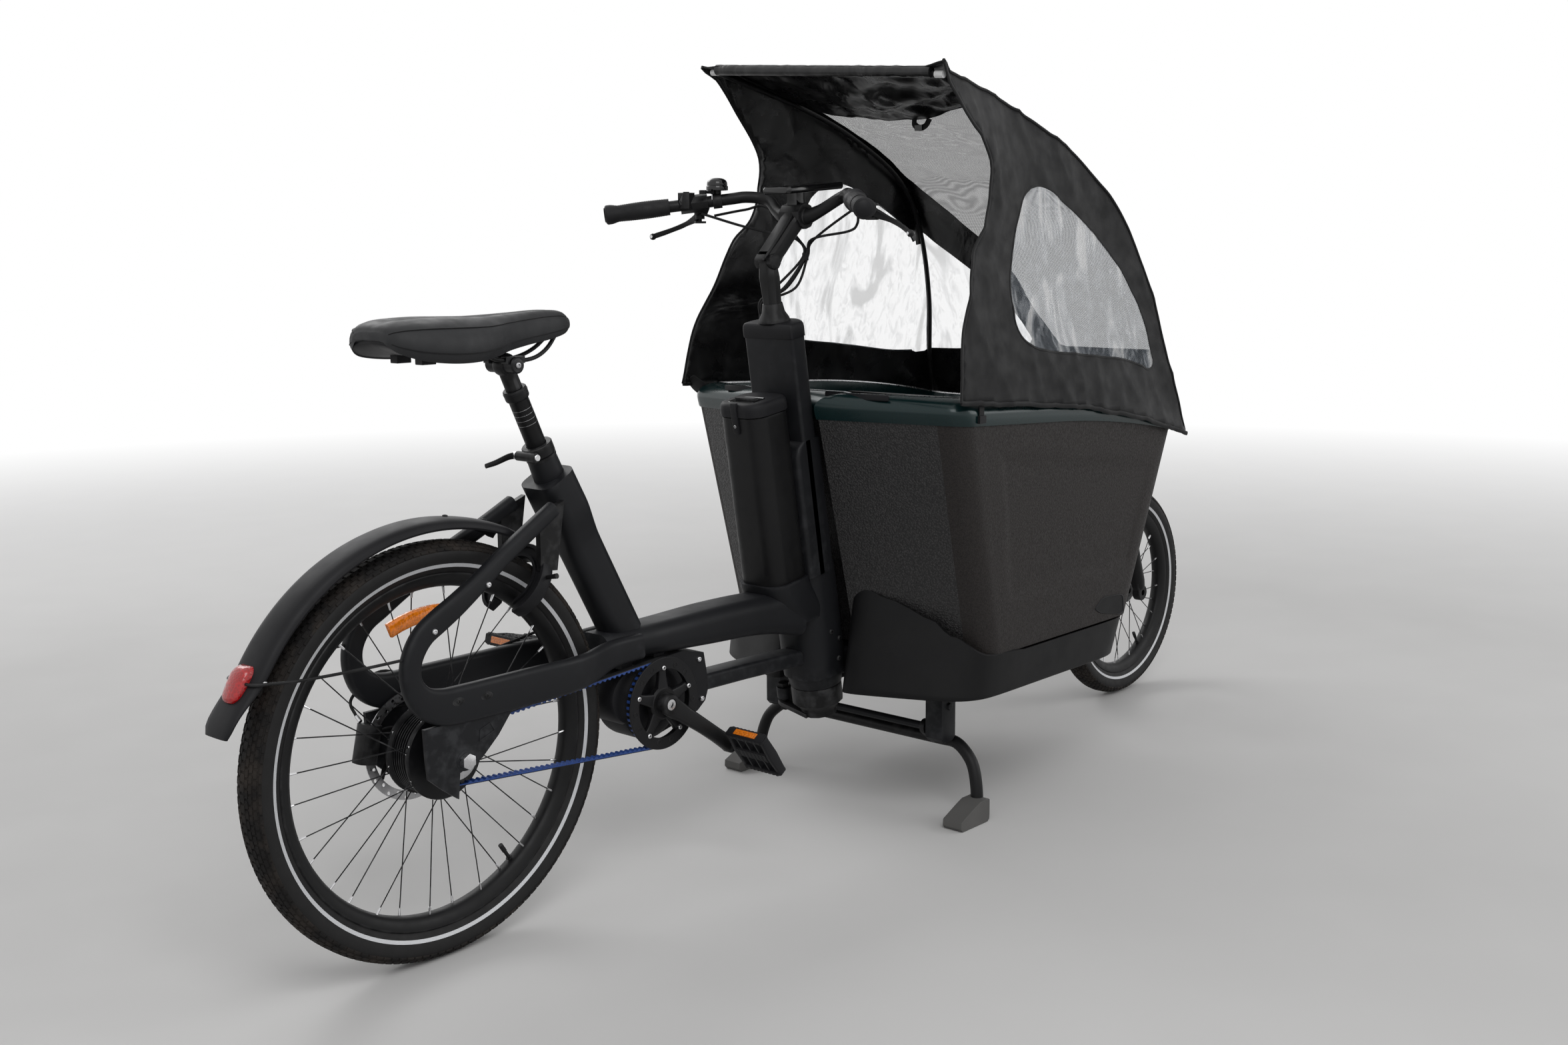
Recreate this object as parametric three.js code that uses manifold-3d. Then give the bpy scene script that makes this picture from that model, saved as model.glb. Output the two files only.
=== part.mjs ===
// Front-loading cargo bicycle with a mid-mounted motor, a toothed belt drive and a canopy over its box.
// Millimetres. +X is the way the bicycle rides, +Y its left side, +Z up; it stands on its rear tyre and
// stand.

import * as THREE from 'three';
import { mergeVertices } from 'three/addons/utils/BufferGeometryUtils.js';
import Module from 'manifold-3d';

const wasm = await Module();
wasm.setup();

// Fits and overruns

const gap = 0.3;
const fit = 0.06;
const overrun = 5;

// Helpers that turn three.js geometry into closed solids and back

const V = (x, y, z) => new THREE.Vector3(x, y, z);
const AXIS_X = V(1, 0, 0);
const AXIS_Y = V(0, 1, 0);
const AXIS_Z = V(0, 0, 1);

function solidFrom(positions, indices) {
  let six = 0;
  for (let i = 0; i < indices.length; i += 3) {
    const [a, b, c] = [0, 1, 2].map((k) => new THREE.Vector3().fromArray(positions, indices[i + k] * 3));
    six += a.dot(b.cross(c));
  }
  const triVerts = new Uint32Array(indices);
  if (six < 0) {
    for (let i = 0; i < triVerts.length; i += 3) {
      [triVerts[i], triVerts[i + 1]] = [triVerts[i + 1], triVerts[i]];
    }
  }
  return new wasm.Manifold(new wasm.Mesh({ numProp: 3, vertProperties: new Float32Array(positions),
    triVerts }));
}

function solid(geometry) {
  const bare = geometry.clone();
  bare.deleteAttribute('normal');
  bare.deleteAttribute('uv');
  const merged = mergeVertices(bare);
  return solidFrom(Array.from(merged.attributes.position.array), Array.from(merged.index.array));
}

function geometryOf(manifold) {
  const mesh = manifold.simplify(fit / 2).getMesh();
  const geometry = new THREE.BufferGeometry();
  geometry.setAttribute('position', new THREE.BufferAttribute(new Float32Array(mesh.vertProperties), 3));
  geometry.setIndex(new THREE.BufferAttribute(new Uint32Array(mesh.triVerts), 1));
  return geometry;
}

const placed = (manifold, matrix) => manifold.transform(matrix.elements);
const joined = (...parts) => wasm.Manifold.union(parts.flat());

function frameAt(origin, lean) {
  return new THREE.Matrix4().makeRotationY(-lean).setPosition(origin);
}

// A straight round bar or taper from a to b.
function bar(a, b, radius, endRadius = radius, sides = 12) {
  const along = b.clone().sub(a);
  const geometry = new THREE.CylinderGeometry(endRadius, radius, along.length(), sides);
  geometry.applyQuaternion(new THREE.Quaternion().setFromUnitVectors(AXIS_Y, along.clone().normalize()));
  geometry.translate(...a.clone().add(b).multiplyScalar(0.5).toArray());
  return solid(geometry);
}

function block(centre, sizeX, sizeY, sizeZ) {
  const geometry = new THREE.BoxGeometry(sizeX, sizeY, sizeZ);
  geometry.translate(...centre.toArray());
  return solid(geometry);
}

// A tube that follows a smooth curve through the points.
function tube(points, radius, steps, sides = 8) {
  const path = new THREE.CatmullRomCurve3(points, false, 'centripetal');
  const shape = new THREE.Shape();
  for (let i = 0; i < sides; i += 1) {
    const angle = (2 * Math.PI * i) / sides;
    const [x, y] = [radius * Math.cos(angle), radius * Math.sin(angle)];
    if (i === 0) shape.moveTo(x, y);
    else shape.lineTo(x, y);
  }
  return solid(new THREE.ExtrudeGeometry(shape, { steps, extrudePath: path, bevelEnabled: false }));
}

// An outline of [x, z] pairs, seen from the right side, extruded along Y from low to high.
function plate(outline, low, high) {
  const shape = new THREE.Shape(outline.map(([x, z]) => new THREE.Vector2(x, z)));
  const geometry = new THREE.ExtrudeGeometry(shape, { depth: high - low, bevelEnabled: false });
  geometry.rotateX(Math.PI / 2);
  geometry.translate(0, high, 0);
  return solid(geometry);
}

// A profile of [radius, along] pairs turned about an axis through the origin point.
function turned(profile, origin, axis = AXIS_Z, segments = 24) {
  const points = profile.map(([radius, along]) => new THREE.Vector2(radius, along));
  const geometry = new THREE.LatheGeometry(points, segments);
  geometry.applyQuaternion(new THREE.Quaternion().setFromUnitVectors(AXIS_Y, axis));
  geometry.translate(...origin.toArray());
  return solid(geometry);
}

// Radius of a bore with flat facets that still clears a round shaft all the way round.
const boreOf = (radius, clearance, segments) => (radius + clearance) / Math.cos(Math.PI / segments);

const disc = (radius, low, high) => [[0, low], [radius, low], [radius, high], [0, high]];
const washer = (inner, outer, low, high) => [[inner, low], [outer, low], [outer, high], [inner, high],
  [inner, low]];

// A closed solid through rings of equal point counts, with flat ends.
function loft(rings) {
  const count = rings[0].length;
  const positions = rings.flat().flatMap((point) => point.toArray());
  const indices = [];
  for (let k = 0; k + 1 < rings.length; k += 1) {
    for (let i = 0; i < count; i += 1) {
      const j = (i + 1) % count;
      const [a, b, c, d] = [k * count + i, k * count + j, (k + 1) * count + j, (k + 1) * count + i];
      indices.push(a, b, c, a, c, d);
    }
  }
  const last = (rings.length - 1) * count;
  for (let i = 1; i + 1 < count; i += 1) {
    indices.push(0, i + 1, i, last, last + i, last + i + 1);
  }
  return solidFrom(positions, indices);
}

// A rounded rectangle of points about a centre, in the plane of the directions u and v.
function roundedRing(centre, u, v, halfU, halfV, corner, cornerSteps = 3) {
  const points = [];
  const signs = [[1, 1], [-1, 1], [-1, -1], [1, -1]];
  signs.forEach(([su, sv], quarter) => {
    for (let i = 0; i <= cornerSteps; i += 1) {
      const angle = ((quarter + i / cornerSteps) * Math.PI) / 2;
      const alongU = su * (halfU - corner) + corner * Math.cos(angle);
      const alongV = sv * (halfV - corner) + corner * Math.sin(angle);
      points.push(centre.clone().addScaledVector(u, alongU).addScaledVector(v, alongV));
    }
  });
  return points;
}

// A loft of rounded rectangles along stations of { at, u, v, halfU, halfV, corner }.
const loftAlong = (stations, cornerSteps = 3) =>
  loft(stations.map((s) => roundedRing(s.at, s.u, s.v, s.halfU, s.halfV, s.corner, cornerSteps)));

const radians = (degrees) => (degrees * Math.PI) / 180;
const ascending = (a, b) => [Math.min(a, b), Math.max(a, b)];
const mirrored = (manifold) => manifold.mirror([0, 1, 0]);

// Colours and finishes

const finish = (color, roughness, metalness = 0) => ({ color, roughness, metalness });
const frameBlack = finish(0x26272b, 0.5, 0.1);
const satinBlack = finish(0x1b1c1f, 0.4, 0.1);
const glossBlack = finish(0x0d0d0f, 0.2, 0.1);
const rubberBlack = finish(0x202022, 0.85);
const alloyBlack = finish(0x17181a, 0.35, 0.7);
const steel = finish(0xb9bcc0, 0.3, 0.9);
const foamGrey = finish(0x2b2a2c, 0.8);
const rimTeal = finish(0x12393c, 0.3, 0.4);
const clothBlack = finish(0x1e1e20, 0.75);
const beltBlue = finish(0x3d6fc4, 0.5);
const lampRed = finish(0xb3121a, 0.25);

const bicycle = new THREE.Group();

function add(name, manifold, look) {
  const mesh = new THREE.Mesh(geometryOf(manifold), new THREE.MeshStandardMaterial(look));
  mesh.name = name;
  bicycle.add(mesh);
}

// Driving sizes of the whole bicycle

const wheelbase = 2085;
const frontTyreLift = 3;

// Wheels: one set of sizes for each, about an axle along Y

const rearWheel = {
  outer: 334.5, tyreWidth: 56, rimOuter: 283, rimDepth: 22, rimWidth: 38, spokeCount: 32, spokeRadius: 1.1,
  hubRadius: 68, hubHalf: 40, flangeRadius: 72, flange: 5, flangeY: 27, axleRadius: 6, crossing: 0.28,
};
const frontWheel = {
  outer: 258, tyreWidth: 56, rimOuter: 207, rimDepth: 22, rimWidth: 38, spokeCount: 32, spokeRadius: 1.1,
  hubRadius: 17, hubHalf: 32, flangeRadius: 29, flange: 4, flangeY: 26, axleRadius: 6, crossing: 0.4,
};
const rearAxle = V(0, 0, rearWheel.outer);
const frontAxle = V(wheelbase, 0, frontWheel.outer + frontTyreLift);
const wheelSegments = 28;
const hubSegments = 10;

// The tyre's half section as [share of half width, share of height above the rim].
const tyreShares = [[0.7, 0], [1, 0.48], [0.52, 0.98]];

function tyre(wheel, axle) {
  const bed = wheel.rimOuter + gap;
  const half = tyreShares.map(([w, h]) => [bed + h * (wheel.outer - bed), (w * wheel.tyreWidth) / 2]);
  const other = half.map(([r, y]) => [r, -y]).reverse();
  return turned([...half, ...other, half[0]], axle, AXIS_Y, wheelSegments);
}

function spokedWheel(wheel, axle) {
  const inner = wheel.rimOuter - wheel.rimDepth;
  const [wide, narrow] = [wheel.rimWidth / 2, wheel.rimWidth / 4];
  const rim = turned([
    [wheel.rimOuter, wide], [inner, narrow], [inner, -narrow], [wheel.rimOuter, -wide],
      [wheel.rimOuter, wide],
  ], axle, AXIS_Y, wheelSegments);
  const bore = boreOf(wheel.axleRadius, fit, hubSegments);
  const flangeIn = wheel.flangeY - wheel.flange;
  const hub = turned([
    [bore, -wheel.hubHalf], [wheel.hubRadius / 2, -wheel.hubHalf], [wheel.flangeRadius, -wheel.flangeY],
    [wheel.flangeRadius, -flangeIn], [wheel.hubRadius, -flangeIn], [wheel.hubRadius, flangeIn],
    [wheel.flangeRadius, flangeIn], [wheel.flangeRadius, wheel.flangeY], [wheel.hubRadius / 2, wheel.hubHalf],
    [bore, wheel.hubHalf], [bore, -wheel.hubHalf],
  ], axle, AXIS_Y, hubSegments);
  const spokes = [];
  for (let i = 0; i < wheel.spokeCount; i += 1) {
    const side = i % 2 === 0 ? 1 : -1;
    const lean = Math.floor(i / 2) % 2 === 0 ? 1 : -1;
    const atRim = (2 * Math.PI * (i + 0.5)) / wheel.spokeCount;
    const atHub = atRim + lean * wheel.crossing;
    const hubR = wheel.flangeRadius * Math.cos(Math.PI / hubSegments) - 2 * wheel.spokeRadius;
    const rimR = inner + wheel.rimDepth / 8;
    const laced = lean * (wheel.flange / 2 - wheel.spokeRadius);
    const from = V(hubR * Math.cos(atHub), side * (wheel.flangeY - wheel.flange / 2) + laced,
      hubR * Math.sin(atHub));
    const to = V(rimR * Math.cos(atRim), (side * narrow) / 2, rimR * Math.sin(atRim));
    spokes.push(bar(from.add(axle), to.add(axle), wheel.spokeRadius, wheel.spokeRadius, 3));
  }
  return joined(rim, hub, spokes);
}

// Disc brakes on the left side: a rotor on the hub and a caliper on the carrier

const brake = {
  rotorOuter: 90, rotorInner: 74, rotorThickness: 2, armCount: 3, armWidth: 14, carrier: 22, rearY: 56,
    frontY: 37,
  caliperLength: 62, caliperWidth: 30, caliperHeight: 34, slot: 4, inset: 20, rearTurn: -77, frontTurn: -50,
};

function rotor(wheel, axle, y) {
  const half = brake.rotorThickness / 2;
  const at = V(axle.x, y, axle.z);
  const ring = turned(washer(brake.rotorInner, brake.rotorOuter, -half, half), at, AXIS_Y, 16);
  const bore = boreOf(wheel.axleRadius, fit, hubSegments);
  const centre = turned(washer(bore, brake.carrier, wheel.hubHalf + gap - y, half), at, AXIS_Y, hubSegments);
  const arms = [];
  for (let i = 0; i < brake.armCount; i += 1) {
    const angle = (2 * Math.PI * i) / brake.armCount;
    const sweep = angle + Math.PI / brake.armCount;
    const from = V(Math.cos(angle), 0, Math.sin(angle)).multiplyScalar(brake.carrier - brake.rotorThickness);
    const to = V(Math.cos(sweep), 0, Math.sin(sweep)).multiplyScalar(brake.rotorInner + brake.rotorThickness);
    const along = to.clone().sub(from);
    const across = V(-along.z, 0, along.x).normalize().multiplyScalar(brake.armWidth / 2);
    const corners = [from.clone().add(across), to.clone().add(across), to.clone().sub(across),
      from.clone().sub(across)];
    arms.push(plate(corners.map((p) => [p.x + axle.x, p.z + axle.z]), y - half, y + half));
  }
  return joined(ring, centre, arms);
}

// The caliper straddles the rotor: turn 0 puts it straight above the axle, positive turns lean it forward.
function caliper(axle, y, degrees) {
  const reach = brake.rotorOuter - brake.inset + brake.caliperHeight / 2;
  const body = loftAlong([-1, 1].map((s) => ({
    at: V((s * brake.caliperLength) / 2, y, reach), u: AXIS_Y, v: AXIS_Z,
    halfU: brake.caliperWidth / 2, halfV: brake.caliperHeight / 2, corner: brake.caliperHeight / 4,
  })), 2);
  const slit = turned(disc(brake.rotorOuter + brake.slot, -brake.slot / 2, brake.slot / 2), V(0, y, 0),
    AXIS_Y, 16);
  const turn = new THREE.Matrix4().makeRotationY(radians(degrees)).setPosition(axle.x, 0, axle.z);
  return placed(body.subtract(slit), turn);
}

// Belt drive: two toothed pulleys and one toothed belt on the right side

const drive = {
  pitch: 11, frontTeeth: 44, rearTeeth: 24, toothDepth: 3, backThickness: 3, beltWidth: 12, beltY: -56,
  bottomBracketX: 441, bottomBracketZ: 329, spindleRadius: 9.5,
};
const bottomBracket = V(drive.bottomBracketX, 0, drive.bottomBracketZ);
const pitchRadius = (teeth) => (teeth * drive.pitch) / (2 * Math.PI);

// The belt's inside runs round both pulleys; the teeth hang inwards from it.
function beltPath() {
  const [rearR, frontR] = [pitchRadius(drive.rearTeeth), pitchRadius(drive.frontTeeth)];
  const between = bottomBracket.clone().sub(rearAxle);
  const distance = Math.hypot(between.x, between.z);
  const tilt = Math.atan2(between.z, between.x);
  const open = Math.acos((rearR - frontR) / distance);
  const straight = Math.sqrt(distance ** 2 - (frontR - rearR) ** 2);
  const rearArc = rearR * 2 * (Math.PI - open);
  const frontArc = frontR * 2 * open;
  const total = rearArc + frontArc + 2 * straight;
  const onArc = (centre, radius, angle) => ({
    x: centre.x + radius * Math.cos(angle), z: centre.z + radius * Math.sin(angle),
    nx: Math.cos(angle), nz: Math.sin(angle),
  });
  // Runs from the rear pulley's top tangent over the front pulley, back below and round the rear pulley.
  const at = (distanceAlong) => {
    let s = ((distanceAlong % total) + total) % total;
    const [topAngle, lowAngle] = [tilt + open, tilt - open];
    const run = (fromAngle, share) => {
      const from = onArc(rearAxle, rearR, fromAngle);
      const to = onArc(bottomBracket, frontR, fromAngle);
      return { x: from.x + (to.x - from.x) * share, z: from.z + (to.z - from.z) * share, nx: from.nx,
        nz: from.nz };
    };
    if (s < straight) return run(topAngle, s / straight);
    s -= straight;
    if (s < frontArc) return onArc(bottomBracket, frontR, topAngle - s / frontR);
    s -= frontArc;
    if (s < straight) return run(lowAngle, 1 - s / straight);
    s -= straight;
    return onArc(rearAxle, rearR, lowAngle - s / rearR);
  };
  return { at, total, straight, frontArc };
}

// Tooth centres on the two straight runs. Where the belt wraps a pulley it has none, so the pulley turns
// freely.
function toothStations(path) {
  const clear = (teeth) => Math.sqrt(2 * pitchRadius(teeth) * (drive.toothDepth + 2 * gap)) + drive.pitch / 2;
  const [rear, front] = [clear(drive.rearTeeth), clear(drive.frontTeeth)];
  const fill = (from, to) => {
    const count = Math.floor((to - from) / drive.pitch);
    const start = (from + to - count * drive.pitch) / 2;
    return Array.from({ length: count + 1 }, (_, k) => start + k * drive.pitch);
  };
  const low = path.straight + path.frontArc;
  return [fill(rear, path.straight - front), fill(low + front, low + path.straight - rear)];
}

function belt() {
  const path = beltPath();
  const inset = (s, depth) => {
    const p = path.at(s);
    return [p.x - depth * p.nx, p.z - depth * p.nz];
  };
  const [high, low] = toothStations(path);
  const root = drive.pitch / 2;
  const toothed = (stations) => [inset(stations[0] - root, 0), ...stations.flatMap(
    (s) => [inset(s, drive.toothDepth), inset(s + root, 0)])];
  const arc = (from, to, step, depth) => {
    const count = Math.ceil((to - from) / step);
    return Array.from({ length: count + 1 }, (_, k) => inset(from + (k * (to - from)) / count, depth));
  };
  const lowFrom = path.straight + path.frontArc;
  const rearFrom = lowFrom + path.straight;
  const around = (step, depth) => [
    arc(path.straight, lowFrom, step, depth), arc(rearFrom, path.total, step, depth)];
  const [frontIn, rearIn] = around(drive.pitch, -gap);
  const inside = [...toothed(high), ...frontIn, ...toothed(low), ...rearIn];
  const outside = around(1.5 * drive.pitch, -drive.backThickness).flat();
  const [right, left] = [drive.beltY - drive.beltWidth / 2, drive.beltY + drive.beltWidth / 2];
  return plate(outside, right, left).subtract(plate(inside, right - overrun, left + overrun));
}

// A toothed ring whose grooves take the belt's teeth; phase is the angle of one groove.
function toothedRing(centre, teeth, phase, low, high) {
  const radius = pitchRadius(teeth);
  const outline = [];
  for (let i = 0; i < teeth; i += 1) {
    const point = (share, inwards) => {
      const angle = phase + (2 * Math.PI * (i + share)) / teeth;
      return [centre.x + (radius - inwards) * Math.cos(angle),
        centre.z + (radius - inwards) * Math.sin(angle)];
    };
    outline.push(point(0, drive.toothDepth + 2 * gap), point(0.5, 2 * gap));
  }
  return plate(outline, low, high);
}

const beltTilt = Math.atan2(bottomBracket.z - rearAxle.z, bottomBracket.x - rearAxle.x);
const beltInside = drive.beltY + drive.beltWidth / 2 + gap;
const beltOutside = drive.beltY - drive.beltWidth / 2 - gap;

function rearPulley() {
  const teeth = toothedRing(rearAxle, drive.rearTeeth, beltTilt + Math.PI, beltOutside, beltInside);
  const at = V(rearAxle.x, 0, rearAxle.z);
  const radius = pitchRadius(drive.rearTeeth);
  const bore = turned(disc(boreOf(rearWheel.axleRadius, fit, hubSegments), beltOutside - overrun,
    -rearWheel.hubHalf + overrun), at, AXIS_Y, hubSegments);
  const lockRing = turned(
    washer(boreOf(rearWheel.axleRadius, fit, hubSegments), radius / 2, beltInside,
      -rearWheel.hubHalf - gap), at, AXIS_Y,
    hubSegments);
  return joined(teeth.subtract(bore), lockRing);
}

const pulley = { spiderCount: 5, spiderWidth: 22, ringDepth: 12, hub: 30, guardOver: 5, guardThickness: 3,
  guardRing: 16 };

function frontPulley() {
  const radius = pitchRadius(drive.frontTeeth);
  const at = V(bottomBracket.x, 0, bottomBracket.z);
  const ringInner = radius - pulley.ringDepth;
  const bore = turned(disc(ringInner, beltOutside - overrun, beltInside + overrun), at, AXIS_Y, 16);
  const teeth = toothedRing(bottomBracket, drive.frontTeeth, beltTilt, beltOutside,
    beltInside).subtract(bore);
  const [low, high] = [beltOutside - pulley.guardThickness, beltOutside];
  const guard = turned(washer(radius - pulley.guardRing, radius + pulley.guardOver, low, high), at, AXIS_Y,
    20);
  const hub = turned(washer(drive.spindleRadius + gap, pulley.hub, low, beltInside), at, AXIS_Y, hubSegments);
  const arms = [];
  for (let i = 0; i < pulley.spiderCount; i += 1) {
    const angle = (2 * Math.PI * i) / pulley.spiderCount + Math.PI / 2;
    const out = V(Math.cos(angle), 0, Math.sin(angle));
    const across = V(-out.z, 0, out.x).multiplyScalar(pulley.spiderWidth / 2);
    const inner = pulley.hub - pulley.guardThickness;
    const reach = ringInner + pulley.guardThickness;
    const ends = [[inner, 1], [reach, 0.7], [reach, -0.7], [inner, -1]];
    const outline = ends.map(([along, side]) => {
      const p = out.clone().multiplyScalar(along).addScaledVector(across, side).add(at);
      return [p.x, p.z];
    });
    arms.push(plate(outline, low, beltInside));
  }
  return joined(teeth, guard, hub, arms);
}

// Cranks and pedals

const crank = { reach: 165, rightY: -74, leftY: 74, thickness: 15, bossRadius: 19, endRadius: 14,
  outwards: 20, angle: -37 };
const pedal = {
  depth: 92, width: 88, thickness: 22, from: 12, bars: 9, middle: 22, axleRadius: 5.5, rightTilt: 55,
  leftTilt: 12, reflectorWidth: 52, reflectorHeight: 12, reflectorDepth: 3,
};

// The arm leans outwards from its boss at the spindle to its eye at the pedal.
function crankArm(side) {
  const angle = radians(crank.angle) + (side < 0 ? 0 : Math.PI);
  const out = V(Math.cos(angle), 0, Math.sin(angle));
  const bossY = side < 0 ? crank.rightY : crank.leftY;
  const start = V(bottomBracket.x, bossY, bottomBracket.z);
  const across = V(-out.z, 0, out.x);
  const shares = [[-0.02, 0, 1], [0.12, 0.1, 0.95], [0.5, 0.75, 0.72], [0.88, 1, 0.74], [1.03, 1, 0.7]];
  const arm = loftAlong(shares.map(([along, outShare, size]) => ({
    at: start.clone().addScaledVector(out, along * crank.reach).add(V(0, side * outShare * crank.outwards,
      0)),
    u: across, v: AXIS_Y, halfU: crank.bossRadius * size, halfV: crank.thickness / 2,
      corner: crank.thickness / 3,
  })), 1);
  const eyeY = bossY + side * crank.outwards;
  const eye = start.clone().addScaledVector(out, crank.reach).setY(eyeY);
  const half = crank.thickness / 2;
  const boss = turned(disc(crank.bossRadius, -half - crank.thickness / 3, half), start, AXIS_Y, hubSegments);
  const end = turned(disc(crank.endRadius, -half, half), eye, AXIS_Y, 10);
  return { body: joined(arm, boss, end), eye };
}

const rightArm = crankArm(-1);
const leftArm = crankArm(1);

// Spindle through the motor, fixed to the right arm; the left arm is clamped on its end.
function rightCrank() {
  const left = crank.leftY + crank.thickness;
  const spindle = turned(disc(drive.spindleRadius, crank.rightY, left),
    V(bottomBracket.x, 0, bottomBracket.z), AXIS_Y, hubSegments);
  return joined(rightArm.body, spindle);
}

function leftCrank() {
  const hole = turned(disc(boreOf(drive.spindleRadius, gap, hubSegments), -crank.reach, crank.reach * 2),
    bottomBracket, AXIS_Y,
    hubSegments);
  return leftArm.body.subtract(hole);
}

function pedalAt(arm, side, tilt) {
  const near = pedal.from + crank.thickness / 2;
  const middleY = side * (near + pedal.width / 2);
  const windowLength = (pedal.depth - pedal.middle) / 2 - pedal.bars;
  const windows = [-1, 1].map((s) => block(
    V(s * (pedal.middle / 2 + windowLength / 2), middleY, 0),
    windowLength, pedal.width - 2 * pedal.bars, pedal.thickness + overrun));
  const reflectors = [-1, 1].map((s) => block(
    V((s * pedal.depth) / 2, middleY, 0), pedal.reflectorDepth, pedal.reflectorWidth, pedal.reflectorHeight));
  const platform = block(V(0, middleY, 0), pedal.depth, pedal.width,
    pedal.thickness).subtract(joined(windows));
  const [low, high] = ascending(side * (crank.thickness / 2 + gap), middleY);
  const axle = turned(disc(pedal.axleRadius, low, high), V(0, 0, 0), AXIS_Y, 10);
  const frame = new THREE.Matrix4().makeRotationY(radians(-tilt)).setPosition(arm.eye);
  return placed(joined(platform, reflectors, axle), frame);
}

// Steering column axis: leans back; heights are measured along the leaning axis from the floor

const column = {
  footX: 964, lean: 9.1, towerLow: 292, collarTop: 508, cheekTop: 764, towerTop: 958, capHeight: 28,
  tubeRadius: 57, wallY: 60, rearDepth: 24, frontDepth: 36, frontHalf: 30, cheekDepth: 22, cheekWall: 5,
  cupRadius: 51, drumLow: 208, drumHigh: 262, steererRadius: 14.3, flareRadius: 31, flareHeight: 34,
  capOver: 2, capShrink: 3, recessRadius: 5, portX: 8, portY: 37,
};
const columnFoot = V(column.footX, 0, 0);
const columnFrame = frameAt(columnFoot, radians(column.lean));
const onColumn = (forward, left, up) => V(forward, left, up).applyMatrix4(columnFrame);

// Battery: a tall canister behind the tower, parallel to the steering axis

const battery = {
  behind: 84, halfDepth: 50, halfWidth: 52, corner: 30, low: 490, high: 832, lidHeight: 27, lidOver: 2.2,
  collarWall: 6, seatDepth: 18, recess: 6, handleWidth: 46, latchWidth: 14, latchHeight: 60, latchDepth: 5,
};
const canister = (grow, low, high) => placed(loftAlong([low, high].map((up) => ({
  at: V(-battery.behind, 0, up), u: AXIS_X, v: AXIS_Y, halfU: battery.halfDepth + grow,
  halfV: battery.halfWidth + grow, corner: battery.corner + grow,
})), 2), columnFrame);

function batteryPack() {
  const top = battery.high + battery.lidHeight;
  const lid = canister(battery.lidOver, battery.high, top);
  const handle = placed(block(V(-battery.behind - battery.halfDepth / 3, 0, top), battery.handleWidth,
    battery.handleWidth * 1.4, 2 * battery.recess), columnFrame);
  const latch = placed(block(V(-battery.behind - battery.halfDepth - battery.lidOver, 0, battery.high),
    2 * battery.latchDepth, battery.latchWidth, battery.latchHeight), columnFrame);
  return joined(canister(0, battery.low, battery.high + overrun), lid, latch).subtract(handle);
}

// Frame: welded tubes, each its own piece

const beam = {
  rearX: 338, frontX: 832, rearZ: 436, rearHalfHeight: 26, rearHalfWidth: 39.7, midX: 600, midZ: 433,
  midHalfHeight: 33, midHalfWidth: 47, frontZ: 424, frontHalfHeight: 50, frontHalfWidth: 54, corner: 24,
};
const seatTube = {
  topX: 246, topZ: 742, footX: 404, footZ: 452, topHalfDepth: 35, topHalfWidth: 40, halfDepth: 36,
    halfWidth: 27,
  corner: 20, bossRadius: 26,
};
const stay = {
  outerY: 86, thickness: 22, tuck: 24, corner: 8, height: 60, backX: -92, backZ: 495, span: 306, rise: 203,
};
const dropout = { thickness: 7, y: 72, span: 100, bossRadius: 17, plateTopZ: 393 };
const strut = { rearX: 566, rearZ: 329, frontX: 880, frontZ: 322, halfHeight: 15, halfWidth: 24 };

// Rounded tower section: flat wide back, narrower front.
function towerRing(up, backHalf, frontHalf, rear, front) {
  const cut = (front + rear) / 4;
  return [
    [-rear, -backHalf + cut / 4], [-rear + cut / 4, -backHalf], [front - cut, -frontHalf - cut / 2],
      [front, -frontHalf + cut / 2],
    [front, frontHalf - cut / 2], [front - cut, frontHalf + cut / 2], [-rear + cut / 4, backHalf],
      [-rear, backHalf - cut / 4],
  ].map(([x, y]) => V(x, y, up));
}

function tower(grow = 0) {
  const upper = loft([column.collarTop - overrun, column.towerTop].map((up) => towerRing(
    up, column.wallY + grow, column.frontHalf + grow, column.rearDepth + grow, column.frontDepth + grow)));
  const cheeks = loft([column.collarTop - overrun, column.cheekTop - column.cheekDepth,
    column.cheekTop].map((up, k) =>
    towerRing(up, column.wallY + grow, column.wallY + grow,
      column.rearDepth + (k < 2 ? column.cheekDepth : 0) + grow,
      column.rearDepth)));
  const lower = loftAlong([column.towerLow, column.collarTop].map((up) => ({
    at: V(0, 0, up), u: AXIS_X, v: AXIS_Y, halfU: column.tubeRadius + grow, halfV: column.tubeRadius + grow,
    corner: column.tubeRadius * 0.8,
  })), 2);
  const seat = loftAlong([
    [battery.low - 4 * battery.seatDepth, 0.45], [battery.low - 2 * battery.seatDepth, 0.85],
      [column.collarTop, 1],
  ].map(([up, reach]) => ({
    at: V(-battery.behind * reach, 0, up), u: AXIS_X, v: AXIS_Y,
    halfU: battery.halfDepth + battery.collarWall + grow,
      halfV: battery.halfWidth + battery.collarWall + grow,
    corner: battery.corner + battery.collarWall,
  })), 2);
  return placed(joined(upper, cheeks, lower, seat), columnFrame);
}

// The battery's pocket is open upwards, and its back lies against the tower between the cheeks.
const batteryWay = (clearance) => canister(clearance, battery.low - clearance, column.towerTop + overrun);

// The cup at the tower's foot carries the lower steering bearing.
const cupRing = () => placed(turned([
  [0, column.drumHigh + gap], [column.cupRadius, column.drumHigh + gap], [column.tubeRadius, column.towerLow],
  [column.tubeRadius * 0.9, column.towerLow + overrun], [0, column.towerLow + overrun],
], V(0, 0, 0), AXIS_Z, 16), columnFrame);

const steererBore = (clearance, low, high) => placed(
  turned(disc(boreOf(column.steererRadius, clearance, hubSegments), low, high), V(0, 0, 0), AXIS_Z,
    hubSegments), columnFrame);

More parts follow.
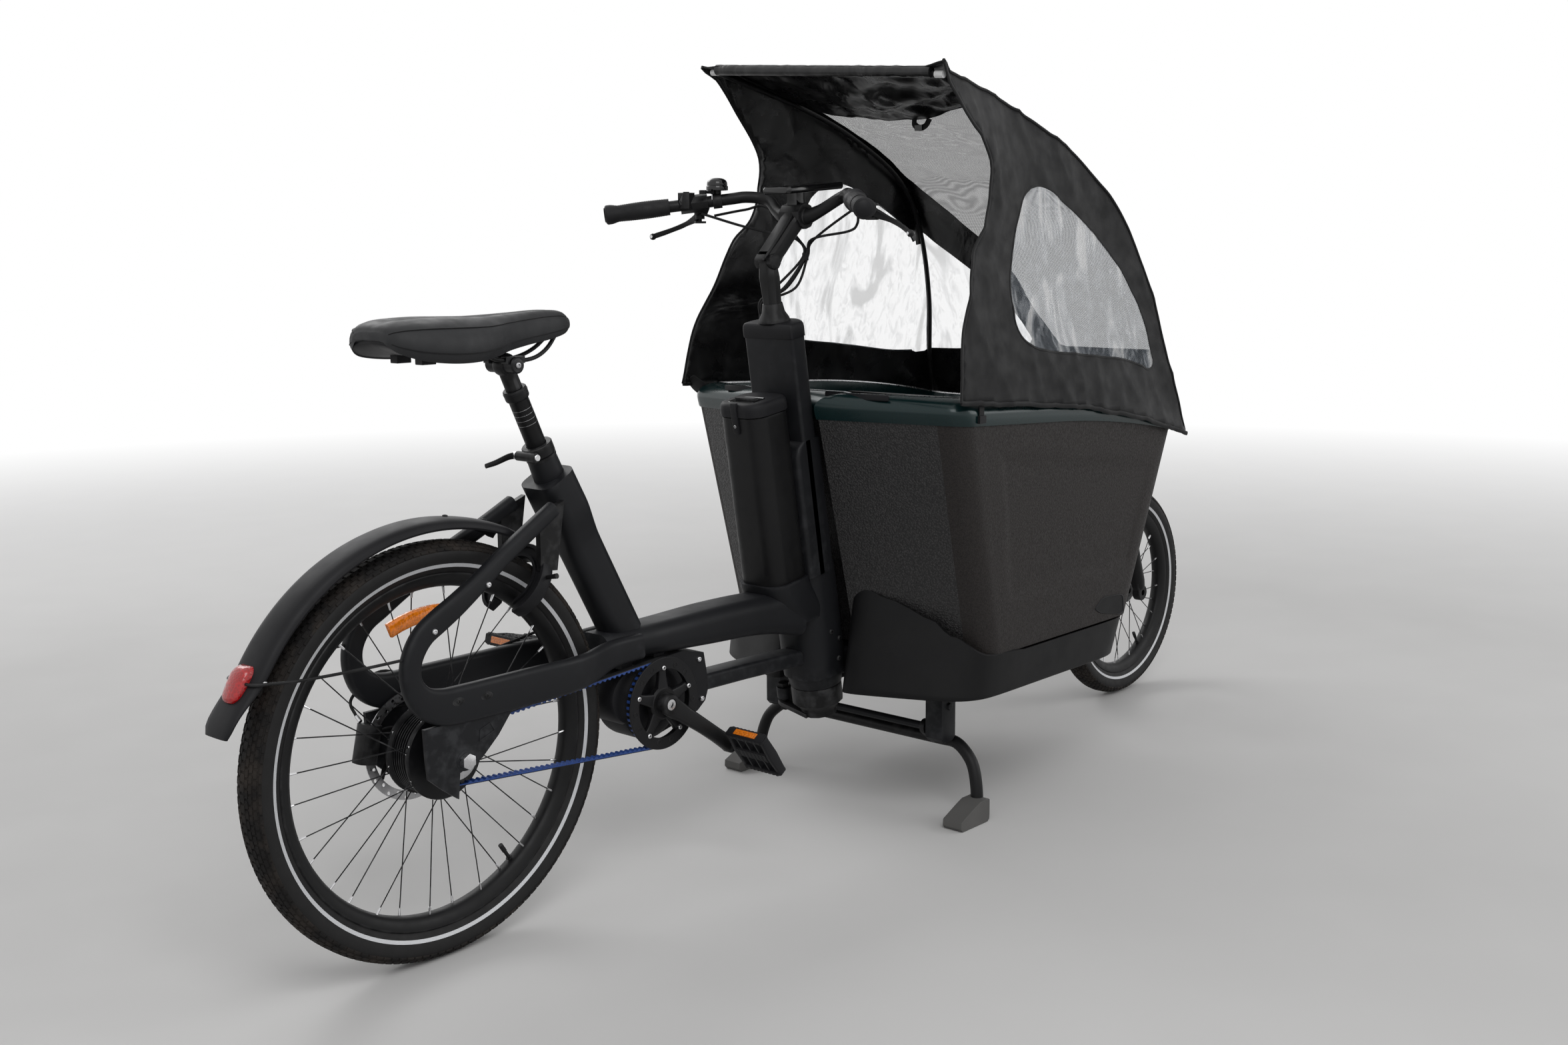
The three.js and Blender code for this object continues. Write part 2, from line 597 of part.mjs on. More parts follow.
function columnTower() {
  const bolts = [[0.2, 0.12], [0.34, 0.3], [-0.05, 0.4]];
  const side = -column.tubeRadius;
  const recesses = bolts.map(([x, z]) => placed(turned(
    disc(column.recessRadius, side - overrun, side + column.cheekWall),
    V(x * column.tubeRadius, 0, column.towerLow + z * (column.collarTop - column.towerLow)), AXIS_Y, 6),
      columnFrame));
  const bore = steererBore(fit, column.drumHigh - overrun, column.towerTop + overrun);
  return joined(tower(), cupRing(), strutSolid().subtract(motorHousing(gap))).subtract(
    joined(batteryWay(gap), recesses, bore));
}

function towerCap() {
  const low = column.towerTop + gap;
  const levels = [[low, column.capOver], [column.towerTop + column.capHeight * 0.7, column.capOver],
    [column.towerTop + column.capHeight, -column.capShrink]];
  const cap = placed(loft(levels.map(([up, grow]) => towerRing(
    up, column.wallY + grow, column.frontHalf + grow, column.rearDepth + grow, column.frontDepth + grow))),
      columnFrame);
  const port = placed(turned(disc(column.recessRadius, low - overrun, low + 2 * column.capHeight),
    V(column.portX, column.portY, 0), AXIS_Z, 8), columnFrame);
  return cap.subtract(joined(port, steererBore(fit, low - overrun, low + 2 * column.capHeight),
    batteryWay(gap)));
}

const beamStations = (grow = 0) => [
  [beam.rearX, beam.rearZ, beam.rearHalfHeight, beam.rearHalfWidth],
  [beam.midX, beam.midZ, beam.midHalfHeight, beam.midHalfWidth],
  [(beam.midX + 2 * beam.frontX) / 3, (beam.midZ + 2 * beam.frontZ) / 3, beam.midHalfHeight * 1.1,
    beam.midHalfWidth],
  [beam.frontX, beam.frontZ, beam.frontHalfHeight, beam.frontHalfWidth],
].map(([x, z, halfHeight, halfWidth]) => ({
  at: V(x, 0, z), u: AXIS_Y, v: AXIS_Z, halfU: halfWidth + grow, halfV: halfHeight + grow,
    corner: beam.corner,
}));

const beamSolid = (grow = 0) => loftAlong(beamStations(grow), 2);

const seatTubeSolid = (grow = 0) => {
  const [top, foot] = [V(seatTube.topX, 0, seatTube.topZ), V(seatTube.footX, 0, seatTube.footZ)];
  const along = foot.clone().sub(top);
  const across = V(-along.z, 0, along.x).normalize();
  return loftAlong([[0, 1, 1], [0.22, 1, 1], [0.42, 0, 0], [1, 0, 0.35]].map(([share, wide, deep]) => ({
    at: top.clone().addScaledVector(along, share), u: across, v: AXIS_Y, corner: seatTube.corner,
    halfU: seatTube.halfDepth + (seatTube.topHalfDepth - seatTube.halfDepth) * deep + grow,
    halfV: seatTube.halfWidth + (seatTube.topHalfWidth - seatTube.halfWidth) * wide + grow,
  })), 2);
};

// One side's rear loop: seat stay, round bend and chainstay in a single tube.
// Each station is [x share, z share, height share, inwards share], from the seat tube round to the main beam.
const stayShares = [
  [1, 1, 0.43, 1], [0.627, 0.704, 0.47, 0.5], [0.477, 0.571, 0.5, 0.25],
  [0.3, 0.424, 0.58, 0], [0.176, 0.32, 0.62, 0], [0.085, 0.236, 0.6, 0], [0.026, 0.123, 0.57, 0],
  [0, 0, 0.56, 0], [0.01, -0.133, 0.6, 0], [0.065, -0.256, 0.77, 0], [0.163, -0.33, 0.93, 0],
  [0.3, -0.35, 1, 0], [1.09, -0.34, 0.93, 0], [1.382, -0.3, 0.78, 1],
  [1.608, -0.286, 0.73, 1],
];

function stayLoop(grow = 0) {
  const stations = stayShares.map(([sx, sz, sh, inwards]) => ({
    x: stay.backX + sx * stay.span,
    z: stay.backZ + sz * stay.rise,
    height: sh * stay.height,
    y: stay.outerY - stay.thickness / 2 - inwards * stay.tuck,
  }));
  return loftAlong(stations.map((s, k) => {
    const before = stations[Math.max(k - 1, 0)];
    const after = stations[Math.min(k + 1, stations.length - 1)];
    const along = V(after.x - before.x, 0, after.z - before.z).normalize();
    return {
      at: V(s.x, -s.y, s.z), u: V(-along.z, 0, along.x), v: AXIS_Y, corner: stay.corner,
      halfU: s.height / 2 + grow, halfV: stay.thickness / 2 + grow,
    };
  }), 1);
}

// Dropout plate below each chainstay: outline as [x share, z share] of its length and height from the axle.
const dropoutShares = [
  [-0.74, 1], [-0.69, -0.26], [-0.15, -1], [-0.11, -0.3], [0.33, -0.05], [0.98, 1],
];
const dropoutTopShares = [[-0.74, 0.98], [0.98, 0.98], [0.9, 1.3], [-0.6, 1.3]];
const dropoutWindowShares = [[0.28, 0.42], [0.58, 0.6], [0.5, 0.84], [0.3, 0.72]];

function dropoutPlate(side) {
  const height = dropout.plateTopZ - rearAxle.z;
  const scaled = (shares) => shares.map(([sx, sz]) => [rearAxle.x + sx * dropout.span,
    rearAxle.z + sz * height]);
  const [low, high] = ascending(side * dropout.y, side * (dropout.y + dropout.thickness));
  const web = plate(scaled(dropoutShares), low, high);
  const tuck = plate(scaled(dropoutTopShares), low, high);
  const boss = turned(disc(dropout.bossRadius, low, high), V(rearAxle.x, 0, rearAxle.z), AXIS_Y, 10);
  const cuts = plate(scaled(dropoutWindowShares), low - overrun, high + overrun);
  const bore = turned(disc(boreOf(rearWheel.axleRadius, fit, hubSegments), low - overrun, high + overrun),
    V(rearAxle.x, 0, rearAxle.z), AXIS_Y, hubSegments);
  return joined(web, tuck, boss).subtract(joined(cuts, bore));
}

const rearSide = (side) => {
  const loop = side < 0 ? stayLoop() : mirrored(stayLoop());
  return joined(loop, dropoutPlate(side)).subtract(joined(seatTubeSolid(gap), beamSolid(gap)));
};

// A fixed axle through the hub, with a nut at each end outside the plates.
const nut = { radius: 13, thickness: 11 };
function axleWithNuts(axle, radius, plateOut) {
  const nutLow = plateOut + gap;
  const half = nutLow + nut.thickness;
  const at = V(axle.x, 0, axle.z);
  const nuts = [-1, 1].map((s) => turned(
    disc(nut.radius, ...ascending(s * nutLow, s * half)), at, AXIS_Y, 6));
  return joined(turned(disc(radius, -half, half), at, AXIS_Y, hubSegments), nuts);
}

// Mid-mounted motor: a round housing at the cranks, a drum behind it and an eared flange in front

const motor = {
  radius: 70, right: -40, left: 44, drumX: 398, drumZ: 343, drumRadius: 50, drumRight: -34, drumLeft: 56,
  earX: 574, earHighZ: 391, earLowZ: 293, earWidth: 36, lugLength: 26, lugRise: 30,
};

function motorHousing(grow = 0) {
  const centre = V(bottomBracket.x, 0, bottomBracket.z);
  const main = turned([
    [0, motor.right], [motor.radius * 0.8, motor.right], [motor.radius, motor.right * 0.7],
    [motor.radius, motor.left * 0.7], [motor.radius * 0.8, motor.left], [0, motor.left],
  ], centre, AXIS_Y, 16);
  const drumCentre = V(motor.drumX, 0, motor.drumZ);
  const drum = turned([
    [0, motor.drumRight], [motor.drumRadius * 0.85, motor.drumRight],
      [motor.drumRadius, motor.drumRight * 0.7],
    [motor.drumRadius, motor.drumLeft * 0.8], [motor.drumRadius * 0.85, motor.drumLeft], [0, motor.drumLeft],
  ], drumCentre, AXIS_Y, 12);
  const half = motor.earWidth / 2;
  const flange = plate([
    [bottomBracket.x, bottomBracket.z + motor.radius], [bottomBracket.x, bottomBracket.z - motor.radius],
    [motor.earX - half, motor.earLowZ - half / 2], [motor.earX + half / 2, motor.earLowZ + half],
    [motor.earX + half / 2, (motor.earLowZ + motor.earHighZ) / 2], [motor.earX, motor.earHighZ],
  ], motor.right * 0.8, motor.left * 0.8);
  const lugs = [motor.drumX, bottomBracket.x + motor.radius / 2].map((x) => block(
    V(x, 0, bottomBracket.z + motor.radius), motor.lugLength, motor.earWidth, 2 * motor.lugRise));
  const shaft = turned(disc(boreOf(drive.spindleRadius, fit, hubSegments), motor.right - overrun,
    motor.drumLeft + overrun), centre, AXIS_Y,
    hubSegments);
  const housing = joined(main, drum, flange, lugs);
  if (grow > 0) return joined(housing, flange.translate([grow, 0, 0]));
  return housing.subtract(joined(shaft, beamSolid(gap), seatTubeSolid(gap)));
}

function strutSolid() {
  return loftAlong([[strut.rearX, strut.rearZ], [strut.frontX, strut.frontZ]].map(([x, z]) => ({
    at: V(x, 0, z), u: AXIS_Y, v: AXIS_Z, halfU: strut.halfWidth, halfV: strut.halfHeight,
    corner: strut.halfHeight / 3,
  })), 2);
}

// Chassis tube under the box, up in front of it to the head tube

const chassis = {
  halfWidth: 32, halfHeight: 26, rearX: 958, frontX: 1635, z: 296, riseX: 1715, riseZ: 380, topX: 1838,
    topZ: 640,
  neckRadius: 21,
};
const fork = {
  lean: 20, offset: 45, crownUp: 352, crownHalf: 16, crownHalfWidth: 84, legY: 60, lowerRadius: 17,
    upperRadius: 13,
  lowerTop: 236, travel: 45, headAbove: 22, headLength: 150, headRadius: 24, steererRadius: 14,
    footHalf: 10, footUp: -22,
  armY: 80, armThickness: 8, armHalf: 13, armLow: 14, eyeY: 88, pinRadius: 5, pinLow: -48, crownDepth: 22,
};
const headLow = fork.crownUp + fork.headAbove;
const headHigh = headLow + fork.headLength;
const forkFrame = frameAt(frontAxle, radians(fork.lean));
const onFork = (forward, left, up) => V(forward, left, up).applyMatrix4(forkFrame);
const forkTurned = (profile, left, segments = hubSegments, forward = 0) => placed(
  turned(profile, V(forward, left, 0), AXIS_Z, segments), forkFrame);

function chassisSolid(grow = 0) {
  const points = [
    [chassis.rearX, chassis.z], [chassis.frontX, chassis.z], [chassis.riseX, chassis.riseZ],
      [chassis.topX, chassis.topZ],
  ];
  const stations = points.map(([x, z], k) => {
    const [bx, bz] = points[Math.max(k - 1, 0)];
    const [ax, az] = points[Math.min(k + 1, points.length - 1)];
    const along = V(ax - bx, 0, az - bz).normalize();
    return {
      at: V(x, 0, z), u: AXIS_Y, v: V(-along.z, 0, along.x), corner: chassis.halfHeight / 3,
      halfU: chassis.halfWidth + grow, halfV: chassis.halfHeight + grow,
    };
  });
  const end = onFork(-fork.offset, 0, (headLow + headHigh) / 2);
  const neck = bar(V(chassis.topX, 0, chassis.topZ), end, chassis.neckRadius + grow,
    chassis.neckRadius + grow, 8);
  const head = forkTurned(disc(fork.headRadius, headLow, headHigh), 0, 12, -fork.offset);
  return joined(loftAlong(stations, 1), neck, head);
}

function chassisBeam() {
  const bore = forkTurned(disc(boreOf(fork.steererRadius, fit, hubSegments), headLow - overrun,
    headHigh + overrun),
    0, hubSegments, -fork.offset);
  const cup = placed(turned(disc(column.tubeRadius + gap, column.drumLow, column.towerLow + overrun),
    V(0, 0, 0), AXIS_Z, 16),
    columnFrame);
  return chassisSolid().subtract(joined(bore, cup, tower(gap), boxBody(gap)));
}

// Fork: a crown with two stanchions, sprung lower legs and a drop arm for the steering rod

const legDisc = (radius, low, high, side) => forkTurned(disc(radius, low, high), side * fork.legY);

function forkUpper() {
  const crown = placed(loftAlong([-fork.legY - fork.upperRadius, fork.crownHalfWidth].map((y) => ({
    at: V(-fork.offset / 2, y, fork.crownUp), u: AXIS_X, v: AXIS_Z, halfU: fork.offset / 2 + fork.crownDepth,
    halfV: fork.crownHalf, corner: fork.crownHalf / 2,
  })), 2), forkFrame);
  const stanchions = [-1, 1].map((side) => legDisc(
    fork.upperRadius, fork.lowerTop - 2 * fork.travel, fork.crownUp + fork.crownHalf / 2, side));
  const steerer = forkTurned(disc(fork.steererRadius, fork.crownUp, headHigh + fork.crownHalf), 0,
    hubSegments, -fork.offset);
  const topNut = forkTurned(disc(fork.headRadius, headHigh + gap, headHigh + fork.crownHalf), 0,
    hubSegments, -fork.offset);
  const seat = forkTurned(disc(fork.headRadius, fork.crownUp, headLow - gap), 0, hubSegments, -fork.offset);
  const drop = placed(joined(
    block(V(-fork.offset, fork.armY + fork.armThickness / 2, (fork.crownUp + fork.armLow) / 2),
      2 * fork.armHalf, fork.armThickness, fork.crownUp - fork.armLow),
    block(V(-fork.offset, (fork.armY + fork.eyeY + fork.armHalf) / 2, fork.armLow),
      2 * fork.armHalf, fork.eyeY + fork.armHalf - fork.armY, fork.armThickness),
    turned(disc(fork.pinRadius, fork.pinLow, fork.armLow), V(-fork.offset, fork.eyeY, 0), AXIS_Z, 12),
  ), forkFrame);
  return joined(crown, stanchions, steerer, topNut, seat, drop);
}

function forkLower() {
  const half = (side) => {
    const leg = legDisc(fork.lowerRadius, nut.radius, fork.lowerTop, side);
    const [low, high] = ascending(side * (fork.legY - fork.footHalf), side * (fork.legY + fork.footHalf));
    const foot = placed(turned(disc(fork.lowerRadius * 1.15, low, high), V(0, 0, 0), AXIS_Y, hubSegments),
      forkFrame);
    return joined(leg, foot);
  };
  const arch = placed(tube([-1, -0.8, 0, 0.8, 1].map((s) => V(
    fork.lowerRadius * 1.38, s * fork.legY,
      fork.lowerTop + (Math.abs(s) === 1 ? -fork.travel : fork.lowerRadius * 2.3)
  )), fork.lowerRadius / 2, 7, 5), forkFrame);
  const tyreClear = turned(disc(frontWheel.outer + overrun, -frontWheel.tyreWidth / 2 - overrun,
    frontWheel.tyreWidth / 2 + overrun), frontAxle, AXIS_Y, wheelSegments);
  const bores = [-1, 1].map((side) => legDisc(boreOf(fork.upperRadius, fit, hubSegments),
    fork.lowerTop - 3 * fork.travel, fork.lowerTop + overrun, side));
  const axle = axleWithNuts(frontAxle, frontWheel.axleRadius, fork.legY + fork.footHalf - 2 * gap);
  return joined(joined(half(-1), half(1), arch.subtract(tyreClear)).subtract(joined(bores)), axle);
}

const caliperLug = { reach: 26, width: 22, height: 20 };

function frontCaliper() {
  const body = caliper(frontAxle, brake.frontY, brake.frontTurn);
  const turn = new THREE.Matrix4().makeRotationY(radians(brake.frontTurn)).setPosition(frontAxle.x, 0,
    frontAxle.z);
  const lug = placed(block(
    V(brake.caliperLength / 2, brake.frontY + brake.caliperWidth / 2, brake.rotorOuter),
    2 * caliperLug.reach, caliperLug.width, caliperLug.height), turn);
  const leg = legDisc(fork.lowerRadius + gap, fork.footUp, fork.lowerTop, 1);
  const slit = turned(disc(brake.rotorOuter + brake.slot, brake.frontY - brake.slot / 2,
    brake.frontY + brake.slot / 2),
    V(frontAxle.x, 0, frontAxle.z), AXIS_Y, 16);
  const outer = placed(block(V(0, fork.legY + fork.lowerRadius, brake.rotorOuter),
    4 * brake.caliperLength, fork.lowerRadius * 2, 4 * brake.rotorOuter), forkFrame);
  return joined(body, lug).subtract(joined(leg, slit, outer));
}

function rearCaliper() {
  const body = caliper(rearAxle, brake.rearY, brake.rearTurn);
  const turn = new THREE.Matrix4().makeRotationY(radians(brake.rearTurn)).setPosition(rearAxle.x, 0,
    rearAxle.z);
  const reach = brake.rotorOuter - brake.inset + brake.caliperHeight / 2;
  const lug = placed(block(V(0, (brake.rearY + brake.caliperWidth / 2 + dropout.y - gap) / 2, reach),
    caliperLug.reach, dropout.y - gap - brake.rearY - brake.caliperWidth / 2 + overrun, caliperLug.height),
      turn);
  return joined(body, lug).subtract(joined(mirrored(stayLoop(gap)), plate([
    [rearAxle.x - 2 * dropout.span, rearAxle.z - dropout.span],
      [rearAxle.x + dropout.span, rearAxle.z - dropout.span],
    [rearAxle.x + dropout.span, rearAxle.z + dropout.span],
      [rearAxle.x - 2 * dropout.span, rearAxle.z + dropout.span],
  ], dropout.y - gap, dropout.y + 2 * dropout.thickness)));
}

// Box: a moulded shell whose plan outline changes with height, notched at the back for the column

const box = {
  low: 336, floor: 24, wall: 28, taper: 10, padRearX: 1040, padFrontX: 1270, padHalf: 180, padRise: 2,
    rearX: 959, rearRise: -0.243, cornerX: 1052, cornerRise: -0.243, notchX: 988,
  notchRise: -0.214, notchHalf: 72, halfHigh: 340, frontX: 1600, frontRise: 0.404, bulge: 20,
  rearRadius: 45, frontRadius: 80, recess: 2.5, pocketDepth: 16,
};
const rim = {
  startX: 950, startZ: 786, slope: -0.05, bendX: 1250, bendRadius: 3333, seat: 14, over: 3, width: 40,
    height: 50,
};
const rimLow = (x) => rim.startZ + rim.slope * (x - rim.startX) - Math.max(0,
  x - rim.bendX) ** 2 / (2 * rim.bendRadius);

const boxHalfLow = box.halfHigh - box.taper;

// Plan outline of the box at height z, pushed inwards by inset, as [x, y] pairs.
function boxOutline(z, inset) {
  const up = z - box.low;
  const half = boxHalfLow + (box.taper * up) / (rim.startZ - box.low) - inset;
  const rearX = box.rearX + box.rearRise * up + inset;
  const notchX = box.notchX + box.notchRise * up + inset;
  const cornerX = box.cornerX + box.cornerRise * up + inset;
  const frontX = box.frontX + box.frontRise * up - inset;
  const [rearR, frontR] = [box.rearRadius, box.frontRadius].map((r) => Math.max(r - inset, r / 4));
  const notchY = box.notchHalf + inset;
  const slant = Math.atan2(cornerX - rearX, half - notchY);
  const outline = [[notchX, 0], [notchX, notchY * 0.7], [notchX - notchY * 0.2, notchY], [rearX, notchY]];
  const rearCentreX = cornerX + rearR * Math.tan(Math.PI / 4 - slant / 2);
  for (let i = 0; i <= 3; i += 1) {
    const angle = Math.PI - slant - (i / 3) * (Math.PI / 2 - slant);
    outline.push([rearCentreX + rearR * Math.cos(angle), half - rearR + rearR * Math.sin(angle)]);
  }
  for (const share of [0.33, 0.66]) {
    outline.push([rearCentreX + share * (frontX - frontR - rearCentreX), half]);
  }
  for (let i = 0; i <= 4; i += 1) {
    const angle = Math.PI / 2 - (i / 4) * (Math.PI / 2);
    outline.push([frontX - frontR + frontR * Math.cos(angle), half - frontR + frontR * Math.sin(angle)]);
  }
  for (const share of [0.5, 0]) {
    const y = share * (half - frontR);
    outline.push([frontX + box.bulge * (1 - (y / (half - frontR)) ** 2), y]);
  }
  const other = outline.slice(1, -1).reverse().map(([x, y]) => [x, -y]);
  return [...outline, ...other];
}

const flatRing = (z, inset) => boxOutline(z, inset).map(([x, y]) => V(x, y, z));

// A ring that follows the rim's edge, raised by lift.
function rimRing(inset, lift) {
  let ring = flatRing(rim.startZ, inset);
  for (let k = 0; k < 4; k += 1) {
    ring = ring.map((point, i) => {
      const z = rimLow(point.x) + lift;
      const [x, y] = boxOutline(z, inset)[i];
      return V(x, y, z);
    });
  }
  return ring;
}

// A closed solid through plan rings, with caps filled in plan so a notched outline stays clean.
function planLoft(rings) {
  const count = rings[0].length;
  const positions = rings.flat().flatMap((point) => point.toArray());
  const indices = [];
  for (let k = 0; k + 1 < rings.length; k += 1) {
    for (let i = 0; i < count; i += 1) {
      const j = (i + 1) % count;
      const [a, b, c, d] = [k * count + i, k * count + j, (k + 1) * count + j, (k + 1) * count + i];
      indices.push(a, b, c, a, c, d);
    }
  }
  const plan = (ring) => ring.map((p) => new THREE.Vector2(p.x, p.y));
  const turnsLeft = !THREE.ShapeUtils.isClockWise(plan(rings[0]));
  const cap = (ring, base, upwards) => THREE.ShapeUtils.triangulateShape(plan(ring),
    []).forEach(([a, b, c]) => {
    const flip = upwards === turnsLeft;
    indices.push(base + a, base + (flip ? b : c), base + (flip ? c : b));
  });
  cap(rings[0], 0, false);
  cap(rings.at(-1), (rings.length - 1) * count, true);
  return solidFrom(positions, indices);
}

// The filled body of the box, grown outwards; grow also lowers its floor and lifts its top.
const boxBody = (grow = 0) => planLoft([flatRing(box.low - grow, -grow), rimRing(-grow, rim.seat + grow)]);

// Recesses in the box's sides, as shares of its length and height.
const panelShares = [[0.172, 0.86], [1.044, 0.702], [0.924, 0.242], [0.232, 0.238]];
const pocketShares = [[0.725, 0.071], [0.772, 0.113], [0.892, 0.102], [0.903, 0.007], [0.761, 0.044]];

function sideRecess(shares, depth, side) {
  const tall = rim.startZ - box.low;
  const ring = (offset) => shares.map(([along, up]) => V(
    box.rearX + along * (box.frontX - box.rearX),
    side * (boxHalfLow + box.taper * up + offset), box.low + up * tall));
  return loft(side < 0 ? [ring(overrun), ring(-depth)] : [ring(-depth), ring(overrun)]);
}

function boxShell() {
  const inside = planLoft([flatRing(box.low + box.floor, box.wall), rimRing(box.wall, rim.height * 2)]);
  const pockets = [-1, 1].flatMap((side) => [
    sideRecess(panelShares, box.recess, side), sideRecess(pocketShares, box.pocketDepth, side)]);
  const pad = block(V((box.padRearX + box.padFrontX) / 2, 0, box.low + box.floor),
    box.padFrontX - box.padRearX,
    2 * box.padHalf, 2 * box.padRise);
  return joined(boxBody().subtract(joined(inside, pockets)), pad);
}

// The rim's section, as [inset, lift] pairs, is carried round the whole outline.
function boxRim() {
  const shelf = rim.seat + gap;
  const section = [
    [-gap, 0], [-rim.over, 0], [-rim.over * 1.2, 0.45 * rim.height], [rim.width * 0.3, 0.84 * rim.height],
    [rim.width * 0.8, rim.height], [rim.width, rim.height], [rim.width, shelf], [-gap, shelf],
  ];
  const rings = section.map(([inset, lift]) => rimRing(inset, lift));
  const count = rings[0].length;
  const positions = rings.flat().flatMap((point) => point.toArray());
  const indices = [];
  rings.forEach((ring, k) => ring.forEach((point, i) => {
    const [next, j] = [(k + 1) % rings.length, (i + 1) % count];
    const [a, b, c, d] = [k * count + i, k * count + j, next * count + j, next * count + i];
    indices.push(a, b, c, a, c, d);
  }));
  return solidFrom(positions, indices);
}

// Tray under the box: shallow sides, and a back wall that rises to a rounded crest round the column

const tray = {
  low: 256, wall: 4, sideTop: 333, rearX: 899, rearY: 110, midX: 957, midInset: 76, cornerX: 992,
    cornerInset: 24,
  sideX: 1040, sideY: boxHalfLow, frontX: 1545, frontRadius: 60, rearLean: 0.21, flare: 8, frontLean: 0.4,
    crest: 457,
  notchGap: 20,
};
const crestShares = [[0.33, 1], [0.7, 0.63], [0.85, 0.36], [1.03, 0]];

function trayRing(z, inset) {
  const up = z - tray.low;
  const rise = tray.crest - tray.low;
  const shift = tray.rearLean * up + inset;
  const half = tray.sideY + (tray.flare * up) / rise - inset;
  const front = tray.frontX + tray.frontLean * Math.min(up, tray.sideTop - tray.low) - inset;
  const right = [
    [tray.rearX + shift, tray.rearY - inset / 3], [tray.midX + shift, tray.sideY - tray.midInset - inset / 2],
    [tray.cornerX + shift * 0.8, tray.sideY - tray.cornerInset - inset * 0.7],
      [tray.sideX + shift * 0.3, half],
    [front - tray.frontRadius, half], [front - tray.frontRadius * 0.3, half - tray.frontRadius * 0.3],
      [front, half - tray.frontRadius],
  ];
  const left = right.slice().reverse().map(([x, y]) => [x, -y]);
  return [...right, ...left].map(([x, y]) => V(x, y, z));
}

function boxTray() {
  const outer = planLoft([trayRing(tray.low, 0), trayRing(tray.sideTop, 0), trayRing(tray.crest, 0)]);
  const inner = planLoft([
    trayRing(tray.low + tray.wall, tray.wall), trayRing(tray.sideTop, tray.wall),
      trayRing(tray.crest + overrun, tray.wall)]);
  const rise = tray.crest - tray.sideTop;
  const crestLine = crestShares.map(([y, z]) => [y * tray.sideY, tray.sideTop + z * rise]);
  const wide = 2 * tray.sideY;
  const high = tray.crest + rise;
  const crestShape = new THREE.Shape([
    [-wide, high], [-wide, tray.sideTop], ...crestLine.slice().reverse().map(([y, z]) => [-y, z]),
      ...crestLine,
    [wide, tray.sideTop], [wide, high],
  ].map(([y, z]) => new THREE.Vector2(y, z)));
  const above = new THREE.ExtrudeGeometry(crestShape, { depth: 2 * tray.frontX, bevelEnabled: false });
  above.rotateY(Math.PI / 2);
  above.rotateX(Math.PI / 2);
  const notch = block(V(column.footX - tray.sideY + column.tubeRadius / 2, 0,
    (tray.low + tray.crest) / 2 - gap),
    2 * tray.sideY, 2 * (column.tubeRadius + tray.notchGap), 2 * tray.crest);
  return outer.subtract(joined(inner, solid(above), notch, boxBody(gap), chassisSolid(gap)));
}

// Canopy: one cloth skin over two side bows, with a wrapped roof and open rear

const hemOver = 11;
const canopy = {
  rearX: 915, span: 853, low: 706, height: 744, hemY: box.halfHigh + hemOver, thickness: 3, poleRadius: 5,
    poleInset: 14,
  poleFootX: 1712, poleFootIn: 36, frontBulge: 38, roofCrown: 14, sideRows: 4, roofRows: 6, columns: 10,
};
// Places on the canopy as shares of its length, height and half width.
const ridgeShares = [
  [0.023, 1, 0.812], [0.298, 0.938, 0.698], [0.498, 0.859, 0.684], [0.686, 0.747, 0.698],
  [0.815, 0.597, 0.769], [0.897, 0.395, 0.84], [0.941, 0.194, 0.912], [0.974, 0.093, 0.943],
  [1, 0.005, 0.96],
];
const hemShares = [
  [0, 0.171], [0.24, 0.147], [0.496, 0.117], [0.756, 0.062], [0.986, 0],
];
const rearEdgeShares = [
  [0.023, 1, 0.812], [0.117, 0.895, 0.818], [0.202, 0.785, 0.821], [0.199, 0.691, 0.821],
  [0.172, 0.61, 0.826], [0.117, 0.543, 0.855], [0.074, 0.422, 0.912], [0.029, 0.328, 0.957],
  [0, 0.171, 1],
];
const onCanopy = ([along, up, left = 1]) => V(
  canopy.rearX + along * canopy.span, left * canopy.hemY, canopy.low + up * canopy.height);
const ridgePoints = ridgeShares.map(onCanopy);
const curveThrough = (points) => new THREE.CatmullRomCurve3(points, false, 'centripetal');
const ridgeCurve = curveThrough(ridgePoints);
const hemCurve = curveThrough(hemShares.map(onCanopy));
const rearEdgeCurve = curveThrough(rearEdgeShares.map(onCanopy));

// Side panel: blended between its ridge, hem, rear edge and short front edge.
function sidePanel(t, v) {
  const [ridge, hem, rear] = [ridgeCurve.getPoint(t), hemCurve.getPoint(t), rearEdgeCurve.getPoint(1 - v)];
  const front = ridgeCurve.getPoint(1).lerp(hemCurve.getPoint(1), 1 - v);
  const ruled = hem.clone().lerp(ridge, v);
  const across = rear.clone().lerp(front, t);
  const corners = hemCurve.getPoint(0).lerp(ridgeCurve.getPoint(0), v)
    .lerp(hemCurve.getPoint(1).lerp(ridgeCurve.getPoint(1), v), t);
  return ruled.add(across).sub(corners);
}

function roofPoint(t, s) {
  const ridge = ridgeCurve.getPoint(t);
  const crown = 1 - s * s;
  return V(ridge.x + crown * canopy.frontBulge * t ** 3, s * ridge.y,
    ridge.z + crown * canopy.roofCrown * (1 - t));
}

function canopySheet() {
  const grid = [];
  for (let i = 0; i <= canopy.columns; i += 1) {
    const t = i / canopy.columns;
    const side = Array.from({ length: canopy.sideRows }, (_, k) => sidePanel(t, k / canopy.sideRows));
    const roof = Array.from({ length: canopy.roofRows + 1 },
      (_, k) => roofPoint(t, 1 - (2 * k) / canopy.roofRows));
    const other = side.slice().reverse().map((p) => V(p.x, -p.y, p.z));
    grid.push([...side, ...roof, ...other]);
  }
  return sheetSolid(grid, canopy.thickness);
}

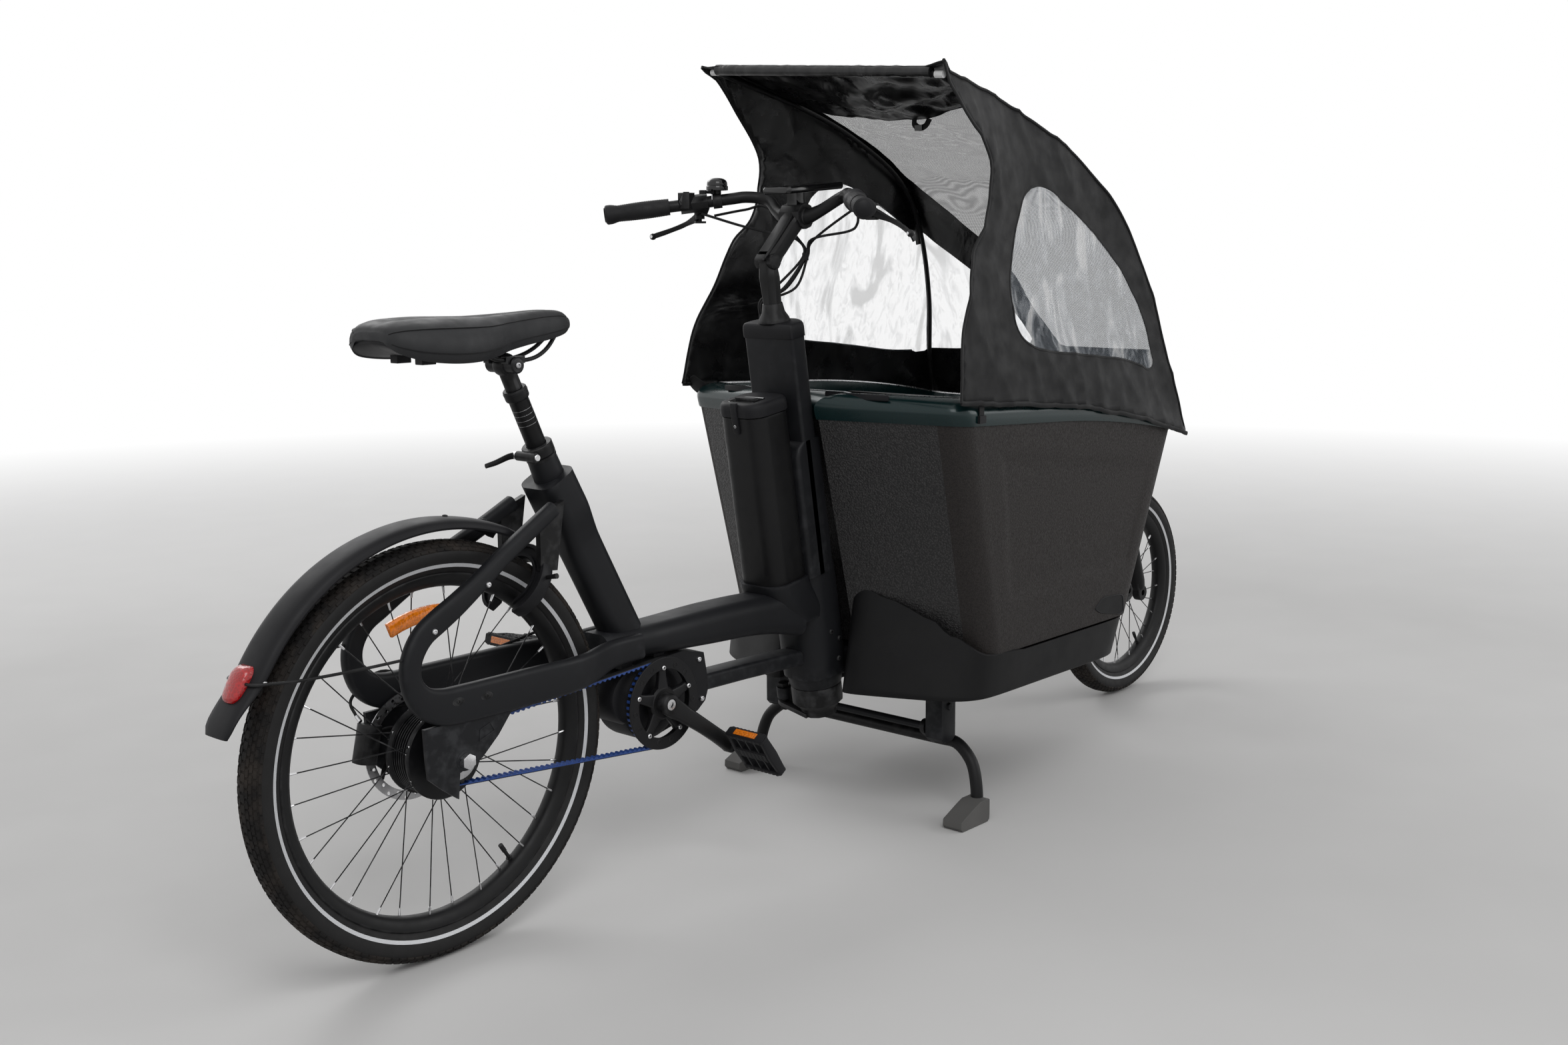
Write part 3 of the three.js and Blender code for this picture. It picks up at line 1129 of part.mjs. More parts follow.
// A closed skin of even thickness about a grid of points.
function sheetSolid(grid, thickness) {
  const [rows, count] = [grid.length, grid[0].length];
  const at = (i, k) => grid[Math.min(Math.max(i, 0), rows - 1)][Math.min(Math.max(k, 0), count - 1)];
  const normal = (i, k) => at(i + 1, k).clone().sub(at(i - 1, k)).cross(at(i,
    k + 1).clone().sub(at(i, k - 1))).normalize();
  const layer = (offset) => grid.flatMap((line, i) => line.flatMap(
    (p, k) => p.clone().addScaledVector(normal(i, k), offset).toArray()));
  const positions = [...layer(thickness / 2), ...layer(-thickness / 2)];
  const indices = [];
  const under = rows * count;
  const id = (i, k) => i * count + k;
  const quad = (a, b, c, d) => indices.push(a, b, c, a, c, d);
  for (let i = 0; i + 1 < rows; i += 1) {
    for (let k = 0; k + 1 < count; k += 1) {
      const [a, b, c, d] = [id(i, k), id(i, k + 1), id(i + 1, k + 1), id(i + 1, k)];
      quad(a, b, c, d);
      quad(under + d, under + c, under + b, under + a);
    }
    quad(id(i, 0), id(i + 1, 0), under + id(i + 1, 0), under + id(i, 0));
    quad(id(i + 1, count - 1), id(i, count - 1), under + id(i, count - 1), under + id(i + 1, count - 1));
  }
  for (let k = 0; k + 1 < count; k += 1) {
    quad(id(0, k + 1), id(0, k), under + id(0, k), under + id(0, k + 1));
    quad(id(rows - 1, k), id(rows - 1, k + 1), under + id(rows - 1, k + 1), under + id(rows - 1, k));
  }
  return solidFrom(positions, indices);
}

// Two bows stand on the rim and follow the ridges; a crossbar joins them at the back.
function canopyFrame() {
  const bow = (side) => {
    const points = ridgePoints.slice(0, -1).map((point, k) => {
      const before = ridgePoints[Math.max(k - 1, 0)];
      const along = ridgePoints[k + 1].clone().sub(before).setY(0).normalize();
      const inwards = V(along.z, 0, -along.x).multiplyScalar(canopy.poleInset);
      return V(point.x + inwards.x, side * (point.y - canopy.poleInset), point.z + inwards.z);
    });
    points[0].x += canopy.poleInset;
    const foot = V(canopy.poleFootX, side * (box.halfHigh - canopy.poleFootIn),
      rimLow(canopy.poleFootX) + rim.height / 2);
    return tube([...points, foot], canopy.poleRadius, 13, 4);
  };
  const end = ridgePoints[0].clone().add(V(canopy.poleInset, -canopy.poleInset, -canopy.poleInset));
  const barRadius = canopy.poleRadius * 1.4;
  const crossbar = bar(end, end.clone().setY(-end.y), barRadius, barRadius, 8);
  const rimBlock = planLoft([rimRing(-rim.over, -gap), rimRing(-rim.over * 1.2, 0.45 * rim.height + gap),
    rimRing(rim.width * 0.3 - gap, 0.84 * rim.height + gap), rimRing(rim.width * 0.8, rim.height + gap)]);
  return joined(bow(-1), bow(1), crossbar).subtract(rimBlock);
}

// Bench in the box: a seat board, a high back and two side walls on the floor

const bench = {
  seatX: 1322, seatLength: 240, seatZ: 478, thickness: 18, half: 215, backLean: 38, backTop: 800,
    legLength: 200,
};

function benchSolid() {
  const floor = box.low + box.floor + gap;
  const seat = plate([
    [bench.seatX, bench.seatZ], [bench.seatX + bench.seatLength, bench.seatZ],
    [bench.seatX + bench.seatLength, bench.seatZ + bench.thickness],
      [bench.seatX, bench.seatZ + bench.thickness],
  ], -bench.half, bench.half);
  const back = plate([
    [bench.seatX, floor], [bench.seatX + bench.thickness, floor],
      [bench.seatX + bench.thickness, bench.seatZ],
    [bench.seatX + bench.thickness - bench.backLean, bench.backTop],
      [bench.seatX - bench.backLean, bench.backTop],
    [bench.seatX, bench.seatZ],
  ], -bench.half, bench.half);
  const sides = [-1, 1].map((s) => {
    const [low, high] = ascending(s * (bench.half - bench.thickness), s * bench.half);
    return plate([
      [bench.seatX, floor], [bench.seatX + bench.legLength, floor],
        [bench.seatX + bench.seatLength, bench.seatZ + gap],
      [bench.seatX, bench.seatZ + gap],
    ], low, high);
  });
  return joined(seat, back, sides);
}

// Seat post and saddle

const post = {
  topX: 166, topZ: 930, footX: 235, footZ: 778, upperRadius: 14, lowerRadius: 16.5, collarShare: 0.34,
    collarRadius: 20,
  collarHeight: 14, inside: 70, railY: 22, railRadius: 3.5, railUp: 8, headRadius: 19, headLength: 34,
    clampHeight: 16,
  clampRadius: 26, clampShare: 0.86, leverLength: 62, leverThickness: 9, leverWidth: 12, boltRadius: 4,
};
const postTop = V(post.topX, 0, post.topZ);
const postAxis = V(post.footX - post.topX, 0, post.footZ - post.topZ).normalize();
const postLength = Math.hypot(post.footX - post.topX, post.footZ - post.topZ);
const postUp = postAxis.clone().negate();
const onPost = (down) => postTop.clone().addScaledVector(postAxis, down);
const collarDown = post.collarShare * postLength;
const boreDeep = postLength + 2 * post.inside;

const postBoreRadius = boreOf(post.lowerRadius, fit, hubSegments);
const postBore = () => bar(onPost(collarDown), onPost(boreDeep), postBoreRadius, postBoreRadius, hubSegments);

function seatTubePiece() {
  const boss = bar(onPost(postLength - post.clampHeight * 0.1), onPost(postLength + post.inside),
    seatTube.bossRadius, seatTube.bossRadius, 12);
  return joined(seatTubeSolid(), boss).subtract(joined(postBore(), beamSolid(gap)));
}

function seatPost() {
  const upper = bar(onPost(-post.headRadius / 2), onPost(collarDown), post.upperRadius, post.upperRadius, 10);
  const collar = bar(onPost(collarDown - post.collarHeight), onPost(collarDown + post.collarHeight / 2),
    post.collarRadius, post.collarRadius, 10);
  const lower = bar(onPost(collarDown), onPost(postLength + post.inside), post.lowerRadius,
    post.lowerRadius, hubSegments);
  const head = turned(disc(post.headRadius, -post.headLength, post.headLength), postTop, AXIS_Y, 10);
  const rails = [-1, 1].map((s) => tube([
    [-0.62, 0.8, 0.95], [-0.42, 0.65, 0.2], [-0.1, 0.5, 0], [0.3, 0.5, 0], [0.62, 0.35, 0.35],
      [0.9, 0.16, 1.1],
  ].map(([x, y, z]) => V(
    post.topX + x * saddle.railReach, (s * y * post.railY) / 0.5,
      post.topZ + post.railUp + z * saddle.railRise,
  )), post.railRadius, 7, 4));
  return joined(upper, collar, lower, head, rails).subtract(saddleSolid(gap));
}

// Saddle as photographed: wide wings behind, a long nose, sides that turn down.
// Each station is [length share, width share, top share, edge share].
const saddle = { railReach: 122, railRise: 42, underside: 16, back: 250, span: 378, half: 95, up: 15,
  height: 69 };
const saddleLengthShares = [
  [0, 0.463, 0.667, 0.42], [0.026, 0.695, 0.826, 0.246], [0.103, 0.926, 0.928, 0.087], [0.235, 1, 0.957, 0],
  [0.368, 0.958, 0.942, 0], [0.487, 0.8, 0.928, 0.072], [0.593, 0.568, 0.942, 0.159],
    [0.725, 0.389, 0.971, 0.246],
  [0.857, 0.305, 1, 0.333], [0.95, 0.242, 0.957, 0.435], [1, 0.137, 0.797, 0.565],
];
const saddleShares = [[-0.94, 0], [-1, 0.25], [-0.95, 0.62], [-0.74, 0.9], [-0.38, 1], [0, 0.99]];

function saddleSolid(grow = 0) {
  const rings = saddleLengthShares.map(([along, wide, topShare, lowShare], k) => {
    const [x, half] = [post.topX - saddle.back + along * saddle.span, wide * saddle.half];
    const [top, low] = [topShare, lowShare].map((share) => post.topZ + saddle.up + share * saddle.height);
    const upper = saddleShares.map(([y, z]) => [y * (half + grow), low - grow + z * (top - low + 2 * grow)]);
    const right = upper.slice(0, -1).reverse().map(([y, z]) => [-y, z]);
    const rise = Math.min(saddle.underside, (top - low) / 3);
    const under = [[0.6, rise], [0, rise], [-0.6, rise]].map(([y, z]) => [y * half, low + z - grow]);
    const end = { 0: -grow, [saddleLengthShares.length - 1]: grow }[k] ?? 0;
    return [...upper, ...right, ...under].map(([y, z]) => V(x + end, y, z));
  });
  return loft(rings);
}

// Quick-release clamp at the seat tube's mouth; its lever folds along the left side.
function seatClamp() {
  const [high, low] = [postLength * post.clampShare - post.clampHeight / 2,
    postLength - post.clampHeight * 0.1 - gap];
  const ring = bar(onPost(high), onPost(low), post.clampRadius, post.clampRadius, 10);
  const bore = bar(onPost(high - overrun), onPost(low + overrun), postBoreRadius, postBoreRadius,
    hubSegments);
  const middle = onPost((high + low) / 2).addScaledVector(V(-postAxis.z, 0, postAxis.x), -post.clampRadius);
  const ear = turned(disc(post.clampHeight / 2, -post.clampRadius, post.clampRadius), middle, AXIS_Y, 10);
  const lever = loftAlong([0, 0.25, 1].map((share) => ({
    at: middle.clone().add(V(-share * post.leverLength, post.clampRadius + post.leverThickness / 2 - gap,
      -share * post.leverWidth)),
    u: AXIS_Y, v: AXIS_Z, halfU: post.leverThickness / 2, halfV: (post.leverWidth / 2) * (1 - 0.3 * share),
      corner: post.leverThickness / 3,
  })), 1);
  return joined(ring, ear, lever).subtract(bore);
}

// Rear mudguard with its flap and wire stay, and the tail light on it

const fender = {
  outer: 370, skin: 4, half: 36, frontAngle: 64, rearAngle: 146, flapAngle: 164, flapFlare: 18, steps: 8,
    flapHalf: 34, skirt: 14,
  wireRadius: 2.5, wireZ: 512, wireX: -100, wireY: 73, lightLow: 485, lightHigh: 534, lightHalf: 20,
    lightDepth: 16,
};

function rearFender() {
  const span = fender.rearAngle - fender.frontAngle;
  const blade = Array.from({ length: fender.steps + 1 }, (_, k) => (
    [fender.frontAngle + (span * k) / fender.steps, 0, fender.half, fender.skirt]));
  const flap = [[0.62, 0], [1, 1]].map(([share, flare]) => (
    [fender.rearAngle + share * (fender.flapAngle - fender.rearAngle), flare, fender.flapHalf,
      fender.skirt / 3]));
  const skin = loft([...blade, ...flap].map(([degrees, flare, half, drop]) => {
    const angle = radians(degrees);
    const out = V(Math.cos(angle), 0, Math.sin(angle));
    const at = (radius, y) => rearAxle.clone().setY(y).addScaledVector(out,
      radius + flare * fender.flapFlare);
    const [high, low] = [fender.outer, fender.outer - fender.skin];
    return [
      at(high - drop, -half), at(high - drop / 5, -half * 0.8), at(high, -half * 0.2), at(high, half * 0.2),
      at(high - drop / 5, half * 0.8), at(high - drop, half), at(low - drop, half - fender.skin / 2),
      at(low - drop / 6, half * 0.7), at(low - drop / 6, -half * 0.7),
        at(low - drop, -half + fender.skin / 2),
    ];
  }));
  const backX = rearAxle.x - Math.sqrt(fender.outer ** 2 - (fender.wireZ - rearAxle.z) ** 2);
  const wire = tube([
    V(fender.wireX, -fender.wireY, fender.wireZ), V(fender.wireX * 1.8, -fender.wireY, fender.wireZ),
    V(backX + fender.half, -fender.half * 1.25, fender.wireZ),
      V(backX + fender.skin / 2, -fender.half * 0.6, fender.wireZ),
    V(backX + fender.skin / 2, fender.half * 0.6, fender.wireZ),
      V(backX + fender.half, fender.half * 1.25, fender.wireZ),
    V(fender.wireX * 1.8, fender.wireY, fender.wireZ), V(fender.wireX, fender.wireY, fender.wireZ),
  ], fender.wireRadius, 12, 4);
  return joined(skin, wire).subtract(joined(stayLoop(gap), mirrored(stayLoop(gap))));
}

function tailLight() {
  const [low, high] = [fender.lightLow, fender.lightHigh];
  const backX = (z) => rearAxle.x - Math.sqrt(fender.outer ** 2 - (z - rearAxle.z) ** 2);
  const ring = (z, shrink) => [[0, 1], [-1, 0.55], [-1, -0.55], [0, -1], [1, -1], [1, 1]].map(([x, y]) => V(
    backX(z) + x * (x < 0 ? fender.lightDepth * shrink : fender.skin), y * fender.lightHalf * shrink, z));
  const lamp = loft([ring(low, 0.7), ring(low + (high - low) * 0.2, 1), ring(high - (high - low) * 0.2, 1),
    ring(high, 0.7)]);
  const guard = turned(disc(fender.outer + gap, -fender.half, fender.half), V(rearAxle.x, 0, rearAxle.z),
    AXIS_Y, 96);
  const wireWay = block(V(backX(fender.wireZ), 0, fender.wireZ), 2 * (fender.wireRadius + gap + fender.skin),
    2 * fender.half, 2 * (fender.wireRadius + gap));
  return lamp.subtract(joined(guard, wireWay));
}

// Ring lock on the seat stays: a round case, and a bolt that slides round inside it

const ringLock = {
  reach: 300, angle: 54, inner: 40, outer: 66, half: 12, boltRadius: 4.5, boltRing: 53, slack: 1.5,
    openHalf: 31,
  tabLength: 22, mountInner: 42, mountOuter: 55,
  mountShares: [[0.1, 0.35], [0.62, 0.3], [0.9, 2], [0.1, 1.7]], boltFrom: 62, boltTo: 236, travel: 62,
    tabFrom: 165, tabHalf: 7,
};
const ringLockCentre = V(rearAxle.x, 0, rearAxle.z).addScaledVector(
  V(Math.cos(radians(ringLock.angle)), 0, Math.sin(radians(ringLock.angle))), ringLock.reach);
// The lock lies across the wheel: its plane holds the Y axis and the outward direction.
const ringLockFrame = new THREE.Matrix4().makeBasis(
  V(0, 1, 0),
  V(Math.cos(radians(ringLock.angle)), 0, Math.sin(radians(ringLock.angle))),
  V(0, 1, 0).cross(V(Math.cos(radians(ringLock.angle)), 0, Math.sin(radians(ringLock.angle)))),
).setPosition(ringLockCentre);

const arcOf = (ring, from, to, steps) => Array.from({ length: steps + 1 }, (_, i) => {
  const angle = radians(from + ((to - from) * i) / steps);
  return V(ring * Math.cos(angle), ring * Math.sin(angle), 0);
});

// Angles run in the lock's plane: 90 degrees points outwards from the wheel, the mouth is at 270.
function ringLockCase() {
  const sector = (inner, outer, from, to, half) => {
    const shape = new THREE.Shape([...arcOf(outer, from, to, 12), ...arcOf(inner, from, to, 12).reverse()]
      .map((p) => new THREE.Vector2(p.x, p.y)));
    const geometry = new THREE.ExtrudeGeometry(shape, { depth: 2 * half, bevelEnabled: false });
    geometry.translate(0, 0, -half);
    return solid(geometry);
  };
  const [from, to] = [-90 + ringLock.openHalf, 270 - ringLock.openHalf];
  const shellArc = sector(ringLock.inner, ringLock.outer, from, to, ringLock.half);
  const bare = ringLock.boltRadius + ringLock.slack;
  const channel = sector(ringLock.boltRing - bare, ringLock.boltRing + bare, from - 1, to + 1, bare);
  const tabSlot = sector(ringLock.boltRing, ringLock.outer + overrun, ringLock.tabFrom - ringLock.tabHalf,
    ringLock.tabFrom + ringLock.travel + ringLock.tabHalf, bare);
  const mounts = [-1, 1].map((s) => plate(ringLock.mountShares.map(([x, z]) => [
    ringLockCentre.x + x * ringLock.outer, ringLockCentre.z + z * ringLock.outer,
  ]), ...ascending(s * ringLock.mountInner, s * ringLock.mountOuter)));
  const slots = placed(joined(channel, tabSlot), ringLockFrame);
  return joined(placed(shellArc, ringLockFrame), mounts).subtract(
    joined(slots, stayLoop(gap), mirrored(stayLoop(gap)), seatTubeSolid(gap)));
}

function ringLockBolt() {
  const path = arcOf(ringLock.boltRing, ringLock.boltFrom, ringLock.boltTo, 24);
  const bolt = tube(path, ringLock.boltRadius, 14, 5);
  const angle = radians(ringLock.tabFrom);
  const out = V(Math.cos(angle), Math.sin(angle), 0);
  const tab = bar(out.clone().multiplyScalar(ringLock.boltRing),
    out.clone().multiplyScalar(ringLock.outer + ringLock.tabLength),
    ringLock.boltRadius * 0.9, ringLock.boltRadius * 0.9, 6);
  return placed(joined(bolt, tab), ringLockFrame);
}

// Two-legged stand that folds back under the tray, and the mount that carries it

const stand = {
  pivotX: 1051, pivotZ: 172, pivotRadius: 8, bracketLow: 150, bracketInner: 190, bracketOuter: 230,
    bracketBackX: 1030,
  bracketFrontX: 1075, barX: 1085, barZ: 142, barRadius: 12.5, kneeY: 235, footX: 1030, footLength: 96,
    footHeight: 46,
  footInner: 268, footOuter: 312, earY: 176, earThickness: 10, earHalf: 16,
};

function standMount() {
  const brackets = [-1, 1].map((s) => {
    const [low, high] = ascending(s * stand.bracketInner, s * stand.bracketOuter);
    const outer = plate([
      [stand.bracketBackX, tray.low - gap], [stand.bracketBackX, stand.bracketLow + stand.pivotRadius],
      [stand.bracketBackX + stand.pivotRadius, stand.bracketLow],
        [stand.bracketFrontX - stand.pivotRadius, stand.bracketLow],
      [stand.bracketFrontX, stand.bracketLow + stand.pivotRadius], [stand.bracketFrontX, tray.low - gap],
    ], low, high);
    const bolts = turned(disc(stand.pivotRadius, ...ascending(s * (stand.bracketOuter - overrun),
      s * (stand.bracketOuter + overrun))),
      V((stand.bracketBackX + stand.bracketFrontX) / 2, 0,
        (tray.low + stand.pivotZ) / 2 + stand.pivotRadius), AXIS_Y, 6);
    return joined(outer, bolts);
  });
  const pivot = turned(disc(stand.pivotRadius, -stand.bracketInner - overrun, stand.bracketInner + overrun),
    V(stand.pivotX, 0, stand.pivotZ), AXIS_Y, hubSegments);
  return joined(brackets, pivot);
}

function kickstand() {
  const pivot = V(stand.pivotX, 0, stand.pivotZ);
  const legs = [-1, 1].map((s) => {
    const leg = tube([
      V(stand.barX, 0, stand.barZ), V(stand.barX, s * (stand.kneeY - 3 * stand.barRadius), stand.barZ),
        V(stand.barX, s * stand.kneeY, stand.barZ),
      V(stand.barX - overrun, s * (stand.footInner - gap), (stand.barZ + stand.footHeight * 1.6) / 2),
      V(stand.barX - 3 * overrun, s * ((stand.footInner + stand.footOuter) / 2), stand.footHeight * 0.8),
    ], stand.barRadius, 6, 6);
    const [low, high] = ascending(s * stand.footInner, s * stand.footOuter);
    const half = stand.footLength / 2;
    const rise = stand.footHeight;
    const foot = plate([
      [stand.footX - half, rise * 0.15], [stand.footX - half * 0.9, 0], [stand.footX + half * 0.9, 0],
      [stand.footX + half, rise * 0.3], [stand.footX + half, rise], [stand.footX + half * 0.3, rise],
      [stand.footX - half, rise * 0.4],
    ], low, high);
    const ear = bar(V(stand.pivotX, s * stand.earY, stand.pivotZ), V(stand.barX, s * stand.earY, stand.barZ),
      stand.earHalf, stand.barRadius, 10);
    return joined(leg, foot, ear);
  });
  const bore = turned(disc(boreOf(stand.pivotRadius, fit, hubSegments), -stand.kneeY, stand.kneeY), pivot,
    AXIS_Y, hubSegments);
  const clear = turned(disc(stand.earHalf + 2 * gap, -stand.earY + stand.earThickness,
    stand.earY - stand.earThickness), pivot,
    AXIS_Y, hubSegments);
  const outer = [-1, 1].map((s) => turned(disc(stand.earHalf + stand.pivotRadius, ...ascending(
    s * (stand.bracketInner - gap), s * (stand.bracketOuter + overrun + gap))), pivot, AXIS_Y, hubSegments));
  return joined(legs).subtract(joined(bore, clear, outer));
}

// Steering: a steerer through the tower, a drum and an arm below it, and a rod to the fork

const steering = {
  armThickness: 9, armUp: 203, eyeY: 88, eyeRadius: 16, pinRadius: 6, pinTop: 246, eyeLow: 213,
    eyeHigh: 237, nutHeight: 9,
  rodRadius: 8, ringInner: 13, ringOuter: 21, ringHalf: 5, bow: 104,
};
const onSteering = (profile, left, segments = hubSegments) => placed(
  turned(profile, V(0, left, 0), AXIS_Z, segments), columnFrame);

function steererPiece() {
  const { drumLow, drumHigh, cupRadius, steererRadius } = column;
  const { armThickness, armUp, eyeY, eyeRadius, pinRadius, pinTop, nutHeight } = steering;
  const drum = onSteering([
    [0, drumLow], [cupRadius * 0.7, drumLow], [cupRadius * 0.8, drumLow + armThickness],
    [cupRadius, drumLow + 2 * armThickness], [cupRadius, drumHigh], [0, drumHigh],
  ], 0, 14);
  const shaft = onSteering(disc(steererRadius, drumHigh - overrun,
    column.towerTop + column.capHeight + column.flareHeight), 0);
  const [low, high] = [armUp - armThickness / 2, armUp + armThickness / 2];
  const arm = placed(loft([low, high].map((up) => [
    V(-cupRadius * 0.8, 0, up), V(cupRadius * 0.6, 0, up), V(eyeRadius, eyeY, up),
      V(eyeRadius * 0.4, eyeY + eyeRadius, up),
    V(-eyeRadius * 0.4, eyeY + eyeRadius, up), V(-eyeRadius, eyeY, up),
  ])), columnFrame);
  const pin = onSteering(disc(pinRadius, low, pinTop), eyeY);
  const nuts = [onSteering(disc(eyeRadius * 0.75, low - nutHeight, low + nutHeight / 2), eyeY, 6),
    onSteering(disc(eyeRadius * 0.75, steering.eyeHigh + gap, pinTop), eyeY, 6)];
  const hub = onSteering(disc(cupRadius * 0.7, low, drumLow + nutHeight), 0, 14);
  return joined(drum, shaft, hub, arm, pin, nuts);
}

// The rod keeps its heading: its rear eye turns on the arm's pin, its front ring floats round the fork's pin.
// It bows outwards behind the ring, because the tyre's back edge swings there; shares are back from the
// ring, and out.
const bowShares = [
  [3.6, 0], [2.8, 0], [2, 0], [1.2, 0], [1.05, 0.04], [0.99, 0.3], [0.97, 0.72], [0.9, 0.97], [0.8, 1],
    [0.68, 0.87],
  [0.34, 0.4], [0.06, 0.03],
];
function steeringRod() {
  const eye = onSteering(washer(boreOf(steering.pinRadius, fit, hubSegments), steering.eyeRadius,
    steering.eyeLow, steering.eyeHigh),
    steering.eyeY);
  const rearEnd = onColumn(0, steering.eyeY, (steering.eyeLow + steering.eyeHigh) / 2);
  const frontUp = (fork.pinLow + fork.armLow) / 2;
  const frontEnd = onFork(-fork.offset, fork.eyeY, frontUp);
  const route = bowShares.map(([back, out]) => {
    const share = 1 - (back * frontWheel.outer) / (frontEnd.x - rearEnd.x);
    return rearEnd.clone().lerp(frontEnd, share).add(V(0, out * steering.bow, 0));
  });
  const start = rearEnd.clone().add(V(steering.eyeRadius * 0.8, 0, 0));
  const rod = tube([start, ...route], steering.rodRadius, 17, 6);
  const ring = forkTurned(washer(steering.ringInner, steering.ringOuter, frontUp - steering.ringHalf,
    frontUp + steering.ringHalf), fork.eyeY, 12, -fork.offset);
  const pinWay = onSteering(disc(boreOf(steering.pinRadius, fit, hubSegments), column.drumLow,
    column.towerLow), steering.eyeY);
  const ringWay = forkTurned(disc(steering.ringInner, frontUp - 4 * steering.ringHalf,
    frontUp + 4 * steering.ringHalf),
    fork.eyeY, 12, -fork.offset);
  return joined(eye, rod.subtract(joined(pinWay, ringWay)), ring);
}

// Stem: a flared foot, an upright, and an arm with a quick-adjust plate

const stem = {
  pivotUp: 1098, pivotRadius: 15, pivotHalf: 20, neckHalf: 17, barX: 872, barZ: 1167, clampHalf: 24,
  clampRadius: 24, armHalf: 19, armDepth: 15, plateThickness: 7, plateHalf: 13, boreRadius: 16,
};
const stemPivot = onColumn(0, 0, stem.pivotUp);
const barMiddle = V(stem.barX, 0, stem.barZ);
const stemReach = barMiddle.clone().sub(stemPivot);
const stemAcross = V(-stemReach.z, 0, stemReach.x).normalize();
const onStem = (share, off = 0) => stemPivot.clone().addScaledVector(stemReach,
  share).addScaledVector(stemAcross, off);

function stemFoot() {
  const low = column.towerTop + column.capHeight + gap;
  const neck = low + column.flareHeight;
  const socketTop = column.towerTop + column.capHeight + column.flareHeight + gap;
  const flare = onSteering([
    [0, low], [column.flareRadius, low], [column.flareRadius * 0.94, low + column.flareHeight / 6],
    [column.flareRadius * 0.72, low + column.flareHeight / 2], [column.flareRadius * 0.62, neck], [0, neck],
  ], 0, 12);
  const upright = placed(loftAlong([
    [neck - overrun, 0.98, 0.98], [stem.pivotUp - 2 * stem.pivotRadius, 1, 1.15], [stem.pivotUp, 0.9, 1],
  ].map(([up, deep, wide]) => ({
    at: V(0, 0, up), u: AXIS_X, v: AXIS_Y, halfU: stem.neckHalf * deep, halfV: stem.neckHalf * wide,
    corner: stem.neckHalf * 0.6,
  })), 1), columnFrame);
  const eye = turned(disc(stem.pivotRadius, -stem.pivotHalf / 2, stem.pivotHalf / 2), stemPivot, AXIS_Y, 12);
  return joined(flare, upright, eye).subtract(joined(steererBore(gap, low - overrun, socketTop),
    stemArmSolid(gap)));
}

function stemArmSolid(grow = 0) {
  const arm = loftAlong([[0.02, 0.85], [0.3, 1], [0.75, 1], [1, 1.2]].map(([share, wide]) => ({
    at: onStem(share), u: AXIS_Y, v: stemAcross, halfU: stem.armHalf * wide + grow,
      halfV: stem.armDepth + grow,
    corner: stem.armDepth / 3,
  })), 1);
  const knuckle = turned(disc(stem.pivotRadius + grow, -stem.pivotHalf - grow, stem.pivotHalf + grow),
    stemPivot, AXIS_Y, 10);
  const clamp = turned(disc(stem.clampRadius + grow, -stem.clampHalf - grow, stem.clampHalf + grow),
    barMiddle, AXIS_Y, 10);
  const slot = turned(disc(stem.pivotRadius + stem.plateThickness, -stem.pivotHalf / 2 - gap + grow,
    stem.pivotHalf / 2 + gap - grow),
    stemPivot, AXIS_Y, 10);
  return joined(arm, knuckle, clamp).subtract(slot);
}

function stemArm() {
  const adjuster = loftAlong([[-0.12, 0.8], [0, 1], [0.8, 1], [0.92, 0.7]].map(([share, wide]) => ({
    at: onStem(share, stem.armDepth + stem.plateThickness / 3), u: AXIS_Y, v: stemAcross,
      halfU: stem.plateHalf * wide,
    halfV: stem.plateThickness / 2, corner: stem.plateThickness / 3,
  })), 1);
  const keep = turned(disc(stem.pivotRadius + stem.plateThickness, -stem.pivotHalf / 2 - gap,
    stem.pivotHalf / 2 + gap),
    stemPivot, AXIS_Y, 10);
  const bore = turned(disc(stem.boreRadius + gap, -2 * stem.clampHalf, 2 * stem.clampHalf), barMiddle, AXIS_Y,
    hubSegments);
  return joined(stemArmSolid(), adjuster.subtract(keep)).subtract(bore);
}

// Handlebar: rises beside the stem and sweeps back to the grips

const handlebar = {
  radius: 11.1, kneeForward: 20, kneeOut: 84, kneeUp: 29, shoulderForward: -4, shoulderOut: 128,
    shoulderUp: 38,
  endForward: -189, endOut: 314, endUp: 6,
};
const fromBar = (forward, left, up) => barMiddle.clone().add(V(forward, left, up));
const knee = (side) => fromBar(handlebar.kneeForward, side * handlebar.kneeOut, handlebar.kneeUp);
const shoulder = (side) => fromBar(
  handlebar.shoulderForward, side * handlebar.shoulderOut, handlebar.shoulderUp);
const barEnd = (side) => fromBar(handlebar.endForward, side * handlebar.endOut, handlebar.endUp);
const onGrip = (side, share) => shoulder(side).lerp(barEnd(side), share);
const gripLine = (side) => barEnd(side).sub(shoulder(side)).normalize();

function handlebarTube() {
  const half = (side) => tube([
    V(stem.barX, side * stem.clampHalf, stem.barZ), V(stem.barX, side * stem.clampHalf * 1.3, stem.barZ),
      knee(side), shoulder(side),
    onGrip(side, 0.2), onGrip(side, 0.6), barEnd(side),
  ], handlebar.radius, 11, 8);
  const middle = turned(disc(stem.boreRadius, -stem.clampHalf * 1.2, stem.clampHalf * 1.2), barMiddle,
    AXIS_Y, hubSegments);
  return joined(half(-1), half(1), middle);
}

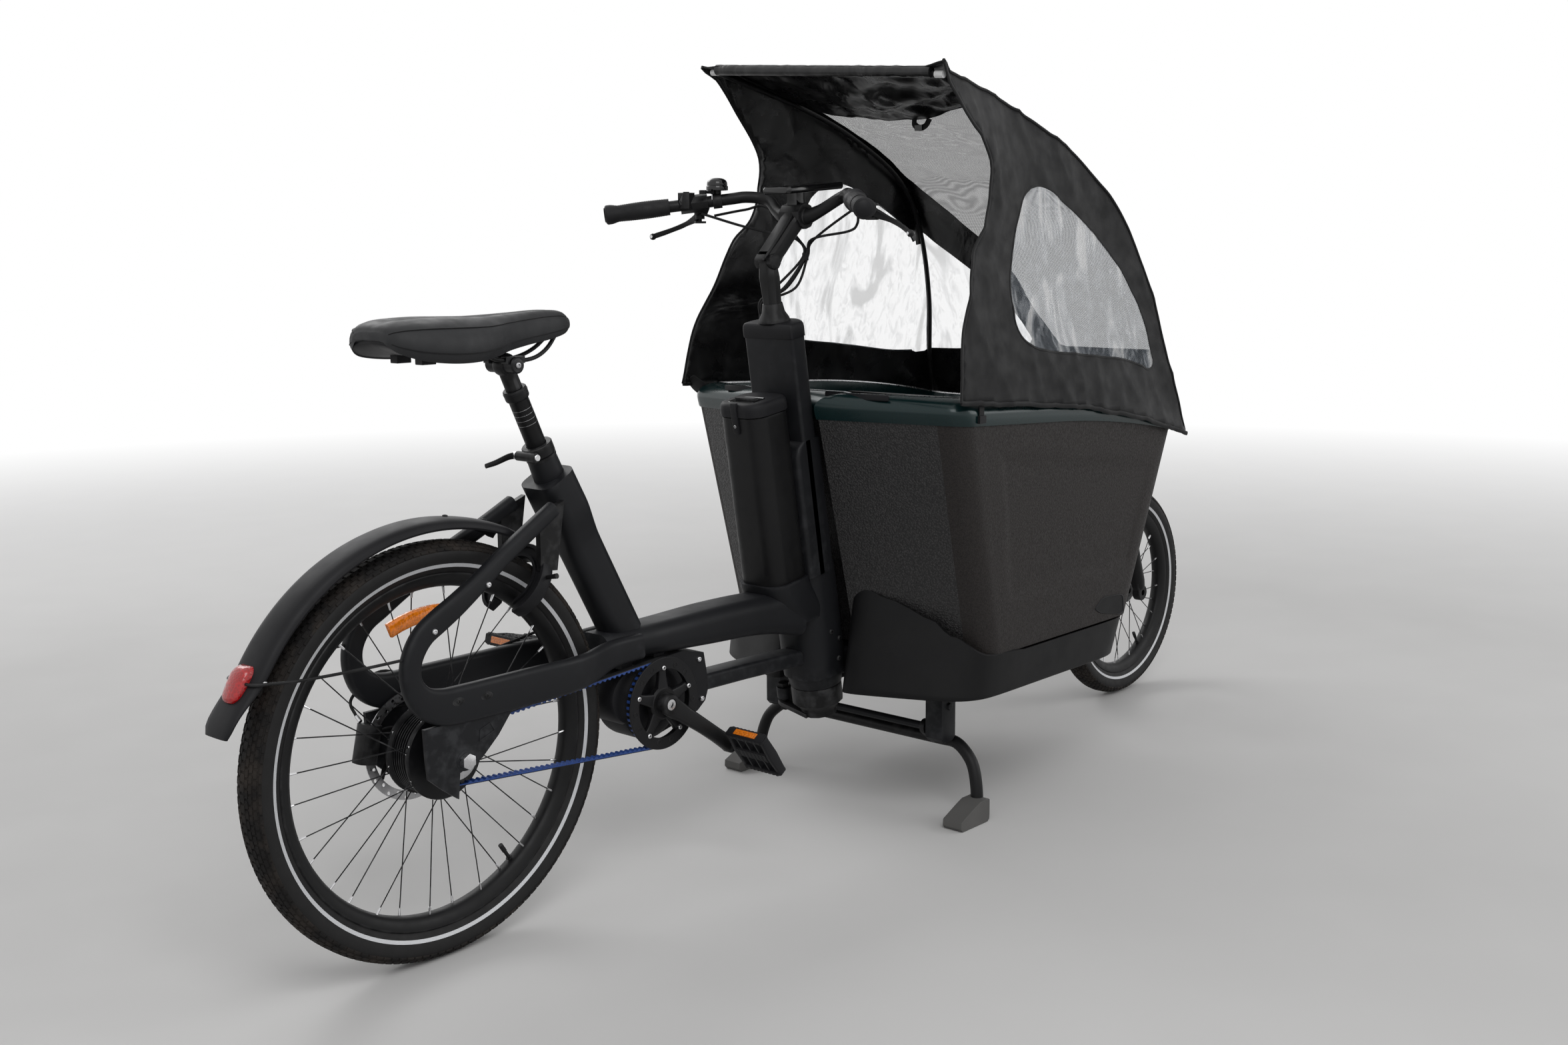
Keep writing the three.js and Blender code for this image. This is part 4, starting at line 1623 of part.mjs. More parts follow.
// Sleeves slide on the straight part of the bar; each is bored clear of it.
const grips = {
  leftFromShare: 0.55, rightFromShare: 0.76, twistFromShare: 0.44, twistToShare: 0.74, radius: 16,
    endRadius: 19, twistRadius: 20, endOver: 4,
  perchFromShare: 0.27, perchToShare: 0.35, remoteToShare: 0.47, perchRadius: 17, leverForward: -40,
    leverOut: 213, leverUp: 4,
  tipForward: -66, tipOut: 318, tipUp: -35, leverDepth: 9, leverWidth: 15, pivotRadius: 9, pivotHalf: 8,
    pinRadius: 3.6, remoteHalf: 15, buttonRadius: 6,
  buttonRise: 4, bellShare: 0.2, bellRadius: 21, bellHeight: 24, bellFoot: 8, strikerReach: 27,
    strikerRadius: 3.5,
};

function sleeve(side, from, to, profile, clearance, segments = 8) {
  const [a, b] = [onGrip(side, from), onGrip(side, to)];
  const length = a.distanceTo(b);
  const body = turned([[0, 0], ...profile.map(([along, radius]) => [radius, along * length]), [0, length]],
    a, gripLine(side), segments);
  const line = gripLine(side);
  const bore = bar(a.clone().addScaledVector(line, -overrun), b.clone().addScaledVector(line, overrun),
    boreOf(handlebar.radius, clearance, segments), boreOf(handlebar.radius, clearance, segments), segments);
  return body.subtract(bore);
}

const gripPiece = (side, from) => {
  const end = 1 + grips.endOver / shoulder(side).distanceTo(barEnd(side));
  const body = sleeve(side, from, end, [
    [0, grips.radius], [0.1, grips.radius], [0.35, grips.radius * 1.06], [0.7, grips.radius * 0.96],
      [0.9, grips.endRadius], [1, grips.endRadius],
  ], gap);
  const plug = bar(onGrip(side, 1).addScaledVector(gripLine(side), gap), onGrip(side, end),
    grips.radius * 0.9, grips.radius * 0.9, 8);
  return joined(body, plug);
};

const twistGrip = () => sleeve(-1, grips.twistFromShare, grips.twistToShare, [
  [0, grips.twistRadius], [0.3, grips.twistRadius], [0.4, grips.twistRadius * 0.88],
    [0.9, grips.twistRadius * 0.9], [1, grips.radius],
], fit, 10);

const leverPivot = (side) => fromBar(grips.leverForward, side * grips.leverOut, grips.leverUp);

function perch(side) {
  const to = side > 0 ? grips.remoteToShare : grips.perchToShare;
  const ring = sleeve(side, grips.perchFromShare, to, [[0, grips.perchRadius], [1, grips.perchRadius]], gap,
    8);
  const barBore = boreOf(handlebar.radius, gap, 8);
  const middle = onGrip(side, (grips.perchFromShare + grips.perchToShare) / 2);
  const toLever = leverPivot(side).sub(middle);
  const arm = loftAlong([[0.2, 1], [1, 0.7]].map(([share, wide]) => ({
    at: middle.clone().addScaledVector(toLever, share), u: gripLine(side), v: AXIS_Z,
      halfU: grips.leverWidth * wide,
    halfV: grips.pivotHalf + grips.pivotHalf * 0.5, corner: grips.pivotHalf / 2,
  })), 1);
  const upright = (share, radius) => {
    const reach = AXIS_Z.clone().multiplyScalar(grips.pivotHalf * share);
    return bar(leverPivot(side).sub(reach), leverPivot(side).add(reach), radius, radius, 8);
  };
  const cheeks = upright(1.8, grips.pivotRadius * 1.3);
  const pin = upright(1.6, grips.pinRadius);
  const slot = block(leverPivot(side), 4 * grips.pivotRadius, 4 * grips.pivotRadius, 2.6 * grips.pivotHalf);
  const bore = bar(onGrip(side, 0), onGrip(side, 0.9), barBore, barBore, 8);
  const parts = [ring, arm.subtract(bore), cheeks];
  if (side > 0) parts.push(remotePod().subtract(bore));
  return joined(joined(parts).subtract(slot), pin).subtract(buttonWay(fit, -1));
}

// The remote's pod sits on the clamp's grip side; its button slides in from above.
const remoteMiddle = () => onGrip(1, (grips.perchToShare + grips.remoteToShare) / 2);
function remotePod() {
  const middle = remoteMiddle();
  const pod = loftAlong([-grips.remoteHalf, grips.remoteHalf].map((z) => ({
    at: middle.clone().add(V(-grips.remoteHalf * 0.4, 0, z + handlebar.radius * 0.6)), u: AXIS_X, v: AXIS_Y,
      halfU: grips.remoteHalf,
    halfV: grips.remoteHalf, corner: grips.remoteHalf / 2,
  })), 1);
  return pod;
}
const buttonTop = () => remoteMiddle().z + grips.remoteHalf + handlebar.radius * 0.6;
function buttonWay(clearance, deep = 0) {
  const middle = remoteMiddle().add(V(-grips.remoteHalf * 0.4, 0, 0));
  const low = buttonTop() - grips.buttonRise - (deep < 0 ? grips.buttonRise : 0);
  return bar(middle.clone().setZ(low),
    middle.clone().setZ(buttonTop() + grips.buttonRise * (deep < 0 ? 2 : 0.5)),
    grips.buttonRadius + clearance, grips.buttonRadius + clearance, 8);
}

function brakeLever(side) {
  const pivot = leverPivot(side);
  const tip = fromBar(grips.tipForward, side * grips.tipOut, grips.tipUp);
  const bow = V(grips.leverWidth, 0, 0);
  const shares = [[0, 1, 0], [0.2, 0.9, 0.5], [0.5, 0.75, 0.9], [0.8, 0.7, 0.5], [1, 0.75, 0]];
  const blade = loftAlong(shares.map(([share, size, out]) => ({
    at: pivot.clone().lerp(tip, share).addScaledVector(bow, out), u: AXIS_X, v: AXIS_Z,
      halfU: (grips.leverDepth / 2) * size,
    halfV: (grips.leverWidth / 2) * size * (share === 0 ? 0.6 : 1), corner: grips.leverDepth / 4,
  })), 1);
  const knob = bar(tip.clone().add(V(0, -side * grips.leverDepth / 2, 0)),
    tip.clone().add(V(0, side * grips.leverDepth / 2, 0)),
    grips.leverDepth * 0.7, grips.leverDepth * 0.7, 8);
  const half = grips.pivotHalf * 0.8;
  const eye = bar(pivot.clone().setZ(pivot.z - half), pivot.clone().setZ(pivot.z + half), grips.pivotRadius,
    grips.pivotRadius, 10);
  const pinBore = boreOf(grips.pinRadius, fit, 8);
  const bore = bar(pivot.clone().setZ(pivot.z - 4 * half), pivot.clone().setZ(pivot.z + 4 * half), pinBore,
    pinBore, 8);
  return joined(blade, knob, eye).subtract(bore);
}

// Bell on the left shoulder: a domed cup on a clamp, with a sprung striker

const bellFoot = () => onGrip(1, grips.bellShare);
function bellCup() {
  const foot = bellFoot();
  const low = handlebar.radius + grips.bellFoot;
  const clamp = sleeve(1, grips.bellShare - 0.05, grips.bellShare + 0.05,
    [[0, grips.perchRadius * 0.86], [1, grips.perchRadius * 0.86]], 2 * gap);
  const barBore = boreOf(handlebar.radius, gap, 8);
  const neck = turned(disc(grips.bellFoot, handlebar.radius, low + grips.bellFoot), foot, AXIS_Z, 8).subtract(
    bar(onGrip(1, grips.bellShare / 2), onGrip(1, 2 * grips.bellShare), barBore * 1.16, barBore * 1.16, 8));
  const dome = turned([
    [0, low], [grips.bellRadius, low], [grips.bellRadius, low + grips.bellHeight * 0.3],
    [grips.bellRadius * 0.9, low + grips.bellHeight * 0.68],
      [grips.bellRadius * 0.5, low + grips.bellHeight * 0.93],
    [0, low + grips.bellHeight],
  ], foot, AXIS_Z, 10);
  const pivotWay = turned(disc(boreOf(grips.strikerRadius, fit, 8), 0, low + overrun),
    foot.clone().add(V(-grips.bellRadius * 0.6, 0, 0)), AXIS_Z, 8);
  return joined(clamp, neck, dome).subtract(pivotWay);
}

function bellStriker() {
  const foot = bellFoot();
  const at = foot.clone().add(V(-grips.bellRadius * 0.6, 0, 0));
  const low = handlebar.radius + grips.bellFoot - grips.strikerRadius * 2;
  const pin = turned(disc(grips.strikerRadius, low, handlebar.radius + grips.bellFoot + overrun - gap), at,
    AXIS_Z, 8);
  const end = at.clone().add(V(-grips.strikerReach, 0, low + grips.strikerRadius));
  const arm = bar(at.clone().add(V(0, 0, low + grips.strikerRadius)), end, grips.strikerRadius * 0.8,
    grips.strikerRadius * 0.8, 6);
  const pad = bar(end.clone().add(V(0, 0, -grips.strikerRadius)),
    end.clone().add(V(0, 0, grips.strikerRadius)), grips.strikerRadius * 2, grips.strikerRadius * 2, 8);
  return joined(pin, arm, pad);
}

// Display plate over the stem on a short bracket

const display = {
  back: 60, ahead: 100, rearUp: 39, frontUp: 52, half: 36, thickness: 13, corner: 6, legHalf: 13,
    legWidth: 24,
};

function displayPlate() {
  const stations = [[0, 0.82], [0.04, 0.96], [0.3, 1], [0.96, 1], [1, 0.86]];
  const body = loftAlong(stations.map(([share, wide]) => ({
    at: fromBar(share * (display.back + display.ahead) - display.back, 0,
      display.rearUp + share * (display.frontUp - display.rearUp) + display.thickness / 2),
    u: AXIS_Y, v: AXIS_Z, halfU: display.half * wide, halfV: (display.thickness / 2) * (wide > 0.9 ? 1 : 0.7),
    corner: display.corner / 2,
  })), 1);
  const leg = block(
    fromBar(0, 0, display.frontUp / 2), 2 * display.legHalf, display.legWidth, display.frontUp);
  return joined(body, leg).subtract(stemArmSolid(gap));
}

// Four control cables, gathered in one clip ahead of the stem, then down into the tower's cap

const cables = {
  radius: 2.5, clipForward: 25, clipUp: -75, clipRadius: 9, clipLength: 16, spread: 3, bootRadius: 6,
  bootHeight: 14, highForward: 46, highOut: 115, highUp: 18, lowForward: 31, lowOut: 100, lowUp: -29,
};

function controlCables() {
  const clipMiddle = fromBar(cables.clipForward, 0, cables.clipUp);
  const port = onColumn(column.portX, column.portY, column.towerTop + column.capHeight + gap);
  const lever = (side) => leverPivot(side).add(V(grips.leverWidth * 1.4, -side * grips.pivotRadius * 2, 0));
  const throttle = onGrip(-1, grips.twistFromShare).add(V(grips.twistRadius + 2 * gap, grips.pivotRadius,
    -grips.twistRadius));
  const remote = remoteMiddle().add(V(grips.remoteHalf, -grips.remoteHalf - 2 * cables.radius,
    -grips.remoteHalf - cables.radius));
  const runs = [[lever(-1), -1, 1], [throttle, -1, -1], [lever(1), 1, 1],
    [remote, 1, -1]].map(([start, side, high]) => {
    const own = V(high * cables.spread, side * cables.spread, 0);
    const way = high > 0 ? fromBar(cables.highForward, side * cables.highOut, cables.highUp)
      : fromBar(cables.lowForward, side * cables.lowOut, cables.lowUp);
    const clip = clipMiddle.clone().add(own);
    return tube([
      start, way, clip.clone().add(V(0, side * cables.clipLength, 2 * cables.clipLength)), clip,
      clip.clone().add(V(0, 0, -2 * cables.clipLength)),
        port.clone().add(own).add(V(0, 0, 2 * cables.clipLength)),
      port.clone().add(own).add(V(0, 0, cables.bootHeight / 2)),
    ], cables.radius, 7, 4);
  });
  const halfClip = AXIS_Z.clone().multiplyScalar(cables.clipLength / 2);
  const clip = bar(clipMiddle.clone().sub(halfClip), clipMiddle.clone().add(halfClip),
    cables.clipRadius, cables.clipRadius, 8);
  const boot = placed(turned(disc(cables.bootRadius, column.towerTop + column.capHeight + gap,
    column.towerTop + column.capHeight + cables.bootHeight), V(column.portX, column.portY, 0), AXIS_Z, 8),
      columnFrame);
  return joined(runs, clip, boot);
}

// Rear brake hose along the left side, from the main beam to the caliper

function rearHose() {
  const out = stay.outerY + cables.radius + 2 * gap;
  return tube([
    V(stay.backX + stay.span * 1.3, stay.outerY - stay.tuck, stay.backZ - stay.rise * 0.1),
    V(stay.backX + stay.span * 0.9, out, stay.backZ - stay.rise * 0.24),
      V(stay.backX + stay.span * 0.5, out, stay.backZ - stay.rise * 0.34),
    V(stay.backX + stay.span * 0.2, out, stay.backZ - stay.rise * 0.2),
      V(stay.backX + stay.span * 0.02, out + gap, stay.backZ - stay.rise * 0.36),
    V(stay.backX + cables.radius, out - stay.thickness * 0.6, stay.backZ - stay.rise * 0.48),
    V(stay.backX + cables.radius, brake.rearY + brake.caliperWidth / 4,
      rearAxle.z + brake.caliperLength / 2 + 1.2 * caliperLug.height),
  ], cables.radius, 13, 4);
}

// All pieces, added to one group and moved so that the middle of its length is at zero

add('chassis_beam', chassisBeam(), frameBlack);
add('main_beam', beamSolid().subtract(tower(gap)), frameBlack);
add('seat_tube', seatTubePiece(), frameBlack);
add('rear_side_right', rearSide(-1), frameBlack);
add('rear_side_left', rearSide(1), frameBlack);
add('column_tower', columnTower(), frameBlack);
add('tower_cap', towerCap(), satinBlack);
add('motor_housing', motorHousing(), satinBlack);
add('box_shell', boxShell(), foamGrey);
add('box_rim', boxRim(), rimTeal);
add('box_tray', boxTray(), satinBlack);
add('bench', benchSolid(), foamGrey);
add('rear_fender', rearFender(), satinBlack);
add('tail_light', tailLight(), lampRed);
add('ring_lock_case', ringLockCase(), satinBlack);
add('ring_lock_bolt', ringLockBolt(), steel);
add('drive_belt', belt(), beltBlue);
add('rear_axle', axleWithNuts(rearAxle, rearWheel.axleRadius, dropout.y + dropout.thickness), steel);
add('rear_caliper', rearCaliper(), alloyBlack);
add('stand_mount', standMount(), satinBlack);
add('canopy_sheet', canopySheet(), clothBlack);
add('canopy_frame', canopyFrame(), alloyBlack);
add('rear_brake_hose', rearHose(), rubberBlack);
add('steerer', steererPiece(), frameBlack);
add('steering_rod', steeringRod(), alloyBlack);
add('stem_foot', stemFoot(), satinBlack);
add('stem_arm', stemArm(), satinBlack);
add('handlebar', handlebarTube(), satinBlack);
add('grip_left', gripPiece(1, grips.leftFromShare), rubberBlack);
add('grip_right', gripPiece(-1, grips.rightFromShare), rubberBlack);
add('twist_grip', twistGrip(), rubberBlack);
add('lever_perch_right', perch(-1), alloyBlack);
add('brake_lever_right', brakeLever(-1), alloyBlack);
add('lever_perch_left', perch(1), alloyBlack);
add('brake_lever_left', brakeLever(1), alloyBlack);
add('remote_button', buttonWay(0), rubberBlack);
add('display', displayPlate(), glossBlack);
add('bell', bellCup(), glossBlack);
add('bell_striker', bellStriker(), satinBlack);
add('control_cables', controlCables(), rubberBlack);
add('fork_upper', forkUpper(), satinBlack);
add('fork_lower', forkLower(), satinBlack);
add('front_caliper', frontCaliper(), alloyBlack);
add('front_wheel', spokedWheel(frontWheel, frontAxle), alloyBlack);
add('front_tyre', tyre(frontWheel, frontAxle), rubberBlack);
add('front_rotor', rotor(frontWheel, frontAxle, brake.frontY), steel);
add('rear_wheel', spokedWheel(rearWheel, rearAxle), alloyBlack);
add('rear_tyre', tyre(rearWheel, rearAxle), rubberBlack);
add('rear_rotor', rotor(rearWheel, rearAxle, brake.rearY), steel);
add('rear_pulley', rearPulley(), alloyBlack);
add('front_pulley', frontPulley(), alloyBlack);
add('crank_right', rightCrank(), alloyBlack);
add('crank_left', leftCrank(), alloyBlack);
add('pedal_right', pedalAt(rightArm, -1, pedal.rightTilt), satinBlack);
add('pedal_left', pedalAt(leftArm, 1, pedal.leftTilt), satinBlack);
add('battery_pack', batteryPack(), satinBlack);
add('seat_post', seatPost(), alloyBlack);
add('saddle', saddleSolid(), rubberBlack);
add('seat_clamp', seatClamp(), alloyBlack);
add('kickstand', kickstand(), satinBlack);

const rearmost = (fender.outer + fender.flapFlare) * Math.cos(radians(fender.flapAngle));
bicycle.position.x = -(frontAxle.x + frontWheel.outer + rearmost) / 2;
bicycle.updateMatrixWorld(true);

export default bicycle;
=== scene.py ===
import math
import bmesh
import bpy
from mathutils import Matrix, Vector, bvhtree, geometry, kdtree, noise


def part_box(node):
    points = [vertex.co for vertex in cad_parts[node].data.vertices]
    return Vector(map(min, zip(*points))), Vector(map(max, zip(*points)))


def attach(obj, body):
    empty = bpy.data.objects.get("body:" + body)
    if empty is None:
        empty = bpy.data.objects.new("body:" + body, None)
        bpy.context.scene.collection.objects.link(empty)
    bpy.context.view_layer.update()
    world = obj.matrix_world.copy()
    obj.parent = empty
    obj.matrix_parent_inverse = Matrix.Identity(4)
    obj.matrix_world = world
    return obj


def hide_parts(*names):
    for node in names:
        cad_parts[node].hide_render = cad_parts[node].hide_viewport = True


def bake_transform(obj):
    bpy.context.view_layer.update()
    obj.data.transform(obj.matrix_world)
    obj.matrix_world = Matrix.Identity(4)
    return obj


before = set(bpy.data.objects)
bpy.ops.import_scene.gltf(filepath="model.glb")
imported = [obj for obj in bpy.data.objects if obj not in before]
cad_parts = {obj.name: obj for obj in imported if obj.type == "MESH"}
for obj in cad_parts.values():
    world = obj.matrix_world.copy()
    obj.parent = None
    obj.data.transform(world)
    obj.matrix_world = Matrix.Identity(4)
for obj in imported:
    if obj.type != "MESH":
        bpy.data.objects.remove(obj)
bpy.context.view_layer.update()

# Places are written in millimetres from the rear axle's foot, forwards, to the rider's left and up.

axle_low, axle_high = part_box("rear_axle")
REAR_X = (axle_low[0] + axle_high[0]) / 2


def at(x, y, z):
    return Vector((x / 1000 + REAR_X, y / 1000, z / 1000))


def mm(value):
    return value / 1000


WHEELBASE, COLUMN_X = 2085, 964
REAR_RADIUS, FRONT_RADIUS = 334.5, 258
FRONT_AXLE_Z = 261
CROWN = 370                             # the mudguard's radius about the rear axle
BRACKET_X, BRACKET_Z = 441, 329
RAIL_LENGTH, CRANK_LENGTH = 122, 165
BOX_LOW, BOX_FLOOR, RIM_Z, BOX_HALF = 336, 360, 786, 330
POST_X, POST_Z = 166, 930               # the seat post's top
STAND_X, STAND_Z = 1085, 142            # the stand's pivot
BELT_OUT, BELT_IN = -62, -50
BATTERY_BACK = -84
LOCK_REACH, LOCK_RING = 300, 53
TRAY_LOW, TRAY_TOP = 256, 333
REAR_AXLE = at(0, 0, REAR_RADIUS)
FRONT_AXLE = at(WHEELBASE, 0, FRONT_AXLE_Z)
COLUMN_FOOT = at(COLUMN_X, 0, 0)
LEAN = math.radians(9.1)
FORK_LEAN = math.radians(20)
AXIS_X, AXIS_Y, AXIS_Z = Vector((1, 0, 0)), Vector((0, 1, 0)), Vector((0, 0, 1))


def leaning(origin, angle):
    c, s = math.cos(angle), math.sin(angle)
    return Matrix(((c, 0, -s, origin.x), (0, 1, 0, origin.y), (s, 0, c, origin.z), (0, 0, 0, 1)))


COLUMN = leaning(COLUMN_FOOT, LEAN)
FORK = leaning(FRONT_AXLE, FORK_LEAN)


def on_column(forward, left, up):
    return COLUMN @ Vector((mm(forward), mm(left), mm(up)))


def on_fork(forward, left, up):
    return FORK @ Vector((mm(forward), mm(left), mm(up)))


def spoke(angle):
    """A unit vector across the wheels' axles; angles go up from forwards."""
    return Vector((math.cos(angle), 0, math.sin(angle)))


def turns(count, offset=0):
    """Angles in even steps round a circle, offset by a share of a step."""
    return [2 * math.pi * (i + offset) / count for i in range(count)]


def step(x, y, z):
    """An offset given in mm."""
    return Vector((mm(x), mm(y), mm(z)))


def polar(radius, angle, y=0.0):
    """A place round the Y axis, in metres from radius and y in mm."""
    return Vector((mm(radius) * math.cos(angle), mm(y), mm(radius) * math.sin(angle)))


def in_scene(name, data):
    """A new object in the scene."""
    obj = bpy.data.objects.new(name, data)
    bpy.context.scene.collection.objects.link(obj)
    return obj


COLUMN_FORWARD, COLUMN_UP = (COLUMN.to_3x3() @ axis for axis in (AXIS_X, AXIS_Z))
FORK_UP = FORK.to_3x3() @ AXIS_Z

# Camera of the photograph, solved from the wheels, axles and box

yaw, pitch, roll = math.radians(48.400), math.radians(9.383), math.radians(-0.426)
ahead = Vector((math.sin(yaw) * math.cos(pitch), math.cos(yaw) * math.cos(pitch), -math.sin(pitch)))
right = Vector((math.cos(yaw), -math.sin(yaw), 0))
above = right.cross(ahead)
camera_right = right * math.cos(roll) + above * math.sin(roll)
camera_up = above * math.cos(roll) - right * math.sin(roll)
camera_data = bpy.data.cameras.new("camera")
camera_data.sensor_width = 36
camera_data.lens = 38.40
camera_data.clip_end = 100
camera = in_scene("camera", camera_data)
camera.matrix_world = Matrix((
    (camera_right.x, camera_up.x, -ahead.x, 0), (camera_right.y, camera_up.y, -ahead.y, 0),
    (camera_right.z, camera_up.z, -ahead.z, 0), (0, 0, 0, 1)))
camera.location = at(-1527.1, -2093.2, 1111.7)
bpy.context.scene.camera = camera

# Materials


class Look:
    """A node material under construction: a shader, object coordinates and helpers that join nodes."""

    def __init__(self, name, colour, rough, metal=0.0, specular=0.3):
        self.material = bpy.data.materials.new(name)
        self.material.use_nodes = True
        self.tree = self.material.node_tree
        self.shader = self.tree.nodes["Principled BSDF"]
        self.colour = colour
        self.rough = rough
        self.shader.inputs["Base Color"].default_value = (*colour, 1)
        self.shader.inputs["Roughness"].default_value = rough
        self.shader.inputs["Metallic"].default_value = metal
        self.shader.inputs["Specular IOR Level"].default_value = specular
        self.coords = self.node("ShaderNodeTexCoord").outputs["Object"]
        self.normal = None

    def node(self, kind, **settings):
        node = self.tree.nodes.new(kind)
        for key, value in settings.items():
            setattr(node, key, value)
        return node

    def link(self, out, socket):
        self.tree.links.new(out, socket)

    def stretched(self, scale):
        mapping = self.node("ShaderNodeMapping")
        mapping.inputs["Scale"].default_value = scale
        self.link(self.coords, mapping.inputs["Vector"])
        return mapping.outputs["Vector"]

    def noise(self, scale, detail=3.0, stretch=None, distortion=0.0):
        texture = self.node("ShaderNodeTexNoise")
        texture.inputs["Scale"].default_value = scale
        texture.inputs["Detail"].default_value = detail
        texture.inputs["Distortion"].default_value = distortion
        self.link(self.stretched(stretch) if stretch else self.coords, texture.inputs["Vector"])
        return texture.outputs["Fac"]

    def cells(self, scale, feature="F1", stretch=None):
        texture = self.node("ShaderNodeTexVoronoi", feature=feature)
        texture.inputs["Scale"].default_value = scale
        self.link(self.stretched(stretch) if stretch else self.coords, texture.inputs["Vector"])
        return texture.outputs["Distance"]

    def waves(self, scale, direction="X", distortion=0.0, profile="SIN"):
        texture = self.node("ShaderNodeTexWave", bands_direction=direction, wave_profile=profile)
        texture.inputs["Scale"].default_value = scale
        texture.inputs["Distortion"].default_value = distortion
        self.link(self.coords, texture.inputs["Vector"])
        return texture.outputs["Fac"]

    def ranged(self, out, low, high, to_low, to_high):
        node = self.node("ShaderNodeMapRange")
        for key, value in {"From Min": low, "From Max": high, "To Min": to_low, "To Max": to_high}.items():
            node.inputs[key].default_value = value
        self.link(out, node.inputs["Value"])
        return node.outputs["Result"]

    def combined(self, operation, a, b):
        node = self.node("ShaderNodeMath", operation=operation)
        for socket, value in zip(node.inputs, (a, b)):
            if isinstance(value, (int, float)):
                socket.default_value = value
            else:
                self.link(value, socket)
        return node.outputs[0]

    def mixed(self, factor, a, b):
        """A colour between a and b, each a colour or an output."""
        node = self.node("ShaderNodeMix", data_type="RGBA")
        self.link(factor, node.inputs["Factor"])
        for socket, value in ((node.inputs[6], a), (node.inputs[7], b)):
            if isinstance(value, (tuple, list)):
                socket.default_value = (*value, 1)
            else:
                self.link(value, socket)
        return node.outputs[2]

    def shade(self, out):
        self.link(out, self.shader.inputs["Base Color"])
        return self

    def vary(self, out, amount):
        """Colour between darker and lighter by a share of itself, after out from 0 to 1."""
        dark = tuple(c * (1 - amount) for c in self.colour)
        light = tuple(c * (1 + amount) for c in self.colour)
        return self.shade(self.mixed(out, dark, light))

    def gloss(self, out, low, high):
        self.link(self.ranged(out, 0.3, 0.7, low, high), self.shader.inputs["Roughness"])
        return self

    def bump(self, out, depth, strength=1.0):
        node = self.node("ShaderNodeBump")
        node.inputs["Strength"].default_value = strength
        node.inputs["Distance"].default_value = mm(depth)
        self.link(out, node.inputs["Height"])
        if self.normal:
            self.link(self.normal, node.inputs["Normal"])
        self.normal = node.outputs["Normal"]
        self.link(self.normal, self.shader.inputs["Normal"])
        return self

    def worn_edges(self, colour, sharp=0.52, soft=0.6):
        """Rubbed colour along edges, broken up by noise."""
        point = self.node("ShaderNodeNewGeometry").outputs["Pointiness"]
        edge = self.ranged(point, sharp, soft, 0, 1)
        patches = self.ranged(self.noise(45), 0.45, 0.65, 0, 1)
        base = self.shader.inputs["Base Color"]
        under = base.links[0].from_socket if base.links else self.colour
        return self.shade(self.mixed(self.combined("MULTIPLY", edge, patches), under, colour))


def powder_coat():
    look = Look("frame powder coat", (0.0088, 0.0092, 0.0108), 0.5, specular=0.2)
    look.vary(look.noise(9), 0.22).gloss(look.noise(16, 4), 0.42, 0.56)
    return look.bump(look.noise(900, 1), 0.05, 0.35).worn_edges((0.03, 0.031, 0.034)).material


def anodised(name="black fittings", colour=(0.0085, 0.0085, 0.0095), rough=0.36):
    look = Look(name, colour, rough, specular=0.2)
    look.vary(look.noise(30), 0.25).gloss(look.noise(45, 4), rough - 0.06, rough + 0.1)
    return look.bump(look.noise(1500, 1), 0.03, 0.3).worn_edges((0.06, 0.06, 0.062), 0.53, 0.62).material


def moulded(name="moulded plastic", colour=(0.0105, 0.0105, 0.012), rough=0.5, grain=520.0):
    look = Look(name, colour, rough, specular=0.18)
    look.vary(look.noise(12), 0.2).gloss(look.noise(20, 4), rough - 0.06, rough + 0.08)
    return look.bump(look.cells(grain), 0.12, 0.35).bump(look.noise(25), 0.4, 0.08).material


def foam():
    look = Look("moulded foam", (0.022, 0.0185, 0.0175), 0.62, specular=0.26)
    speck = look.ranged(look.cells(430), 0.0, 0.75, 1, 0)
    look.shade(look.mixed(look.combined("MULTIPLY", speck, look.noise(180)), (0.014, 0.012, 0.0115),
                          (0.046, 0.040, 0.038)))
    look.gloss(look.noise(240, 2), 0.5, 0.75)
    return look.bump(look.cells(430), 0.5, 0.7).bump(look.noise(120, 4), 0.35, 0.45).material


def foam_facet():
    look = Look("pebbled foam", (0.024, 0.0235, 0.024), 0.46, specular=0.42)
    speck = look.ranged(look.cells(300), 0.05, 0.6, 1, 0)
    look.shade(look.mixed(look.combined("MULTIPLY", speck, look.noise(90)), (0.012, 0.0115, 0.012),
                          (0.075, 0.072, 0.072)))
    look.gloss(look.noise(200, 2), 0.34, 0.62)
    return look.bump(look.cells(300), 0.9, 0.9).bump(look.noise(110, 4), 0.5, 0.5).material


def teal_metallic():
    look = Look("rim metallic", (0.0020, 0.017, 0.018), 0.28, metal=0.2, specular=0.3)
    flakes = look.ranged(look.cells(1400), 0.0, 0.5, 1, 0)
    look.shade(look.mixed(look.combined("MULTIPLY", flakes, look.noise(600)), (0.0014, 0.0125, 0.0135),
                          (0.006, 0.050, 0.050)))
    look.shader.inputs["Coat Weight"].default_value = 0.22
    look.shader.inputs["Coat Roughness"].default_value = 0.12
    return look.gloss(look.noise(14, 4), 0.22, 0.32).bump(look.noise(60), 0.1, 0.12).material


def rubber(name="rubber", colour=(0.0095, 0.0095, 0.0102), rough=0.66, grain=700.0, depth=0.15):
    look = Look(name, colour, rough, specular=0.25)
    look.vary(look.noise(24), 0.3).gloss(look.noise(60, 4), rough - 0.08, rough + 0.1)
    return look.bump(look.noise(grain, 2), depth, 0.5).material


